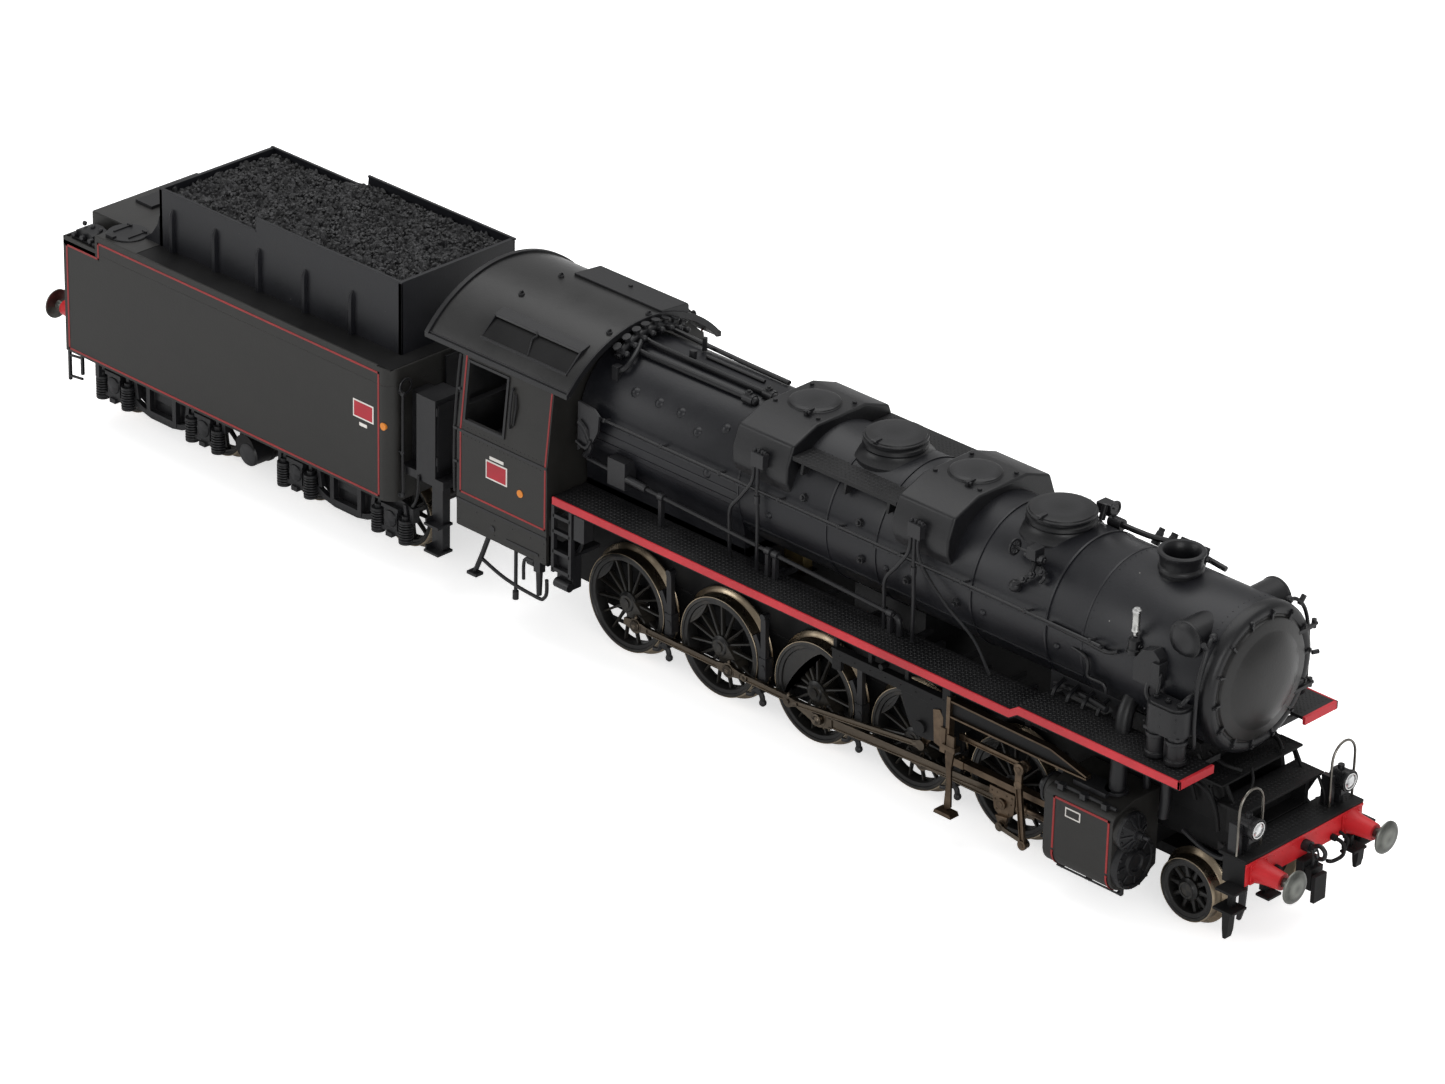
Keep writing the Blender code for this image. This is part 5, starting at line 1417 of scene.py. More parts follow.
def cab_details():
    """Beading, rails, lining, plates and inside fittings."""
    details = Shape()
    for side in SIDES.values():
        details.box((-68.3, -48.9), on_side(side, (17.2, 17.42)), (29.3, 29.75))
        for i in range(22):
            x = -67.9 + i * 0.88
            details.rivet((x, side * CAB_SIDE, 28.9), (0, side, 0), 0.11)
            details.rivet((x, side_point(30.3, side), 30.3), (0, side, 0.1), 0.11)
        for x in (-66.9, -58.4):
            a = Vector((x, side_point(WINDOW_LOW, side, 0.1), WINDOW_LOW))
            b = Vector((x, side_point(WINDOW_HIGH, side, 0.1), WINDOW_HIGH))
            corners = ((-0.22, -0.12), (0.22, -0.12), (0.22, 0.12), (-0.22, 0.12))
            details.skin([[p + Vector((dx, dy, 0)) for dx, dy in corners] for p in (a, b)])
        for z in (WINDOW_LOW, WINDOW_HIGH):
            yy = side_point(z, side)
            details.box(
                (-67.1, -58.2), (yy - 0.12, yy + 0.2) if side > 0 else (yy - 0.2, yy + 0.12),
                (z - 0.22, z + 0.22),
            )
        x, z0, z1 = -69.0, 19.0, WINDOW_HIGH
        details.tube(
            [
                (x, side_point(z1, side, -0.3), z1), (x, side_point(z1, side, 0.1), z1 - 0.6),
                (x, side * 17.2, CAB_WAIST), (x, side * 17.2, z0 + 0.6), (x, side * 16.9, z0),
            ],
            0.24, steps=3,
        )
        for z in (24.0, CAB_WAIST, 36.0):
            details.box(
                (x - 0.1, -68.2), (side_point(z, side) - 0.2, side_point(z, side) + 0.2), (z - 0.2, z + 0.2),
            )
        details.tube(
            [
                (-57.2, side_point(39.6, side, 0.0), 39.6), (-57.2, side_point(39.2, side, 0.42), 39.2),
                (-57.2, side_point(34.0, side, 0.42), 34.0), (-57.2, side_point(33.6, side, 0), 33.6),
            ],
            0.24, steps=4,
        )
        details.tube(
            [
                (-56.6, side_point(39.0, side, 0.1), 39.0), (-56.2, side_point(37.0, side, 0.3), 37.0),
                (-56.6, side_point(34.0, side, 0.1), 34.0),
            ],
            0.18, steps=4,
        )
        details.box((-68.4, -48.9), on_side(side, (16.2, 17.1)), (13.2, 13.7))
        details.box((-68.4, -48.9), on_side(side, (17.2, 17.4)), (17.6, 18.0))
        for x in (-67.9, -64.0, -60.1, -56.2, -52.3, -49.4):
            details.rivet((x, side * CAB_SIDE, 16.8), (0, side, 0), 0.12)
            details.rivet((x, side * CAB_SIDE, 14.3), (0, side, 0), 0.12)
        details.crosswise((-60.5, 15.3), (17.1, 17.45), side, 0.5, n=12)
        details.box((-57.5, -50.5), on_side(side, (17.1, 17.42)), (14.3, 14.7))
    details.done("cab_details", FITTING, ROOT, "body_black", bevel=0.04)

    lining = Shape()
    for side in SIDES.values():
        n = (0, side, 0)
        for x in (-67.6, -49.3):
            low, mid, high = [(x, side_point(z, side), z) for z in (19.2, CAB_WAIST, 41.9)]
            lining.ribbon([low, mid], n, 0.3)
            lining.ribbon([mid, high], (0, side, 0.112), 0.3)
        lining.ribbon([(-67.6, side * CAB_SIDE, 19.2), (-49.3, side * CAB_SIDE, 19.2)], n, 0.3)
    lining.done("cab_lining", LINE_RED, ROOT, "beam_red", bevel=0)

    plates = Shape()
    reds = Shape()
    dots = Shape()
    for side in SIDES.values():
        plates.box((-62.0, -57.4), on_side(side, (17.28, 17.38)), (23.5, 26.6))
        plates.box((-61.2, -58.2), on_side(side, (17.28, 17.38)), (26.9, 27.4))
        reds.box((-61.75, -57.65), on_side(side, (CAB_SIDE, 17.42)), (23.75, 26.35))
        dots.crosswise((-54.6, 23.4), (17.2, 17.4), side, 0.62, n=24)
    plates.done("cab_plate_borders", WHITE, ROOT, "body_black", bevel=0)
    reds.done("cab_plates", PLATE_RED, ROOT, "beam_red", bevel=0)
    dots.done("cab_dots", ORANGE, ROOT, "body_black", bevel=0)

    inside = Shape()
    inside.cyl((-50.1, 0, 33.0), (-51.8, 0, 33.0), 8.4, n=48)
    inside.box((-54.0, -50.0), (-7.5, 7.5), (22.0, 27.5))
    inside.turned([(0, -52.4), (2.6, -52.4), (2.8, -52.0), (2.8, -51.6), (0, -51.6)], (0, 0, 28.5), "X", 24)
    for y, z in ((-5, 37), (-1.6, 38.5), (2.0, 38.5), (5.2, 36.8), (0, 34.5)):
        inside.turned([(0, -52.5), (0.9, -52.5), (1.0, -52.2), (1.0, -51.7), (0, -51.7)], (0, y, z), "X", 16)
    inside.tube([(-51.8, -6, 31), (-54.0, -6.5, 31.5), (-54.5, -9.5, 31.0)], 0.3)
    inside.tube([(-51.9, 3.5, 33), (-53.5, 4.2, 35), (-51.8, 5.5, 37)], 0.28)
    inside.hoop(1.3, 1.7, 0.2, (-53.2, -10.5, 33.0), "X", 24)
    for side in SIDES.values():
        inside.box((-61.0, -57.2), on_side(side, (11.5, 15.0)), (26.2, 26.9))
        inside.box((-60.5, -57.8), on_side(side, (12.2, 14.4)), (22.0, 26.3))
    inside.done("cab_fittings", FITTING, ROOT, "body_black", bevel=0.06)


def cab_underside():
    """Stays, pipe loop, ladder frame and ash-pan pieces that hang below and ahead of the cab."""
    under = Shape()
    for side in SIDES.values():
        y = side * 16.4
        under.tube([(-62.0, y, 13.6), (-63.6, y, 9.6), (-65.2, y, 6.0)], 0.42, smooth=False)
        under.box((-66.3, -64.2), on_side(side, (15.6, 17.2)), (5.5, 6.0))
        under.tube(
            [
                (-64.2, y, 8.9), (-58.5, y, 7.2), (-51.6, y, 6.6), (-50.2, y, 7.0), (-49.6, y, 8.2),
                (-49.6, y, 10.4),
            ],
            0.3, steps=5,
        )
        under.tube([(-56.3, y, 13.4), (-56.3, y, 4.9)], 0.3, smooth=False)
        under.cyl((-56.3, y, 6.0), (-56.3, y, 4.6), 0.5, n=12)
        under.tube([(-52.2, y, 12.8), (-54.4, y, 12.0), (-54.6, y, 8.6)], 0.28)
        under.cyl((-53.4, y, 12.4), (-52.0, y, 12.4), 0.7, n=14)
        under.cyl((-51.2, y, 13.4), (-51.2, y, 7.2), 0.62, 0.42, n=14)
        under.box((-51.9, -50.5), on_side(side, (15.8, 17.0)), (11.2, 13.6))
        for x in (-47.9, -44.2):
            under.box((x - 0.3, x + 0.3), on_side(side, (16.2, 17.0)), (12.6, 24.0))
        for z in (13.2, 16.2, 19.6, 22.2):
            under.box((-47.9, -44.2), on_side(side, (16.2, 17.0)), (z - 0.3, z + 0.3))
        under.box((-48.9, -44.6), on_side(side, (10.0, 16.0)), (15.6, 16.2))
        under.box((-47.8, -44.4), on_side(side, (14.2, 16.0)), (10.4, 16.0))
        under.cyl((-47.4, side * 16.5, 11.0), (-44.4, side * 16.5, 11.0), 0.8, n=16)
        under.tube(
            [
                (-42.6, side * 16.0, 24.2), (-42.6, side * 15.8, 20.0), (-44.6, side * 14.6, 16.5),
                (-47.6, side * 13.6, 13.5),
            ],
            0.35,
        )
        under.box((-43.6, -41.4), on_side(side, (14.8, 16.8)), (19.5, 23.6))
        under.box((-60.5, -50.0), on_side(side, (10.0, 15.8)), (12.2, 13.4))
    under.done("cab_underside_pipes", FITTING, ROOT, "frame_black", bevel=0.04)


def turret():
    """Steam fittings ahead of the cab roof and the two long pipes over the firebox."""
    fit = Shape()
    fit.tube(
        boiler_path((-44.8, -34, 1.0), (-44.8, -18, 1.3), (-44.8, 0, 1.4), (-44.8, 18, 1.3), (-44.8, 34, 1.0)),
        0.7, n=12,
    )
    for a in (-30, -21, -12, -4, 5, 14, 23, 31):
        p = boiler_point(-44.8, a, 1.2)
        out = from_axis(p).normalized()
        fit.cyl(p, p + out * 1.3, 0.45, n=10)
        fit.cyl(p + out * 1.2, p + out * 1.5, 0.75, n=8)
        fit.cyl(p + out * 0.3 + Vector((0.3, 0, 0)), p + out * 0.3 + Vector((1.6, 0, 0)), 0.42, n=10)
        fit.ball(p + Vector((1.5, 0, 0)) + out * 0.3, 0.5, 10)
    fit.tube(boiler_path((-43.4, -43, 0.6), (-42.2, -38, 1.0), (-42.4, -26, 1.1), (-43.6, -14, 1.2)), 0.42)
    elbow = boiler_point(-43.6, -44, 0.2)
    fit.box((elbow.x - 0.6, elbow.x + 0.6), (elbow.y - 0.7, elbow.y + 0.5), (elbow.z - 1.0, elbow.z + 1.4))
    for a0, a1, x1 in ((-21, -20, -20.5), (-9, -8.5, -18.6)):
        fit.tube(boiler_path((-43.5, a0, 0.9), (-40, a0, 0.55), (x1, a1, 0.5)), 0.42, n=10, steps=3)
        tip = boiler_point(x1, a1, 0.5)
        fit.cyl(tip - Vector((0.6, 0, 0)), tip + Vector((1.4, 0, 0)), 0.85, n=12)
        fit.hexnut(tip + Vector((0.2, 0, 0.6)), (0, 0, 1), 0.6, 0.5)
        fit.ball(tip + Vector((1.4, 0, 0)), 0.7, 10)
    fit.tube(boiler_path((-43.5, 20, 1.0), (-30, 22, 0.6), (-20, 22, 0.5)), 0.4)
    fit.cyl(boiler_point(-36.0, 14, 0.3), boiler_point(-36.0, 12, 2.4), 0.4, n=10)
    fit.cyl(boiler_point(-35.4, -2, 0.0), boiler_point(-35.4, -1, 1.2), 0.6, n=12)
    fit.tube(boiler_path((-34, 6, 0.3), (-22, 6, 0.3)), 0.3)
    fit.done("turret_fittings", FITTING, ROOT, "body_black", bevel=0.04)


def boiler_pipes():
    """Handrails, pipe runs beside the boiler and sand pipes."""
    pipes = Shape()
    for side in SIDES.values():
        rail = [
            (-45.6, side * 12.3, 38.6), (-30, side * 12.35, 38.5), (0, side * 12.35, 38.5),
            (30, side * 12.35, 38.5), (54, side * 12.35, 38.4), (55.2, side * 12.0, 38.0),
            (55.6, side * 11.2, 37.6),
        ]
        pipes.tube(rail, 0.22, n=8, steps=4)
        for x in range(-42, 56, 12):
            pipes.cyl((x, side * 10.9, 38.2), (x, side * 12.3, 38.5), 0.2, n=8)
            pipes.ball((x, side * 12.35, 38.5), 0.38, 10)
        pipes.tube(
            [(-45.6, side * 12.0, 30.9), (-34.5, side * 12.0, 30.2), (17.2, side * 12.0, 28.2)], 0.34, n=10,
            smooth=False,
        )
        pipes.cyl((-37.5, side * 12.0, 30.4), (-33.2, side * 12.0, 30.15), 0.62, n=14)
        for x, z in ((-30, 30.0), (-8, 29.2), (-6.5, 29.15), (16.4, 28.25)):
            pipes.cyl((x - 0.5, side * 12.0, z), (x + 0.5, side * 12.0, z), 0.62, n=12)
            pipes.box((x - 0.3, x + 0.3), on_side(side, (11.6, 12.4)), (25.3, z))
        pipes.tube([(17.4, side * 12.0, 28.2), (18.1, side * 12.0, 27.6), (18.2, side * 12.0, 25.4)], 0.5, n=10)
        pipes.box((-40.8, -37.2), on_side(side, (10.2, 12.6)), (28.6, 33.0))
        pipes.tube(
            [
                (-45.9, side * 13.6, 37.5), (-44.6, side * 13.5, 36.4), (-44.2, side * 12.8, 33.6),
                (-45.6, side * 12.6, 31.5),
            ],
            0.45,
        )
        shield = [
            (-46.4, 32.4), (-45.2, 33.6), (-43.2, 34.8), (-42.2, 36.8), (-42.0, 39.4), (-43.0, 40.2),
            (-46.4, 40.6),
        ]
        pipes.prism(shield, "XZ", on_side(side, (13.0, 13.4)))
        pipes.tube([(-46.4, side * 13.6, 34.0), (-44.4, side * 13.7, 33.6), (-43.6, side * 13.4, 35.0)], 0.3)
    pipes.done("boiler_rails", FITTING, ROOT, "body_black", bevel=0)

    sand = Shape()
    for side in SIDES.values():
        for x, tails in ((20.6, 1), (-10.4, 0)):
            sand.box((x - 1.1, x + 1.3), on_side(side, (11.3, 12.6)), (42.2, 44.4))
            for dx in (-0.8, -0.1, 0.6, 1.1):
                sand.cyl((x + dx, side * 12.0, 44.2), (x + dx, side * 12.0, 44.9), 0.24, n=8)
            sand.tube(
                [
                    (x - 0.7, side * 12.2, 42.4), (x - 0.9, side * 12.4, 39.6), (x - 2.9, side * 12.4, 36.6),
                    (x - 5.2, side * 12.3, 33.6), (x - 5.6, side * 12.0, 30.0), (x - 5.6, side * 11.8, 25.3),
                ],
                0.3,
            )
            sand.tube(
                [
                    (x + 0.1, side * 12.3, 42.4), (x + 0.2, side * 12.4, 38.0), (x + 0.4, side * 12.4, 33.0),
                    (x + 0.2, side * 12.1, 25.3),
                ],
                0.3,
            )
            sand.cyl((x + 0.2, side * 12.4, 37.6), (x + 0.2, side * 12.4, 36.4), 0.45, n=10)
            if tails:
                sand.tube(
                    [
                        (x + 0.8, side * 12.3, 42.4), (x + 1.0, side * 12.4, 39.8),
                        (x + 2.6, side * 12.3, 37.2), (x + 6.6, side * 12.1, 33.5),
                        (x + 11.6, side * 11.7, 29.9), (x + 14.6, side * 11.5, 25.3),
                    ],
                    0.24,
                )
    sand.done("sand_pipes", FITTING, ROOT, "body_black", bevel=0)


def smokebox_fittings():
    """Feed heater, pumps, whistle, valves and the pipes round the smokebox."""
    drum = Shape()
    half = [(0, 10.45), (1.5, 10.4), (2.2, 10.2), (2.5, 9.95), (2.8, 9.9), (2.85, 9.6), (2.72, 9.45)]
    drum.turned(half + [(r, -h) for r, h in reversed(half)], (HEATER_X, 0, HEATER_Z), "Y", 72)
    for side in SIDES.values():
        for a in turns(10):
            drum.rivet(
                (HEATER_X + 2.5 * math.cos(a), side * 9.98, HEATER_Z + 2.5 * math.sin(a)), (0, side, 0), 0.14,
            )
    drum.prism([(66.0, 43.4), (66.1, 40.6), (71.9, 40.6), (72.0, 43.4)], "XZ", (-9.3, 9.3))
    drum.done("feed_heater", FITTING, ROOT, "body_black", bevel=0.06)

    pump = Shape()
    plan = [(66.4, -11.6)] + arc(
        (68.1, -13.5), 1.7, 180, 270, 8,
    ) + arc((71.4, -13.5), 1.7, 270, 360, 8) + [(73.1, -11.6)]
    pump.prism(plan, "XY", (31.0, 34.9))
    pump.prism([(69.75 + (x - 69.75) * 0.9, -13.4 + (y + 13.4) * 0.86) for x, y in plan], "XY", (34.8, 35.3))
    pump.box((66.6, 72.9), (-14.9, -11.5), (30.6, 31.1))
    for x in (67.6, 69.7, 71.8):
        pump.hexnut((x, -13.5, 35.4), (0, 0, 1), 0.5, 0.4)
    for x in (68.0, 71.6):
        pump.turned(
            [
                (0, 31.4), (1.3, 31.4), (1.3, 30.4), (1.62, 30.3), (1.62, 29.8), (1.4, 29.7), (1.4, 27.4),
                (1.62, 27.3), (1.62, 26.7), (1.2, 26.5), (0, 26.5),
            ],
            (x, -13.6, 0), "Z", 32,
        )
    pump.cyl((69.8, -13.6, 31.4), (69.8, -13.6, 26.6), 0.35, n=10)
    for x in (66.9, 69.7, 72.5):
        for z in (32.0, 33.9):
            pump.rivet((x, -15.2, z), (0, -1, 0), 0.16)
    pump.tube([(66.6, -13.0, 33.4), (65.0, -12.6, 34.6), (64.6, -11.6, 36.2), (64.8, -10.6, 38.0)], 0.4)
    pump.tube([(67.6, -13.5, 35.4), (67.4, -12.8, 37.4), (66.6, -11.8, 38.2), (64.4, -11.4, 38.4)], 0.3)
    pump.tube([(71.8, -13.5, 35.4), (72.4, -12.8, 36.6), (72.6, -11.6, 37.0)], 0.34)
    pump.box((65.6, 67.0), (-12.6, -10.8), (36.6, 39.6))
    pump.prism(
        [(62.0, 35.4), (66.6, 35.4), (66.6, 40.2), (65.4, 41.2), (63.4, 40.6), (62.0, 38.6)], "XZ",
        (-12.2, -10.4),
    )
    pump.done("air_pump_detail", FITTING, ROOT, "body_black", bevel=0.06, nodes=("air_pump",))

    left_pump = Shape()
    for z0, z1, r in ((26.6, 30.6, 1.7), (31.4, 36.0, 1.9)):
        left_pump.turned(
            [
                (0, z1), (r * 0.8, z1), (r, z1 - 0.3), (r, z1 - 0.7), (r * 0.9, z1 - 0.8), (r * 0.9, z0 + 0.8),
                (r, z0 + 0.7), (r, z0), (0, z0),
            ],
            (66.5, 13.4, 0), "Z", 32,
        )
    left_pump.cyl((66.5, 13.4, 30.0), (66.5, 13.4, 31.8), 0.7, n=16)
    left_pump.box((65.0, 68.0), (11.0, 12.4), (28.0, 35.0))
    left_pump.tube([(66.5, 13.4, 36.0), (66.5, 12.6, 38.6), (67.0, 11.0, 39.6)], 0.35)
    left_pump.done("feed_pump", FITTING, ROOT, "body_black", bevel=0.05)

    pipes = Shape()
    for side in SIDES.values():
        loop = [
            (72.6, side * 8.2, 44.6), (73.0, side * 9.4, 44.4), (73.4, side * 10.8, 42.6),
            (73.4, side * 11.9, 39.0), (73.4, side * 12.2, 33.0), (73.4, side * 12.0, 29.4),
            (72.6, side * 11.6, 28.5), (70.8, side * 11.0, 28.4),
        ]
        pipes.tube(loop, 0.3, n=10)
        pipes.ball((72.6, side * 8.2, 44.6), 0.62, 12)
        pipes.cyl((73.1, side * 9.9, 43.4), (73.1, side * 10.9, 44.6), 0.42, n=10)
        pipes.tube(
            [
                (59.5, side * 8.6, 31.0), (59.8, side * 10.6, 28.4), (60.2, side * 11.6, 24.0),
                (60.4, side * 12.2, 17.2),
            ],
            1.25, n=20,
        )
        pipes.turned([(0, 0.5), (1.75, 0.5), (1.75, 0), (0, 0)], (60.4, side * 12.3, 17.0), "Z", 28)
        pipes.tube(
            [
                (66.0, side * 8.0, 25.4), (66.4, side * 8.8, 23.0), (67.0, side * 9.4, 18.0),
                (66.8, side * 9.6, 14.4),
            ],
            0.8, n=14,
        )
        pipes.tube([(62.4, side * 7.6, 24.0), (62.6, side * 8.4, 20.0), (62.6, side * 8.4, 16.6)], 0.6, n=12)
        line = [
            (49.8, side * 10.9, 35.3), (52.6, side * 11.5, 35.2), (53.4, side * 11.6, 34.0),
            (53.4, side * 11.4, 32.2), (56.2, side * 11.4, 32.1), (56.6, side * 11.2, 30.6),
        ]
        pipes.tube(line, 0.3, n=8, steps=3)
        pipes.tube(
            [
                (45.6, side * 11.3, 37.6), (52.0, side * 11.4, 37.5), (56.4, side * 11.5, 37.3),
                (58.6, side * 11.5, 38.2),
            ],
            0.34, n=8,
        )
        pipes.tube([(44.6, side * 8.0, 26.6), (52.6, side * 9.6, 27.4), (56.2, side * 10.4, 27.6)], 0.5, n=10)
        for x in (46.5, 49.2, 52.0, 54.8):
            pipes.tube(
                [(x, side * 8.4, 28.0), (x + 0.2, side * 10.4, 27.4), (x + 0.2, side * 11.0, 26.4)], 0.32, n=8,
            )
        pipes.box((44.0, 57.0), on_side(side, (7.4, 8.4)), (25.4, 28.6))
    pipes.done("smokebox_pipes", FITTING, ROOT, "body_black", bevel=0.04)

    valves = Shape()
    base = boiler_point(40.0, -44)
    out = from_axis(base).normalized()
    valves.cyl(base - out * 0.6, base + out * 1.8, 0.75, n=16)
    valves.cyl(base + out * 1.4 + Vector((-1.5, 0, 0)), base + out * 1.4 + Vector((1.6, 0, 0)), 0.5, n=12)
    valves.box((39.3, 40.9), (base.y - 1.7, base.y + 0.3), (base.z + 0.8, base.z + 2.5))
    valves.hexnut(base + out * 1.8 + Vector((1.6, 0, 0)), (1, 0, 0), 0.65, 0.6)
    wheel = base + out * 1.6 + Vector((-3.4, 0, 0.2))
    valves.hoop(0.95, 1.3, 0.13, wheel, "X", 28)
    for k in range(4):
        a = k * math.pi / 4
        d = Vector((0, math.cos(a), math.sin(a)))
        valves.cyl(wheel - d * 1.1, wheel + d * 1.1, 0.13, n=6)
    valves.cyl(wheel, wheel + Vector((3.2, 0, 0.2)), 0.2, n=8)
    valves.ball(boiler_point(38.4, -67, 0.3), 0.95, 16)
    stem = boiler_path((40.4, -47, 1.0), (40.6, -54, 0.9), (39.6, -61, 0.7), (38.6, -66, 0.9))
    valves.tube(stem, 0.38)
    valves.tube(boiler_path((41.6, -48, 0.8), (42.8, -53, 0.7), (42.4, -58, 0.5)), 0.28)
    for a, x in ((-55, 40.8), (-60, 39.8), (-51, 42.2)):
        spot = boiler_point(x, a, 0.6)
        valves.hexnut(spot, from_axis(spot).normalized(), 0.6, 0.5)
    for a, x, r in ((34, 52.0, 0.8), (30, 54.6, 1.0), (36, 56.2, 0.8), (30, 58.6, 0.7), (38, 49.0, 0.7)):
        p = boiler_point(x, a)
        o = from_axis(p).normalized()
        valves.cyl(p, p + o * 2.0, r, r * 0.8, n=16)
        valves.cyl(p + o * 1.9, p + o * 2.6, r * 0.7, n=8)
        valves.hexnut(p + o * 1.0 + Vector((r, 0, 0)), (1, 0, 0), 0.4, 0.5)
    valves.tube(boiler_path((41, 36, 0.7), (48, 35, 0.8), (54, 33, 1.4), (62, 36, 0.8)), 0.45)
    valves.cyl(boiler_point(40.6, 36, 0.7), boiler_point(43.0, 36, 0.7), 0.9, n=12)
    p = boiler_point(39.6, 33, 0.2)
    valves.cyl(p, p + Vector((0, 0.8, 2.2)), 0.5, n=12)
    ring_at = p + Vector((1.6, 1.0, 2.0))
    valves.hoop(0.9, 1.2, 0.12, ring_at, "X", 24)
    valves.cyl(ring_at - Vector((1.6, 0, 0)), ring_at, 0.22, n=8)
    valves.box((37.8, 40.4), (7.0, 9.0), (46.0, 47.6))
    valves.done("valve_fittings", FITTING, ROOT, "body_black", bevel=0.04)

    whistle = Shape()
    x, y = 60.8, -10.6
    whistle.turned(
        [
            (0, 45.6), (0.4, 45.55), (0.66, 45.3), (0.68, 45.0), (0.56, 44.9), (0.56, 42.4), (0.62, 42.3),
            (0.62, 42.0), (0.4, 41.8), (0.3, 41.2), (0, 41.2),
        ],
        (x, y, 0), "Z", 28,
    )
    whistle.done("whistle", SILVER, ROOT, "dark_steel", bevel=0)
    foot = Shape()
    foot.turned(
        [(0, 41.1), (0.6, 41.05), (0.95, 40.7), (0.95, 39.4), (1.15, 39.2), (1.15, 38.6), (0, 38.6)], (x, y, 0),
        "Z", 24,
    )
    foot.tube([(x, y, 39.2), (x - 1.6, y + 0.4, 39.0), (x - 2.6, y + 1.2, 39.8)], 0.35)
    foot.hexnut((x + 0.6, y, 39.9), (1, 0, 0), 0.4, 0.5)
    foot.done("whistle_foot", FITTING, ROOT, "body_black", bevel=0.03)


# ---------------------------------------------------------------- front end
def front_end():
    """Buffer beam, deck, steps, hook, hoses, buffer heads and lamps."""
    beam = Shape()
    beam.box((82.9, BEAM_X), (-12.8, 12.8), (11.8, 15.15))
    beam.box((84.4, BEAM_X + 0.15), (-12.8, 12.8), (14.9, 15.35))
    for side in SIDES.values():
        y = side * BUFFER_Y
        beam.box((BEAM_X, BEAM_X + 0.3), (y - 1.9, y + 1.9), (BUFFER_Z - 1.6, BUFFER_Z + 1.6))
        beam.turned(
            [(0, 4.6), (1.22, 4.6), (1.3, 4.4), (1.55, 1.5), (1.85, 0.3), (1.85, 0.1), (0, 0.1)],
            (BEAM_X, y, BUFFER_Z), "X", 40,
        )
        for dy in (-1.5, 1.5):
            for dz in (-1.2, 1.2):
                beam.hexnut((BEAM_X + 0.28, y + dy, BUFFER_Z + dz), (1, 0, 0), 0.24, 0.16)
    for y in (-6.6, -4.9, 4.9, 6.6, 2.6, -2.6):
        for z in (12.4, 14.4):
            beam.rivet((BEAM_X, y, z), (1, 0, 0), 0.15)
    beam.done("front_beam", RED, ROOT, "beam_red", bevel=0.07, nodes=("buffer_beam",))

    deck = Shape()
    deck.box((79.7, BEAM_X + 0.05), (-12.9, 12.9), (15.35, 15.85))
    for side in SIDES.values():
        deck.box((80.6, 84.5), on_side(side, (12.7, 12.95)), (11.4, 15.6))
        deck.box((80.6, 82.9), on_side(side, (10.4, 12.85)), (14.6, 15.4))
    for side in SIDES.values():
        deck.box((81.6, 85.0), on_side(side, (12.5, 15.6)), (11.3, 11.7))
        deck.box((82.9, 83.7), on_side(side, (13.3, 14.3)), (8.6, 11.5))
        deck.box((81.6, 85.1), on_side(side, (12.6, 15.9)), (8.4, 8.8))
        deck.prism(
            [(82.6, 8.5), (84.0, 8.5), (83.8, 5.2), (83.5, 3.9), (83.0, 3.9), (82.8, 5.2)], "XZ",
            on_side(side, (13.6, 15.0)),
        )
        deck.tube(
            [
                (84.7, side * 6.2, 12.4), (86.4, side * 6.4, 12.0), (86.8, side * 6.2, 10.4),
                (86.0, side * 5.0, 9.5), (85.8, side * 3.9, 9.9),
            ],
            0.3, n=10,
        )
        deck.cyl((84.6, side * 6.2, 12.4), (85.4, side * 6.2, 12.4), 0.5, n=12)
        deck.tube(
            [
                (84.7, side * 7.8, 12.6), (86.0, side * 7.9, 12.0), (86.0, side * 7.8, 10.6),
                (85.4, side * 7.4, 9.8),
            ],
            0.26, n=8,
        )
        deck.box((78.0, 84.4), on_side(side, (5.8, 6.5)), (12.2, 15.3))
        deck.box((84.6, 85.9), on_side(side, (9.0, 9.6)), (10.2, 11.9))
        deck.box((85.0, 87.4), on_side(side, (8.0, 10.8)), (9.9, 10.3))
    deck.box((84.6, 86.0), (-1.6, 1.6), (9.6, 11.9))
    deck.box((85.2, 87.2), (-1.3, 1.3), (7.6, 11.0))
    deck.box((86.4, 88.3), (-0.7, 0.7), (8.2, 9.8))
    deck.box((87.8, 88.5), (-2.0, 0.6), (6.4, 10.6))
    deck.done("front_deck", MATT, ROOT, "body_black", bevel=0.06)
    tread = Shape()
    treads(tread, 79.9, 84.3, -12.6, 12.6, lambda x: 15.85)
    tread.done("front_deck_treads", MATT, ROOT, "body_black", bevel=0)

    hook = Shape()
    hook.cyl((84.5, 0, 13.6), (85.8, 0, 13.6), 0.85, n=24)
    hook.box((85.6, 86.6), (-0.35, 0.35), (13.1, 14.1))
    hook.tube(
        [(86.2, 0, 13.9), (87.4, 0, 14.4), (88.3, 0, 13.8), (88.2, 0, 12.8), (87.3, 0, 12.4), (86.9, 0, 12.9)],
        0.34, n=10,
    )
    hook.tube(
        [
            (86.4, 0.5, 13.6), (86.8, 0.55, 12.6), (86.7, 0.5, 11.2), (86.5, 0.0, 10.4), (86.7, -0.5, 11.2),
            (86.8, -0.55, 12.6), (86.4, -0.5, 13.6),
        ],
        0.16, n=8,
    )
    hook.done("draw_hook", FITTING, ROOT, "dark_steel", bevel=0.03)

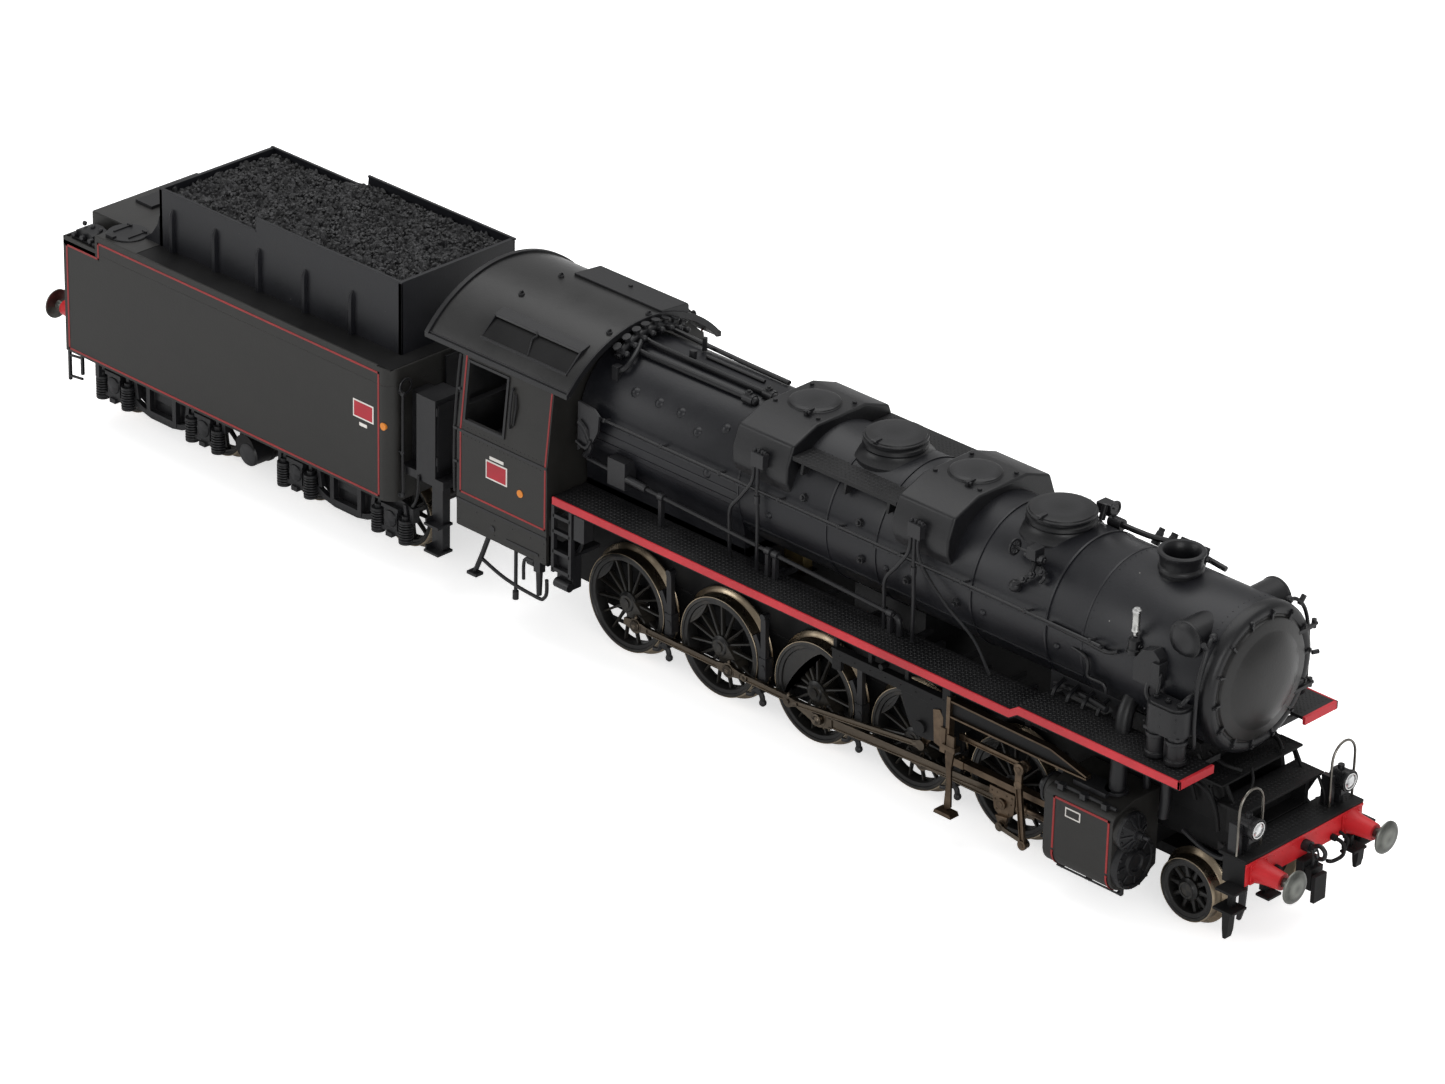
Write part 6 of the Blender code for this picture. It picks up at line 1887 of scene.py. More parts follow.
    for name, side in SIDES.items():
        for end, beam_x, direction in (("front", BEAM_X, 1), ("rear", REAR_BEAM_X, -1)):
            y = side * BUFFER_Y
            head = Shape()
            profile = [
                (0, 7.2), (1.0, 7.16), (1.8, 7.02), (2.3, 6.85), (2.48, 6.66), (2.5, 6.45), (2.3, 6.38),
                (1.3, 6.25), (0.8, 6.1), (0.72, 5.9), (0.72, 2.1), (0, 2.1),
            ]
            head.turned([(r, direction * h) for r, h in profile], (beam_x, y, BUFFER_Z), "X", 56)
            head.done(
                f"{end}_buffer_head_{name}", STEEL, f"{end}_buffer_{name}", "dark_steel", bevel=0,
                nodes=(f"{end}_buffer_{name}",),
            )
        lamp(name, side)


def lamp(name, side):
    """One front lamp with its wire hoop."""
    x, y = LAMP_X, side * BUFFER_Y
    can = Shape()
    can.turned(
        [
            (0, 3.0), (1.45, 3.0), (1.45, 3.25), (1.62, 3.25), (1.66, 3.0), (1.62, 2.6), (1.52, 2.5),
            (1.52, 0.5), (1.2, 0.1), (0, 0.0),
        ],
        (x, y, LAMP_Z), "X", 44,
    )
    can.cyl((x + 1.4, y, 21.0), (x + 1.4, y, 21.7), 0.5, n=14)
    can.box((x + 0.3, x + 2.4), (y - 0.9, y + 0.9), (17.3, 18.3))
    can.box((x + 0.6, x + 1.8), (y - 0.45, y + 0.45), (15.8, 17.6))
    can.box((x - 0.2, x + 1.6), (y - 2.3, y - 1.4), (15.8, 20.4))
    can.done(f"lamp_can_{name}", FITTING, ROOT, "body_black", bevel=0.05, nodes=(f"lamp_{name}",))
    lens = Shape()
    lens.turned(
        [(0, 3.42), (0.45, 3.38), (0.8, 3.28), (1.04, 3.12), (1.1, 2.9), (0, 2.9)], (x, y, LAMP_Z), "X", 40,
    )
    lens.done(f"lamp_lens_{name}", LENS, ROOT, "dark_steel", bevel=0)
    rim = Shape()
    rim.turned(
        [(1.1, 3.3), (1.26, 3.3), (1.32, 3.1), (1.26, 2.9), (1.1, 2.9)], (x, y, LAMP_Z), "X", 44, ring=True,
    )
    rim.done(f"lamp_rim_{name}", SILVER, ROOT, "dark_steel", bevel=0)
    hoop = Shape()
    hx = LAMP_HOOP_X
    low, high = y - 2.55, y + 2.55
    points = [(hx, low, 15.8), (hx, low, 19.0), (hx, low, 22.4)]
    angles = [math.pi * (1 - k / 8) for k in range(1, 8)]
    points += [(hx, y + 2.55 * math.cos(a), 22.6 + 2.9 * math.sin(a)) for a in angles]
    points += [(hx, high, 22.4), (hx, high, 19.0), (hx, high, 15.8)]
    hoop.tube(points, 0.2, n=10, steps=4)
    hoop.done(f"lamp_hoop_{name}", WIRE, ROOT, "dark_steel", bevel=0)


# ---------------------------------------------------------------- frames, brakes and pony truck
def brake_gear():
    """Brake shoes, springs, guard irons and the platforms under the smokebox."""
    gear = Shape()
    for side in SIDES.values():
        for x in COUPLED_X:
            shoe = arc((x, COUPLED_RADIUS), COUPLED_RADIUS + 0.25, 34, -33, 14)
            shoe += arc((x, COUPLED_RADIUS), COUPLED_RADIUS + 1.05, -33, 34, 14)
            gear.prism(shoe, "XZ", on_side(side, (8.05, 9.95)))
            hook = x + COUPLED_RADIUS + 0.85
            gear.bar((hook + 0.15, 17.0), (hook + 0.45, 8.6), 0.5, 0.5, on_side(side, (9.3, 10.15)))
            gear.bar((hook + 0.45, 8.6), (hook - 0.4, 3.9), 0.5, 0.42, on_side(side, (9.3, 10.15)))
            gear.prism(
                [(hook - 0.5, 9.8), (hook + 1.0, 9.8), (hook + 1.1, 6.6), (hook - 0.2, 6.2)], "XZ",
                on_side(side, (8.6, 10.25)),
            )
            gear.crosswise((hook + 0.4, 8.2), (9.1, 10.35), side, 0.55, n=16)
            gear.crosswise((hook - 0.3, 4.1), (8.2, 10.3), side, 0.6, n=16)
            gear.crosswise((hook + 0.15, 16.6), (9.0, 10.3), side, 0.55, n=14)
            gear.tube(
                [
                    (hook - 0.3, side * 10.0, 4.2), (hook - 1.2, side * 10.0, 3.9),
                    (hook - 1.7, side * 10.0, 3.0), (hook - 2.8, side * 10.0, 2.7),
                ],
                0.34,
            )
            gear.tube(
                [
                    (hook - 0.3, side * 10.0, 4.2), (hook + 0.3, side * 10.0, 3.4),
                    (hook + 0.5, side * 10.0, 2.5),
                ],
                0.42,
            )
            gear.ball((hook + 0.5, side * 10.0, 2.4), 0.6, 12)
        gear.box((-46.6, 47.5), on_side(side, (7.6, 8.0)), (2.9, 3.4))
    for x in COUPLED_X:
        cross = x + COUPLED_RADIUS + 0.55
        gear.cyl((cross, -9.6, 4.1), (cross, 9.6, 4.1), 0.4, n=10)
    gear.done("brake_gear", FITTING, ROOT, "frame_black", bevel=0.03)

    keel = Shape()
    for a, b in zip(COUPLED_X[1:], COUPLED_X[:-1]):
        keel.box((a + 1.9, b - 1.9), (-6.7, 6.7), (3.5, 12.5))
    keel.box((COUPLED_X[-1] - 8.0, COUPLED_X[-1] - 1.9), (-6.7, 6.7), (4.2, 12.5))
    keel.box((COUPLED_X[0] + 1.9, COUPLED_X[0] + 9.0), (-6.7, 6.7), (4.2, 12.5))
    keel.done("frame_keel", MATT, ROOT, "frame_black", bevel=0.1)

    springs = Shape()
    for side in SIDES.values():
        for x in COUPLED_X:
            for k in range(5):
                half = 3.6 - 0.62 * k
                springs.box(
                    (x - half, x + half), on_side(side, (5.9, 7.0)), (17.3 + 0.32 * k, 17.56 + 0.32 * k),
                )
            springs.box((x - 0.5, x + 0.5), on_side(side, (5.8, 7.1)), (16.6, 19.2))
            for dx in (-3.5, 3.5):
                springs.cyl((x + dx, side * 6.45, 17.4), (x + dx, side * 6.45, 20.3), 0.26, n=8)
        for x in (-30, -10, 10, 22, 40):
            springs.box((x - 0.4, x + 0.4), on_side(side, (6.6, 13.0)), (21.6, 24.0))
        springs.box((-46, 46), on_side(side, (6.4, 6.9)), (20.4, 21.0))
        for x in range(-44, 48, 4):
            springs.rivet((x, side * 6.9, 20.7), (0, side, 0), 0.15)
        springs.tube([(-47, side * 12.6, 23.2), (-20, side * 12.6, 23.2), (28, side * 12.6, 23.2)], 0.25)
        springs.tube([(-47, side * 14.8, 22.9), (-12, side * 14.8, 22.9), (6, side * 14.8, 22.9)], 0.2)
    springs.done("frame_springs", FITTING, ROOT, "frame_black", bevel=0.03)

    guard = Shape()
    for side in SIDES.values():
        guard.prism(
            [(74.5, 12.6), (82.8, 15.2), (82.8, 11.6), (79.9, 9.2), (78.5, 9.0), (78.1, 11.2), (74.5, 11.2)],
            "XZ", on_side(side, (6.0, 6.6)),
        )
        guard.prism(
            [(79.6, 9.4), (80.8, 9.4), (80.5, 4.2), (79.9, 2.3), (79.3, 2.3), (79.5, 4.2)], "XZ",
            on_side(side, (7.0, 7.5)),
        )
        guard.tube(
            [
                (79.0, side * 9.6, 15.0), (78.2, side * 9.8, 12.6), (74.6, side * 9.6, 12.4),
                (70.2, side * 9.2, 13.6),
            ],
            0.35,
        )
    guard.done("front_guards", FITTING, ROOT, "frame_black", bevel=0.04)

    platforms = Shape()
    platforms.box((76.5, 80.5), (-8.8, 8.8), (19.8, 20.2))
    platforms.box((72.4, 76.4), (-8.8, 8.8), (22.6, 22.95))
    platforms.box((76.8, 77.2), (-6.4, 6.4), (15.8, 19.9))
    platforms.box((70.2, 76.9), (-6.2, 6.2), (15.6, 17.4))
    platforms.box((58.0, 79.5), (-6.2, 6.2), (10.7, 15.9))
    platforms.prism([(63.5, 26.5), (69.5, 25.6), (70.6, 22.0), (70.6, 15.6), (63.5, 15.6)], "XZ", (-5.6, 5.6))
    for side in SIDES.values():
        platforms.prism(
            [(66.0, 20.4), (72.0, 20.0), (77.4, 17.6), (80.4, 15.7), (66.0, 15.6)], "XZ",
            on_side(side, (6.3, 6.8)),
        )
        platforms.prism(
            [(77.0, 19.9), (80.2, 19.9), (78.6, 16.9), (78.0, 15.8), (77.0, 15.8)], "XZ",
            on_side(side, (7.9, 8.3)),
        )
        for x0, z0, x1, z1 in (
            (72.6, 22.7, 74.6, 17.9), (75.9, 22.7, 77.6, 19.9), (70.8, 25.4, 73.0, 22.8),
            (68.0, 25.2, 70.8, 18.0), (74.6, 22.7, 72.0, 19.9),
        ):
            platforms.bar((x0, z0), (x1, z1), 0.24, 0.24, on_side(side, (7.3, 7.7)))
        platforms.tube([(80.2, side * 7.8, 19.8), (81.6, side * 7.6, 17.6), (81.8, side * 7.6, 15.8)], 0.25)
        platforms.tube(
            [
                (69.8, side * 8.8, 22.0), (73.8, side * 9.3, 21.6), (75.6, side * 9.0, 19.0),
                (76.0, side * 8.6, 15.6),
            ],
            0.35,
        )
        platforms.tube([(70.6, side * 5.0, 24.6), (74.0, side * 5.6, 24.2), (76.2, side * 4.4, 23.6)], 0.3)
    platforms.cyl((77.1, 1.6, 18.6), (77.9, 1.6, 18.6), 1.1, n=24)
    platforms.tube([(76.0, -2.0, 23.0), (77.6, -3.6, 22.0), (77.8, -5.0, 20.3)], 0.25)
    platforms.done("front_platforms", MATT, ROOT, "body_black", bevel=0.06)
    tread = Shape()
    treads(tread, 76.6, 80.4, -8.7, 8.7, lambda x: 20.2)
    treads(tread, 72.5, 76.3, -8.7, 8.7, lambda x: 22.95)
    tread.done("front_platform_treads", MATT, ROOT, "body_black", bevel=0)


def pony_details():
    """Side plates and coil springs of the pony truck."""
    pony = Shape()
    for side in SIDES.values():
        pony.prism(
            [(68.4, 7.9), (75.8, 7.9), (76.2, 7.2), (74.4, 6.4), (69.8, 6.4), (68.0, 7.2)], "XZ",
            on_side(side, (4.2, 5.2)),
        )
        for x in (69.6, 74.6):
            for k in range(5):
                pony.hoop(0.4, 0.8, 0.13, (x, side * 4.7, 6.9 + k * 0.36), "Z", 16)
    pony.box((68.0, 76.2), (-4.2, 4.2), (7.2, 7.7))
    pony.done("pony_springing", FITTING, "pony_truck", "underframe_black", bevel=0.04)


# ---------------------------------------------------------------- tender
def tank_side_outline():
    """Plan of the tank with rounded front corners."""
    radius = 2.3
    x, y = TANK_FRONT - radius, TANK_SKIN - radius
    front = arc((x, -y), radius, -90, 0, 14) + arc((x, y), radius, 0, 90, 14)
    return [(TANK_BACK, -TANK_SKIN)] + front + [(TANK_BACK, TANK_SKIN)]


def tender_tank():
    """Tank, deck, bunker, hatches, lining and plates."""
    outer = tank_side_outline()
    inner = [
        (TANK_BACK + 1.2, -16.6), *[(min(x, -84.2), max(-16.6, min(16.6, y))) for x, y in outer[1:-1]],
        (TANK_BACK + 1.2, 16.6)
    ]
    shell = Shape()
    shell.frame(outer, inner, "XY", (TANK_BOTTOM, SHELL_TOP))
    upper = [(-152.0, -TANK_SKIN)] + outer[1:-1] + [(-152.0, TANK_SKIN)]
    shell.prism(upper, "XY", (SHELL_TOP, TANK_TOP))
    shell.prism(
        [(TANK_BACK, -11.2), (TANK_STEP, -11.2), (TANK_STEP, 11.2), (TANK_BACK, 11.2)], "XY",
        (SHELL_TOP, TANK_TOP),
    )
    shell.prism(
        [(TANK_BACK, -TANK_SKIN), (TANK_STEP, -TANK_SKIN), (TANK_STEP, TANK_SKIN), (TANK_BACK, TANK_SKIN)],
        "XY", (29.9, 31.2),
    )
    for side in SIDES.values():
        shell.box((TANK_BACK, TANK_BACK + 0.4), on_side(side, (11.2, TANK_SKIN)), (31.1, 31.5))
        shell.box((TANK_BACK, -152.0), on_side(side, (TANK_SKIN - 0.3, TANK_SKIN)), (31.1, 31.5))
    shell.done("tank_shell", SIDE_BLACK_LIT, "tender", "body_black", bevel=0.16, segments=3, nodes=("tender_body",))

    rim = Shape()
    for side in SIDES.values():
        rim.box((TANK_STEP, -86.0), on_side(side, (17.05, TANK_SKIN)), (33.7, 34.05))
    rim.done("tank_rim", SIDE_BLACK_LIT, "tender", "body_black", bevel=0.1)

    top = Shape()
    top.box((-151.8, -83.4), (-17.1, 17.1), (33.7, 33.88))
    top.done("tank_deck", MATT, "tender", "body_black", bevel=0)

    rear = Shape()
    rear.box((TANK_STEP, -142.4), (-17.1, 17.1), (33.75, 33.95))
    rear.box((TANK_BACK + 0.1, -151.8), (-11.1, 11.1), (33.7, 33.95))
    # The rear deck's grey paints the light that falls on its top.
    rear.done("rear_deck", DECK_GREY_LIT, "tender", "body_black", bevel=0.03)

    bunker = Shape()
    for side in SIDES.values():
        bunker.prism(
            [(-142.2, 33.5), (-142.2, 43.9), (-119.5, 43.9), (-119.2, 46.1), (-86.2, 46.1), (-86.2, 33.5)],
            "XZ", on_side(side, (11.75, 12.1)),
        )
        bunker.prism(
            [(-142.3, 39.0), (-142.9, 37.2), (-144.2, 35.4), (-146.4, TANK_TOP), (-142.3, TANK_TOP)], "XZ",
            on_side(side, (9.4, 12.1)),
        )
        bunker.box((-119.4, -86.0), on_side(side, (11.7, 12.2)), (45.9, 46.2))
        bunker.box((-142.3, -119.3), on_side(side, (11.7, 12.2)), (43.7, 43.98))
        for x in (-138.9, -128.8, -118.6, -107.9, -97.2):
            rings = []
            for z, w, d in (
                (33.7, 0.5, 0.95), (39.6, 0.5, 0.95), (40.5, 0.42, 0.8), (41.0, 0.25, 0.4), (41.2, 0.1, 0.05),
            ):
                rings.append(
                    [
                        (x - w, side * 12.0, z), (x - w * 0.7, side * (12.05 + d * 0.75), z),
                        (x, side * (12.05 + d), z), (x + w * 0.7, side * (12.05 + d * 0.75), z),
                        (x + w, side * 12.0, z),
                    ]
                )
            bunker.skin([[Vector(p) for p in ring] for ring in rings])
    bunker.prism([(-12.1, 33.5), (-12.1, 43.9), (12.1, 43.9), (12.1, 33.5)], "YZ", (-142.2, -141.5))
    bunker.prism([(-12.1, 33.5), (-12.1, 46.1), (12.1, 46.1), (12.1, 33.5)], "YZ", (-86.9, -86.2))
    bunker.done("coal_bunker", BODY, "tender", "body_black", bevel=0.06)

    details = Shape()
    for s in SIDES.values():
        lid = (-149.0, s * 13.0, 33.9)
        details.turned([(0, 0.35), (3.3, 0.33), (3.45, 0.2), (3.45, 0), (0, 0)], lid, "Z", 56)
        for x in (-150.6, -147.0):
            details.box((x - 0.15, x + 0.15), on_side(s, (11.2, 14.6)), (34.2, 34.45))
            details.box((x - 0.5, x + 0.5), on_side(s, (11.0, 11.35)), (34.2, 34.6))
        details.box((-150.4, -148.6), on_side(s, (15.7, 16.5)), (33.9, 34.55))
        details.box((-158.6, -153.4), on_side(s, (12.6, 16.6)), (31.2, 31.6))
        details.prism(
            [(-158.3, 31.5), (-153.6, 31.5), (-154.0, 32.7), (-155.2, 33.15), (-156.8, 33.15), (-158.0, 32.7)],
            "XZ", on_side(s, (12.9, 16.2)),
        )
        for x in (-157.9, -155.9, -154.0):
            details.cyl((x, s * 16.2, 32.1), (x, s * 16.95, 32.1), 0.42, n=12)
            details.ball((x, s * 14.4, 33.3), 0.42, 12)
        details.box((-153.3, -152.2), on_side(s, (12.0, 16.9)), (31.2, 32.0))
        details.hoop(1.0, 1.35, 0.12, (-82.2, s * 14.9, 31.0), "X", 28)
    details.box((-157.5, -153.5), (-4.0, 4.0), (33.9, 34.5))
    details.cyl((-155.5, 6.5, 33.9), (-155.5, 6.5, 34.9), 1.5, n=32)
    details.done("tank_fittings", FITTING, "tender", "body_black", bevel=0.05)

    lining = Shape()
    for side in SIDES.values():
        y = side * (TANK_SKIN + 0.02)
        line = [
            (-158.9, 11.8), (-158.9, 30.1), (-151.2, 30.1), (-151.2, 32.8), (-85.7, 32.8), (-85.7, 11.8),
            (-158.9, 11.8),
        ]
        lining.ribbon([(x, y, z) for x, z in line], (0, 1, 0), 0.34, 0.03)
    lining.done("tank_lining", LINE_RED, "tender", "beam_red", bevel=0)

    border, red, dot = Shape(), Shape(), Shape()
    for side in SIDES.values():
        y = side * (TANK_SKIN - 0.04)
        border.box((-91.4, -86.8), (y, side * (TANK_SKIN + 0.05)), (23.6, 26.6))
        border.box((-90.0, -88.3), (y, side * (TANK_SKIN + 0.05)), (22.4, 22.95))
        red.box((-91.15, -87.05), (y, side * TANK_SIDE), (23.85, 26.35))
        dot.cyl((-84.7, side * (TANK_SKIN - 0.4), 24.0), (-84.7, side * (TANK_SKIN + 0.04), 24.0), 0.62, n=24)
    border.done("tank_plate_borders", WHITE, "tender", "body_black", bevel=0)
    red.done("tank_plates", PLATE_RED, "tender", "beam_red", bevel=0)
    dot.done("tank_dots", ORANGE, "tender", "body_black", bevel=0)


def tender_front():
    """Lockers, steps and handrails at the tender's front."""
    front = Shape()
    front.box((-83.4, -73.7), (-15.1, 15.1), (16.1, 17.5))
    for side in SIDES.values():
        front.box((-79.7, -75.5), on_side(side, (9.4, 15.1)), (17.4, 30.7))
        front.box((-83.4, -79.6), on_side(side, (9.4, 12.9)), (17.4, 29.4))
        front.box((-75.6, -75.4), on_side(side, (9.9, 14.6)), (18.6, 29.9))
        front.cyl((-75.5, side * 10.4, 24.6), (-75.2, side * 10.4, 24.6), 0.3, n=10)
        for z in (20.4, 28.8):
            front.cyl((-75.5, side * 14.7, z - 0.7), (-75.5, side * 14.7, z + 0.7), 0.22, n=8)
        front.box((-76.2, -73.8), on_side(side, (13.5, 15.1)), (5.5, 16.2))
        for z in (5.3, 9.9):
            front.box((-76.5, -73.3), on_side(side, (13.4, 16.6)), (z, z + 0.42))
            front.box((-76.4, -76.1), on_side(side, (13.6, 16.4)), (z + 0.4, z + 1.1))
        x, y = -82.2, side * 15.6
        front.tube(
            [(-83.2, y, 30.2), (x, y, 30.0), (x, y, 28.0), (x, y, 17.0), (x, y, 12.6), (-83.2, y, 12.4)], 0.26,
            n=10, steps=3,
        )
        for z in (12.6, 19.8, 29.8):
            front.ball((x, y, z), 0.42, 10)
            front.cyl((-83.3, y, z), (x, y, z), 0.2, n=8)
        front.tube(
            [(-79.0, side * 15.2, 17.0), (-78.8, side * 15.8, 13.4), (-79.6, side * 16.0, 11.6)], 0.24, n=8,
        )
    front.box((-83.4, -81.4), (-9.4, 9.4), (17.4, 24.0))
    front.box((-83.4, -82.6), (-6.0, 6.0), (24.0, 33.0))
    front.cyl((-80.4, -6.5, 17.4), (-80.4, -6.5, 24.0), 0.5, n=12)
    front.hoop(1.2, 1.55, 0.14, (-80.4, -6.5, 24.2), "Z", 28)
    front.cyl((-81.4, -6.5, 24.2), (-79.4, -6.5, 24.2), 0.14, n=8)
    front.done("tender_front_fittings", FITTING, "tender", "body_black", bevel=0.06)


def coal_level(x, y):
    """Height of the coal: level with the low rear sheets, rising to the front ones, crowned in the middle."""
    rise = min(1.0, max(0.0, (x + 126) / 8))
    crown = max(0.0, 1 - (y / COAL_HALF_WIDTH) ** 2)
    return 43.35 + 1.9 * rise + 0.75 * crown * min(1.0, (x + 141.5) / 6)


def coal():
    """The heap as one surface, with loose lumps on it."""
    heap = Shape()
    random.seed(COAL_SEED)
    x0, x1 = COAL_X
    y0, y1 = -COAL_HALF_WIDTH, COAL_HALF_WIDTH
    rows = []
    for i in range(COAL_STEPS_X + 1):
        x = x0 + (x1 - x0) * i / COAL_STEPS_X
        row = []
        for j in range(COAL_STEPS_Y + 1):
            y = y0 + (y1 - y0) * j / COAL_STEPS_Y
            base = coal_level(x, y)
            bend = noise.noise(Vector((x * 0.8, y * 0.8, 0.0)))
            lump = noise.noise(Vector((x * 0.5, y * 0.5, 3.0))) * 0.35
            large = noise.cell(Vector((x * 1.1 + bend, y * 1.5 + bend, 1.0))) * 0.5
            small = noise.cell(Vector((x * 2.4 + bend, y * 2.9, 2.0))) * 0.35
            z = min(COAL_LIMIT, base - 0.55 + lump + (large + small))
            row.append(Vector((x, y, z)))
        rows.append(row)
    heap.skin([
        row + [
            Vector((row[-1].x, row[-1].y, COAL_FLOOR)), Vector((row[0].x, row[0].y, COAL_FLOOR)),
        ] for row in rows
    ])
    heap.done("coal_heap", COAL, "tender", "coal_black", bevel=0, angle=18, nodes=("coal_load",))

    lumps = Shape()
    for _ in range(COAL_LUMPS):
        x = random.uniform(x0 + 0.5, x1 - 0.5)
        y = random.uniform(y0 + 0.4, y1 - 0.4)
        z = coal_level(x, y) - 0.2
        r = random.uniform(0.18, 0.42)
        verts = bmesh.ops.create_icosphere(lumps.bm, subdivisions=1, radius=r)["verts"]
        for v in verts:
            v.co *= random.uniform(0.7, 1.15)
        turn = random.uniform(0, 6.28)
        axis = Vector((random.random() + 0.1, random.random(), random.random()))
        bmesh.ops.rotate(lumps.bm, cent=(0, 0, 0), matrix=Matrix.Rotation(turn, 3, axis), verts=verts)
        bmesh.ops.translate(lumps.bm, vec=(x, y, z), verts=verts)
    lumps.done("coal_lumps", COAL, "tender", "coal_black", bevel=0, angle=10)


def tender_underframe():
    """Rear beam, steps, pipes and air reservoir."""
    rear = Shape()
    rear.box((-161.5, -160.0), (-12.9, 12.9), (10.1, 15.9))
    for side in SIDES.values():
        y = side * BUFFER_Y
        rear.box((-161.75, -161.4), (y - 1.9, y + 1.9), (BUFFER_Z - 1.6, BUFFER_Z + 1.6))
        profile = [(0, 7.4), (1.22, 7.4), (1.3, 7.2), (1.55, 1.6), (1.85, 0.3), (1.85, 0.0), (0, 0.0)]
        rear.turned([(r, -h) for r, h in profile], (-161.3, y, BUFFER_Z), "X", 40)
        for dy in (-1.5, 1.5):
            for dz in (-1.2, 1.2):
                rear.hexnut((-161.72, y + dy, BUFFER_Z + dz), (-1, 0, 0), 0.24, 0.16)
    rear.done("rear_beam", RED, "tender", "beam_red", bevel=0.07)

    under = Shape()
    for side in SIDES.values():
        y = side * 16.5
        for x, low in ((-160.0, 5.5), (-156.9, 7.4)):
            under.box((x - 0.25, x + 0.25), (y - 0.25 * side, y + 0.25 * side), (low, 12.0))
        for z0 in (6.2, 9.9):
            under.tube([(-160.0, y, z0), (-156.9, y, z0 + 0.4)], 0.24, n=8)
        under.box((-153.9, -153.0), on_side(side, (15.7, 16.4)), (8.2, 13.4))
        under.tube(
            [
                (-161.6, side * 5.4, 12.6), (-163.4, side * 5.4, 12.0), (-163.9, side * 5.2, 10.6),
                (-163.2, side * 4.2, 9.8),
            ],
            0.3,
        )
        under.box((-157.0, -86.0), on_side(side, (15.2, 15.9)), (12.9, 15.3))
        for x in range(-150, -88, 8):
            under.box((x, x + 0.6), on_side(side, (12.8, 15.4)), (11.4, 13.2))
        under.tube([(-152, side * 13.6, 12.0), (-120, side * 13.6, 11.8), (-92, side * 13.6, 12.0)], 0.24)
    tank = [
        (0, 14.5), (1.2, 14.45), (1.8, 14.3), (2.05, 14.0), (2.05, -14.0), (1.8, -14.3), (1.2, -14.45),
        (0, -14.5),
    ]
    under.turned(tank, (RESERVOIR_X, 0, RESERVOIR_Z), "Y", 48)
    for side in SIDES.values():
        under.wheel(
            [(2.0, 10.0), (2.22, 10.0), (2.22, 10.7), (2.0, 10.7)], (RESERVOIR_X, RESERVOIR_Z), side, 40,
            ring=True,
        )
        under.bar((-121.7, 5.8), (-121.9, 13.2), 0.25, 0.25, on_side(side, (10.0, 10.7)))
        under.bar((-117.5, 5.8), (-117.4, 13.2), 0.25, 0.25, on_side(side, (10.0, 10.7)))
    under.box((-165.4, -161.2), (-1.2, 1.2), (6.8, 9.6))
    under.box((-169.6, -165.2), (-0.7, 0.7), (6.9, 8.7))
    under.cyl((-161.4, 0, 13.6), (-163.0, 0, 13.6), 0.85, n=20)
    under.tube(
        [(-162.8, 0, 13.9), (-164.2, 0, 14.4), (-165.1, 0, 13.8), (-165.0, 0, 12.8), (-164.1, 0, 12.4)], 0.34,
        n=10,
    )
    under.done("tender_underframe_fittings", FITTING, "tender", "underframe_black", bevel=0.05)


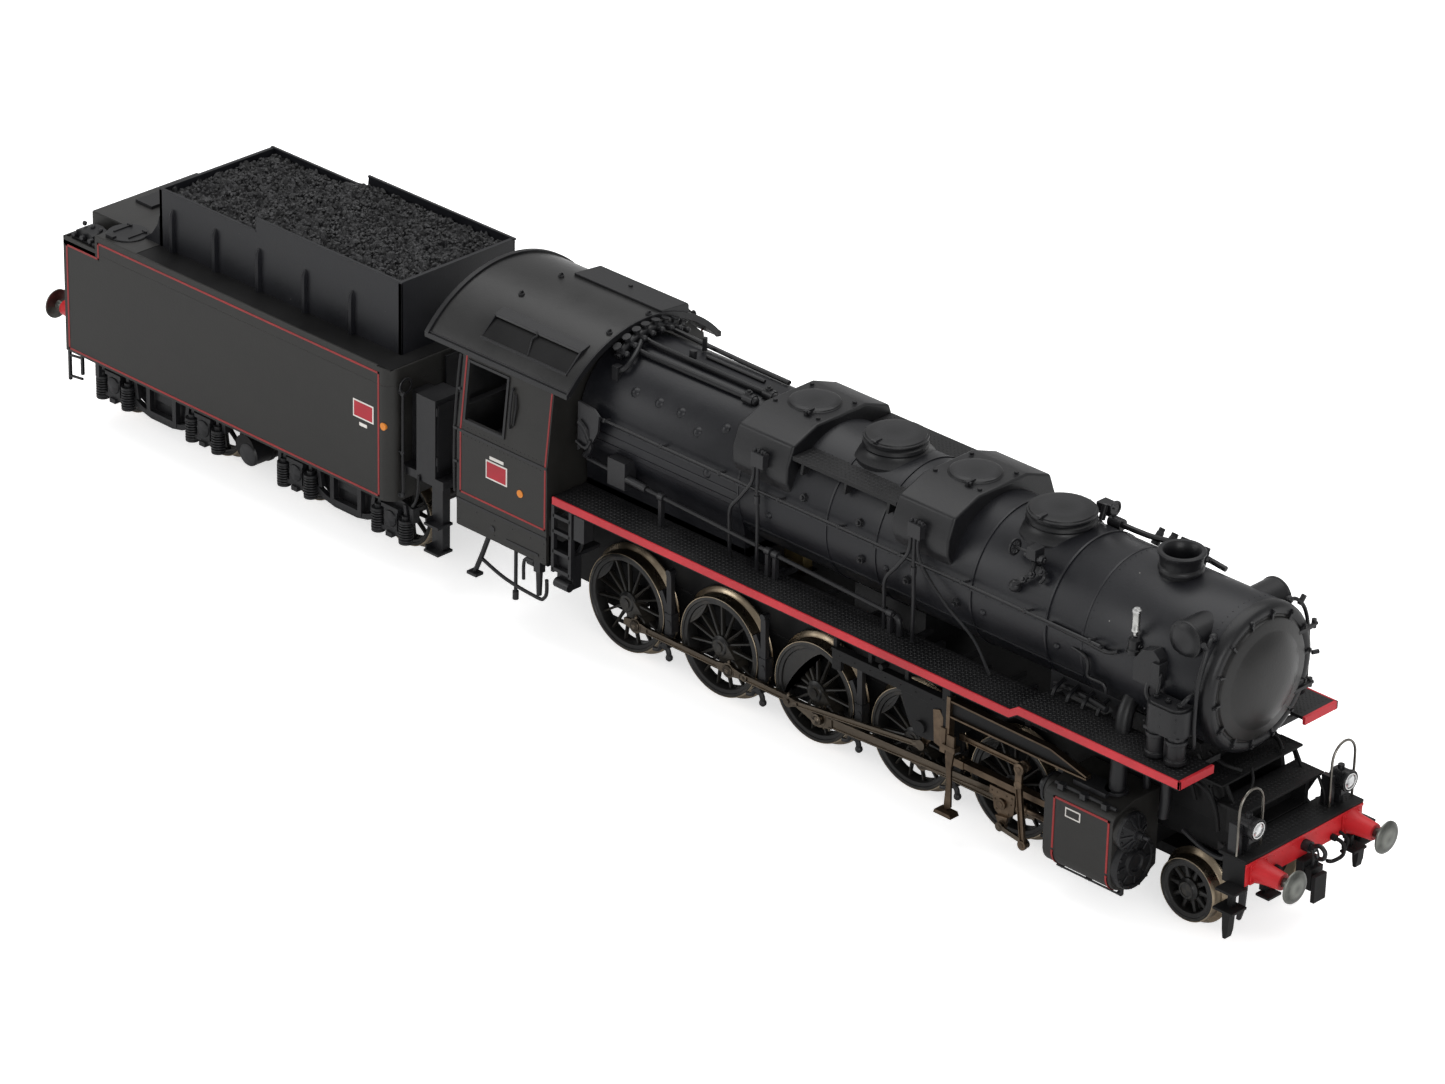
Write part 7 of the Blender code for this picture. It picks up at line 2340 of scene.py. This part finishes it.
def bogie(name, centre):
    """One tender truck with axle boxes, springs and brakes."""
    body = f"{name}_bogie"
    frame_shape = Shape()
    for side in SIDES.values():
        upper = [
            (centre + x, z) for x,
            z in (
                (-15.2, 8.6), (-15.4, 7.2), (-12.9, 7.4), (-8.6, 8.6), (-3.6, 9.9), (3.6, 9.9), (8.6, 8.6),
                (12.9, 7.4), (15.4, 7.2), (15.2, 8.6), (9.0, 10.2), (4.0, 11.0), (-4.0, 11.0), (-9.0, 10.2),
            )
        ]
        frame_shape.prism(upper, "XZ", on_side(side, (11.7, 12.5)))
        lower = [
            (centre + x, z) for x,
            z in (
                (-15.2, 7.4), (-8.4, 5.6), (-4.6, 3.9), (-2.6, 3.4), (2.6, 3.4), (4.6, 3.9), (8.4, 5.6),
                (15.2, 7.4), (15.2, 6.6), (8.8, 4.7), (4.9, 3.0), (2.6, 2.5), (-2.6, 2.5), (-4.9, 3.0),
                (-8.8, 4.7), (-15.2, 6.6),
            )
        ]
        frame_shape.prism(lower, "XZ", on_side(side, (11.7, 12.6)))
        outer = [(centre + x, z) for x, z in ((-3.6, 3.0), (3.6, 3.0), (3.6, 10.4), (-3.6, 10.4))]
        inner = [(centre + x, z) for x, z in ((-2.7, 3.9), (2.7, 3.9), (2.7, 9.4), (-2.7, 9.4))]
        frame_shape.frame(outer, inner, "XZ", on_side(side, (11.7, 12.7)))
        # Plate behind the frame's windows: fills them dark, standing in for the gear and the shade seen through
        # them.
        web = [
            (centre + x, z) for x,
            z in (
                (-8.6, 5.2), (-4.8, 3.4), (-2.6, 2.9), (2.6, 2.9), (4.8, 3.4), (8.6, 5.2), (8.6, 9.0),
                (4.0, 10.4), (-4.0, 10.4), (-8.6, 9.0),
            )
        ]
        frame_shape.prism(web, "XZ", on_side(side, (10.8, 11.2)))
        frame_shape.box((centre - 4.4, centre + 4.4), on_side(side, (11.6, 12.4)), (9.6, 10.8))
        for x in (-6.6, 6.6):
            frame_shape.bar((centre + x, 9.6), (centre + x * 0.9, 4.8), 0.4, 0.4, on_side(side, (11.8, 12.6)))
        frame_shape.box((centre - 15.6, centre - 14.8), on_side(side, (11.4, 12.8)), (6.2, 8.8))
        frame_shape.box((centre + 14.8, centre + 15.6), on_side(side, (11.4, 12.8)), (6.2, 8.8))
        for offset in (-BOGIE_HALF_BASE, BOGIE_HALF_BASE):
            x = centre + offset
            frame_shape.box((x - 1.5, x + 1.5), on_side(side, (12.0, 13.3)), (3.9, 7.6))
            frame_shape.wheel(
                [(0, 13.75), (0.9, 13.7), (1.35, 13.5), (1.5, 13.2), (0, 13.2)], (x, TENDER_RADIUS), side, 32,
            )
            frame_shape.box((x - 1.9, x + 1.9), on_side(side, (12.2, 13.5)), (7.3, 8.0))
            frame_shape.box((x - 2.2, x + 2.2), on_side(side, (12.2, 13.3)), (3.3, 4.0))
            frame_shape.box((x - 0.7, x + 0.7), on_side(side, (12.6, 13.7)), (2.7, 3.5))
            for dx in (-3.1, 3.1):
                for k in range(7):
                    frame_shape.turned(
                        [(0.62, -0.16), (1.12, -0.16), (1.2, 0), (1.12, 0.16), (0.62, 0.16)],
                        (x + dx, side * 12.9, 3.1 + k * 0.46), "Z", 24, ring=True,
                    )
                frame_shape.cyl((x + dx, side * 12.9, 2.7), (x + dx, side * 12.9, 7.2), 0.6, n=14)
                frame_shape.cyl((x + dx, side * 12.9, 2.5), (x + dx, side * 12.9, 2.9), 1.15, n=20)
                frame_shape.cyl((x + dx, side * 12.9, 6.1), (x + dx, side * 12.9, 6.6), 1.15, n=20)
                frame_shape.bar((x + dx, 6.6), (x + dx * 0.9, 8.9), 0.35, 0.3, on_side(side, (12.2, 12.9)))
            for dx in (-6.6, 6.6):
                if abs(offset + dx) < BOGIE_HALF_BASE:
                    brake = x + dx
                    frame_shape.bar((brake, 9.4), (brake - dx * 0.02, 4.4), 0.3, 0.3, on_side(side, (8.6, 9.3)))
                    frame_shape.prism(
                        [(brake - 0.35, 7.8), (brake + 0.35, 7.8), (brake + 0.35, 4.4), (brake - 0.35, 4.4)],
                        "XZ", on_side(side, (8.2, 9.6)),
                    )
    frame_shape.box((centre - 2.6, centre + 2.6), (-11.7, 11.7), (5.7, 8.1))
    frame_shape.box((centre - 9.6, centre + 9.6), (-6.3, 6.3), (4.0, 9.0))
    frame_shape.cyl((centre, 0, 8.0), (centre, 0, 8.95), 1.6, n=32)
    frame_shape.done(f"{name}_bogie_detail", FITTING, body, "underframe_black", bevel=0.05, nodes=(body,))


# ---------------------------------------------------------------- CAD pieces that stay in view
def finish_kept():
    """Paints the CAD pieces that stay in view."""
    kept = {
        "main_frame": MATT, "motor_can": STEEL, "motor_shaft": STEEL, "worm_wheel": BRASS, "pony_truck": MATT,
        "drawbar": STEEL, "tender_frame": MATT, "cab_body": SIDE_BLACK_LIT,
    }
    for name, material in kept.items():
        obj = bpy.data.objects[name]
        obj.data.materials.clear()
        obj.data.materials.append(material)


# ---------------------------------------------------------------- studio
def camera():
    """The view of the photograph."""
    right = Vector((math.cos(AZIMUTH), math.sin(AZIMUTH), 0))
    back = Vector(
        (math.sin(AZIMUTH) * math.cos(ELEVATION), -math.cos(AZIMUTH) * math.cos(ELEVATION), math.sin(ELEVATION))
    )
    up = back.cross(right)
    turned_right = right * math.cos(ROLL) + up * math.sin(ROLL)
    turned_up = up * math.cos(ROLL) - right * math.sin(ROLL)
    matrix = Matrix((turned_right, turned_up, back)).transposed().to_4x4()
    matrix.translation = AIM + back * DISTANCE
    data = bpy.data.cameras.new("camera")
    data.lens = LENS_MM
    data.sensor_width = SENSOR_MM
    data.clip_start, data.clip_end = CLIP_NEAR, CLIP_FAR
    obj = bpy.data.objects.new("camera", data)
    obj.matrix_world = matrix
    bpy.context.scene.collection.objects.link(obj)
    bpy.context.scene.camera = obj


def area_light(name, place, aim, size, power):
    """A rectangular light that faces its aim."""
    data = bpy.data.lights.new(name, "AREA")
    data.shape = "RECTANGLE"
    data.size, data.size_y = size
    data.energy = power
    obj = bpy.data.objects.new(name, data)
    obj.location = place
    obj.rotation_euler = (Vector(aim) - Vector(place)).to_track_quat("-Z", "Y").to_euler()
    bpy.context.scene.collection.objects.link(obj)


def studio():
    """White floor, lights and sky."""
    bpy.ops.mesh.primitive_plane_add(size=FLOOR_SIZE, location=(0, 0, -FLOOR_DROP))
    floor = bpy.context.object
    floor.name = "floor"
    material, tree, shader, coords = new_material("floor_white")
    faint = noise_node(tree, coords, 3.0, 2.0)
    base = mix(tree, spread(tree, faint, 0.3, 0.7), (0.95, 0.95, 0.95), (0.97, 0.97, 0.97))
    link(tree, base, shader.inputs["Base Color"])
    shader.inputs["Roughness"].default_value = 0.9
    shader.inputs["Emission Color"].default_value = (1, 1, 1, 1)
    seen = tree.nodes.new("ShaderNodeLightPath")
    link(
        tree, maths(tree, "MULTIPLY", seen.outputs["Is Camera Ray"], FLOOR_GLOW),
        shader.inputs["Emission Strength"],
    )
    floor.data.materials.append(material)
    for light in LIGHTS:
        area_light(*light)
    world = bpy.data.worlds.new("studio_world")
    world.use_nodes = True
    sky = world.node_tree.nodes["Background"]
    sky.inputs["Color"].default_value = (1, 1, 1, 1)
    sky.inputs["Strength"].default_value = SKY_GLOW
    bpy.context.scene.world = world
    bpy.context.scene.view_settings.view_transform = "Standard"


wheels()
motion()
barrel()
smokebox_front()
chimney_and_domes()
sandboxes()
dome_walkways()
running_boards()
cylinders()
cab_roof()
cab_details()
cab_underside()
turret()
boiler_pipes()
smokebox_fittings()
front_end()
brake_gear()
pony_details()
tender_tank()
tender_front()
coal()
tender_underframe()
for bogie_name, bogie_x in BOGIE_X.items():
    bogie(bogie_name, bogie_x)
finish_kept()
camera()
studio()
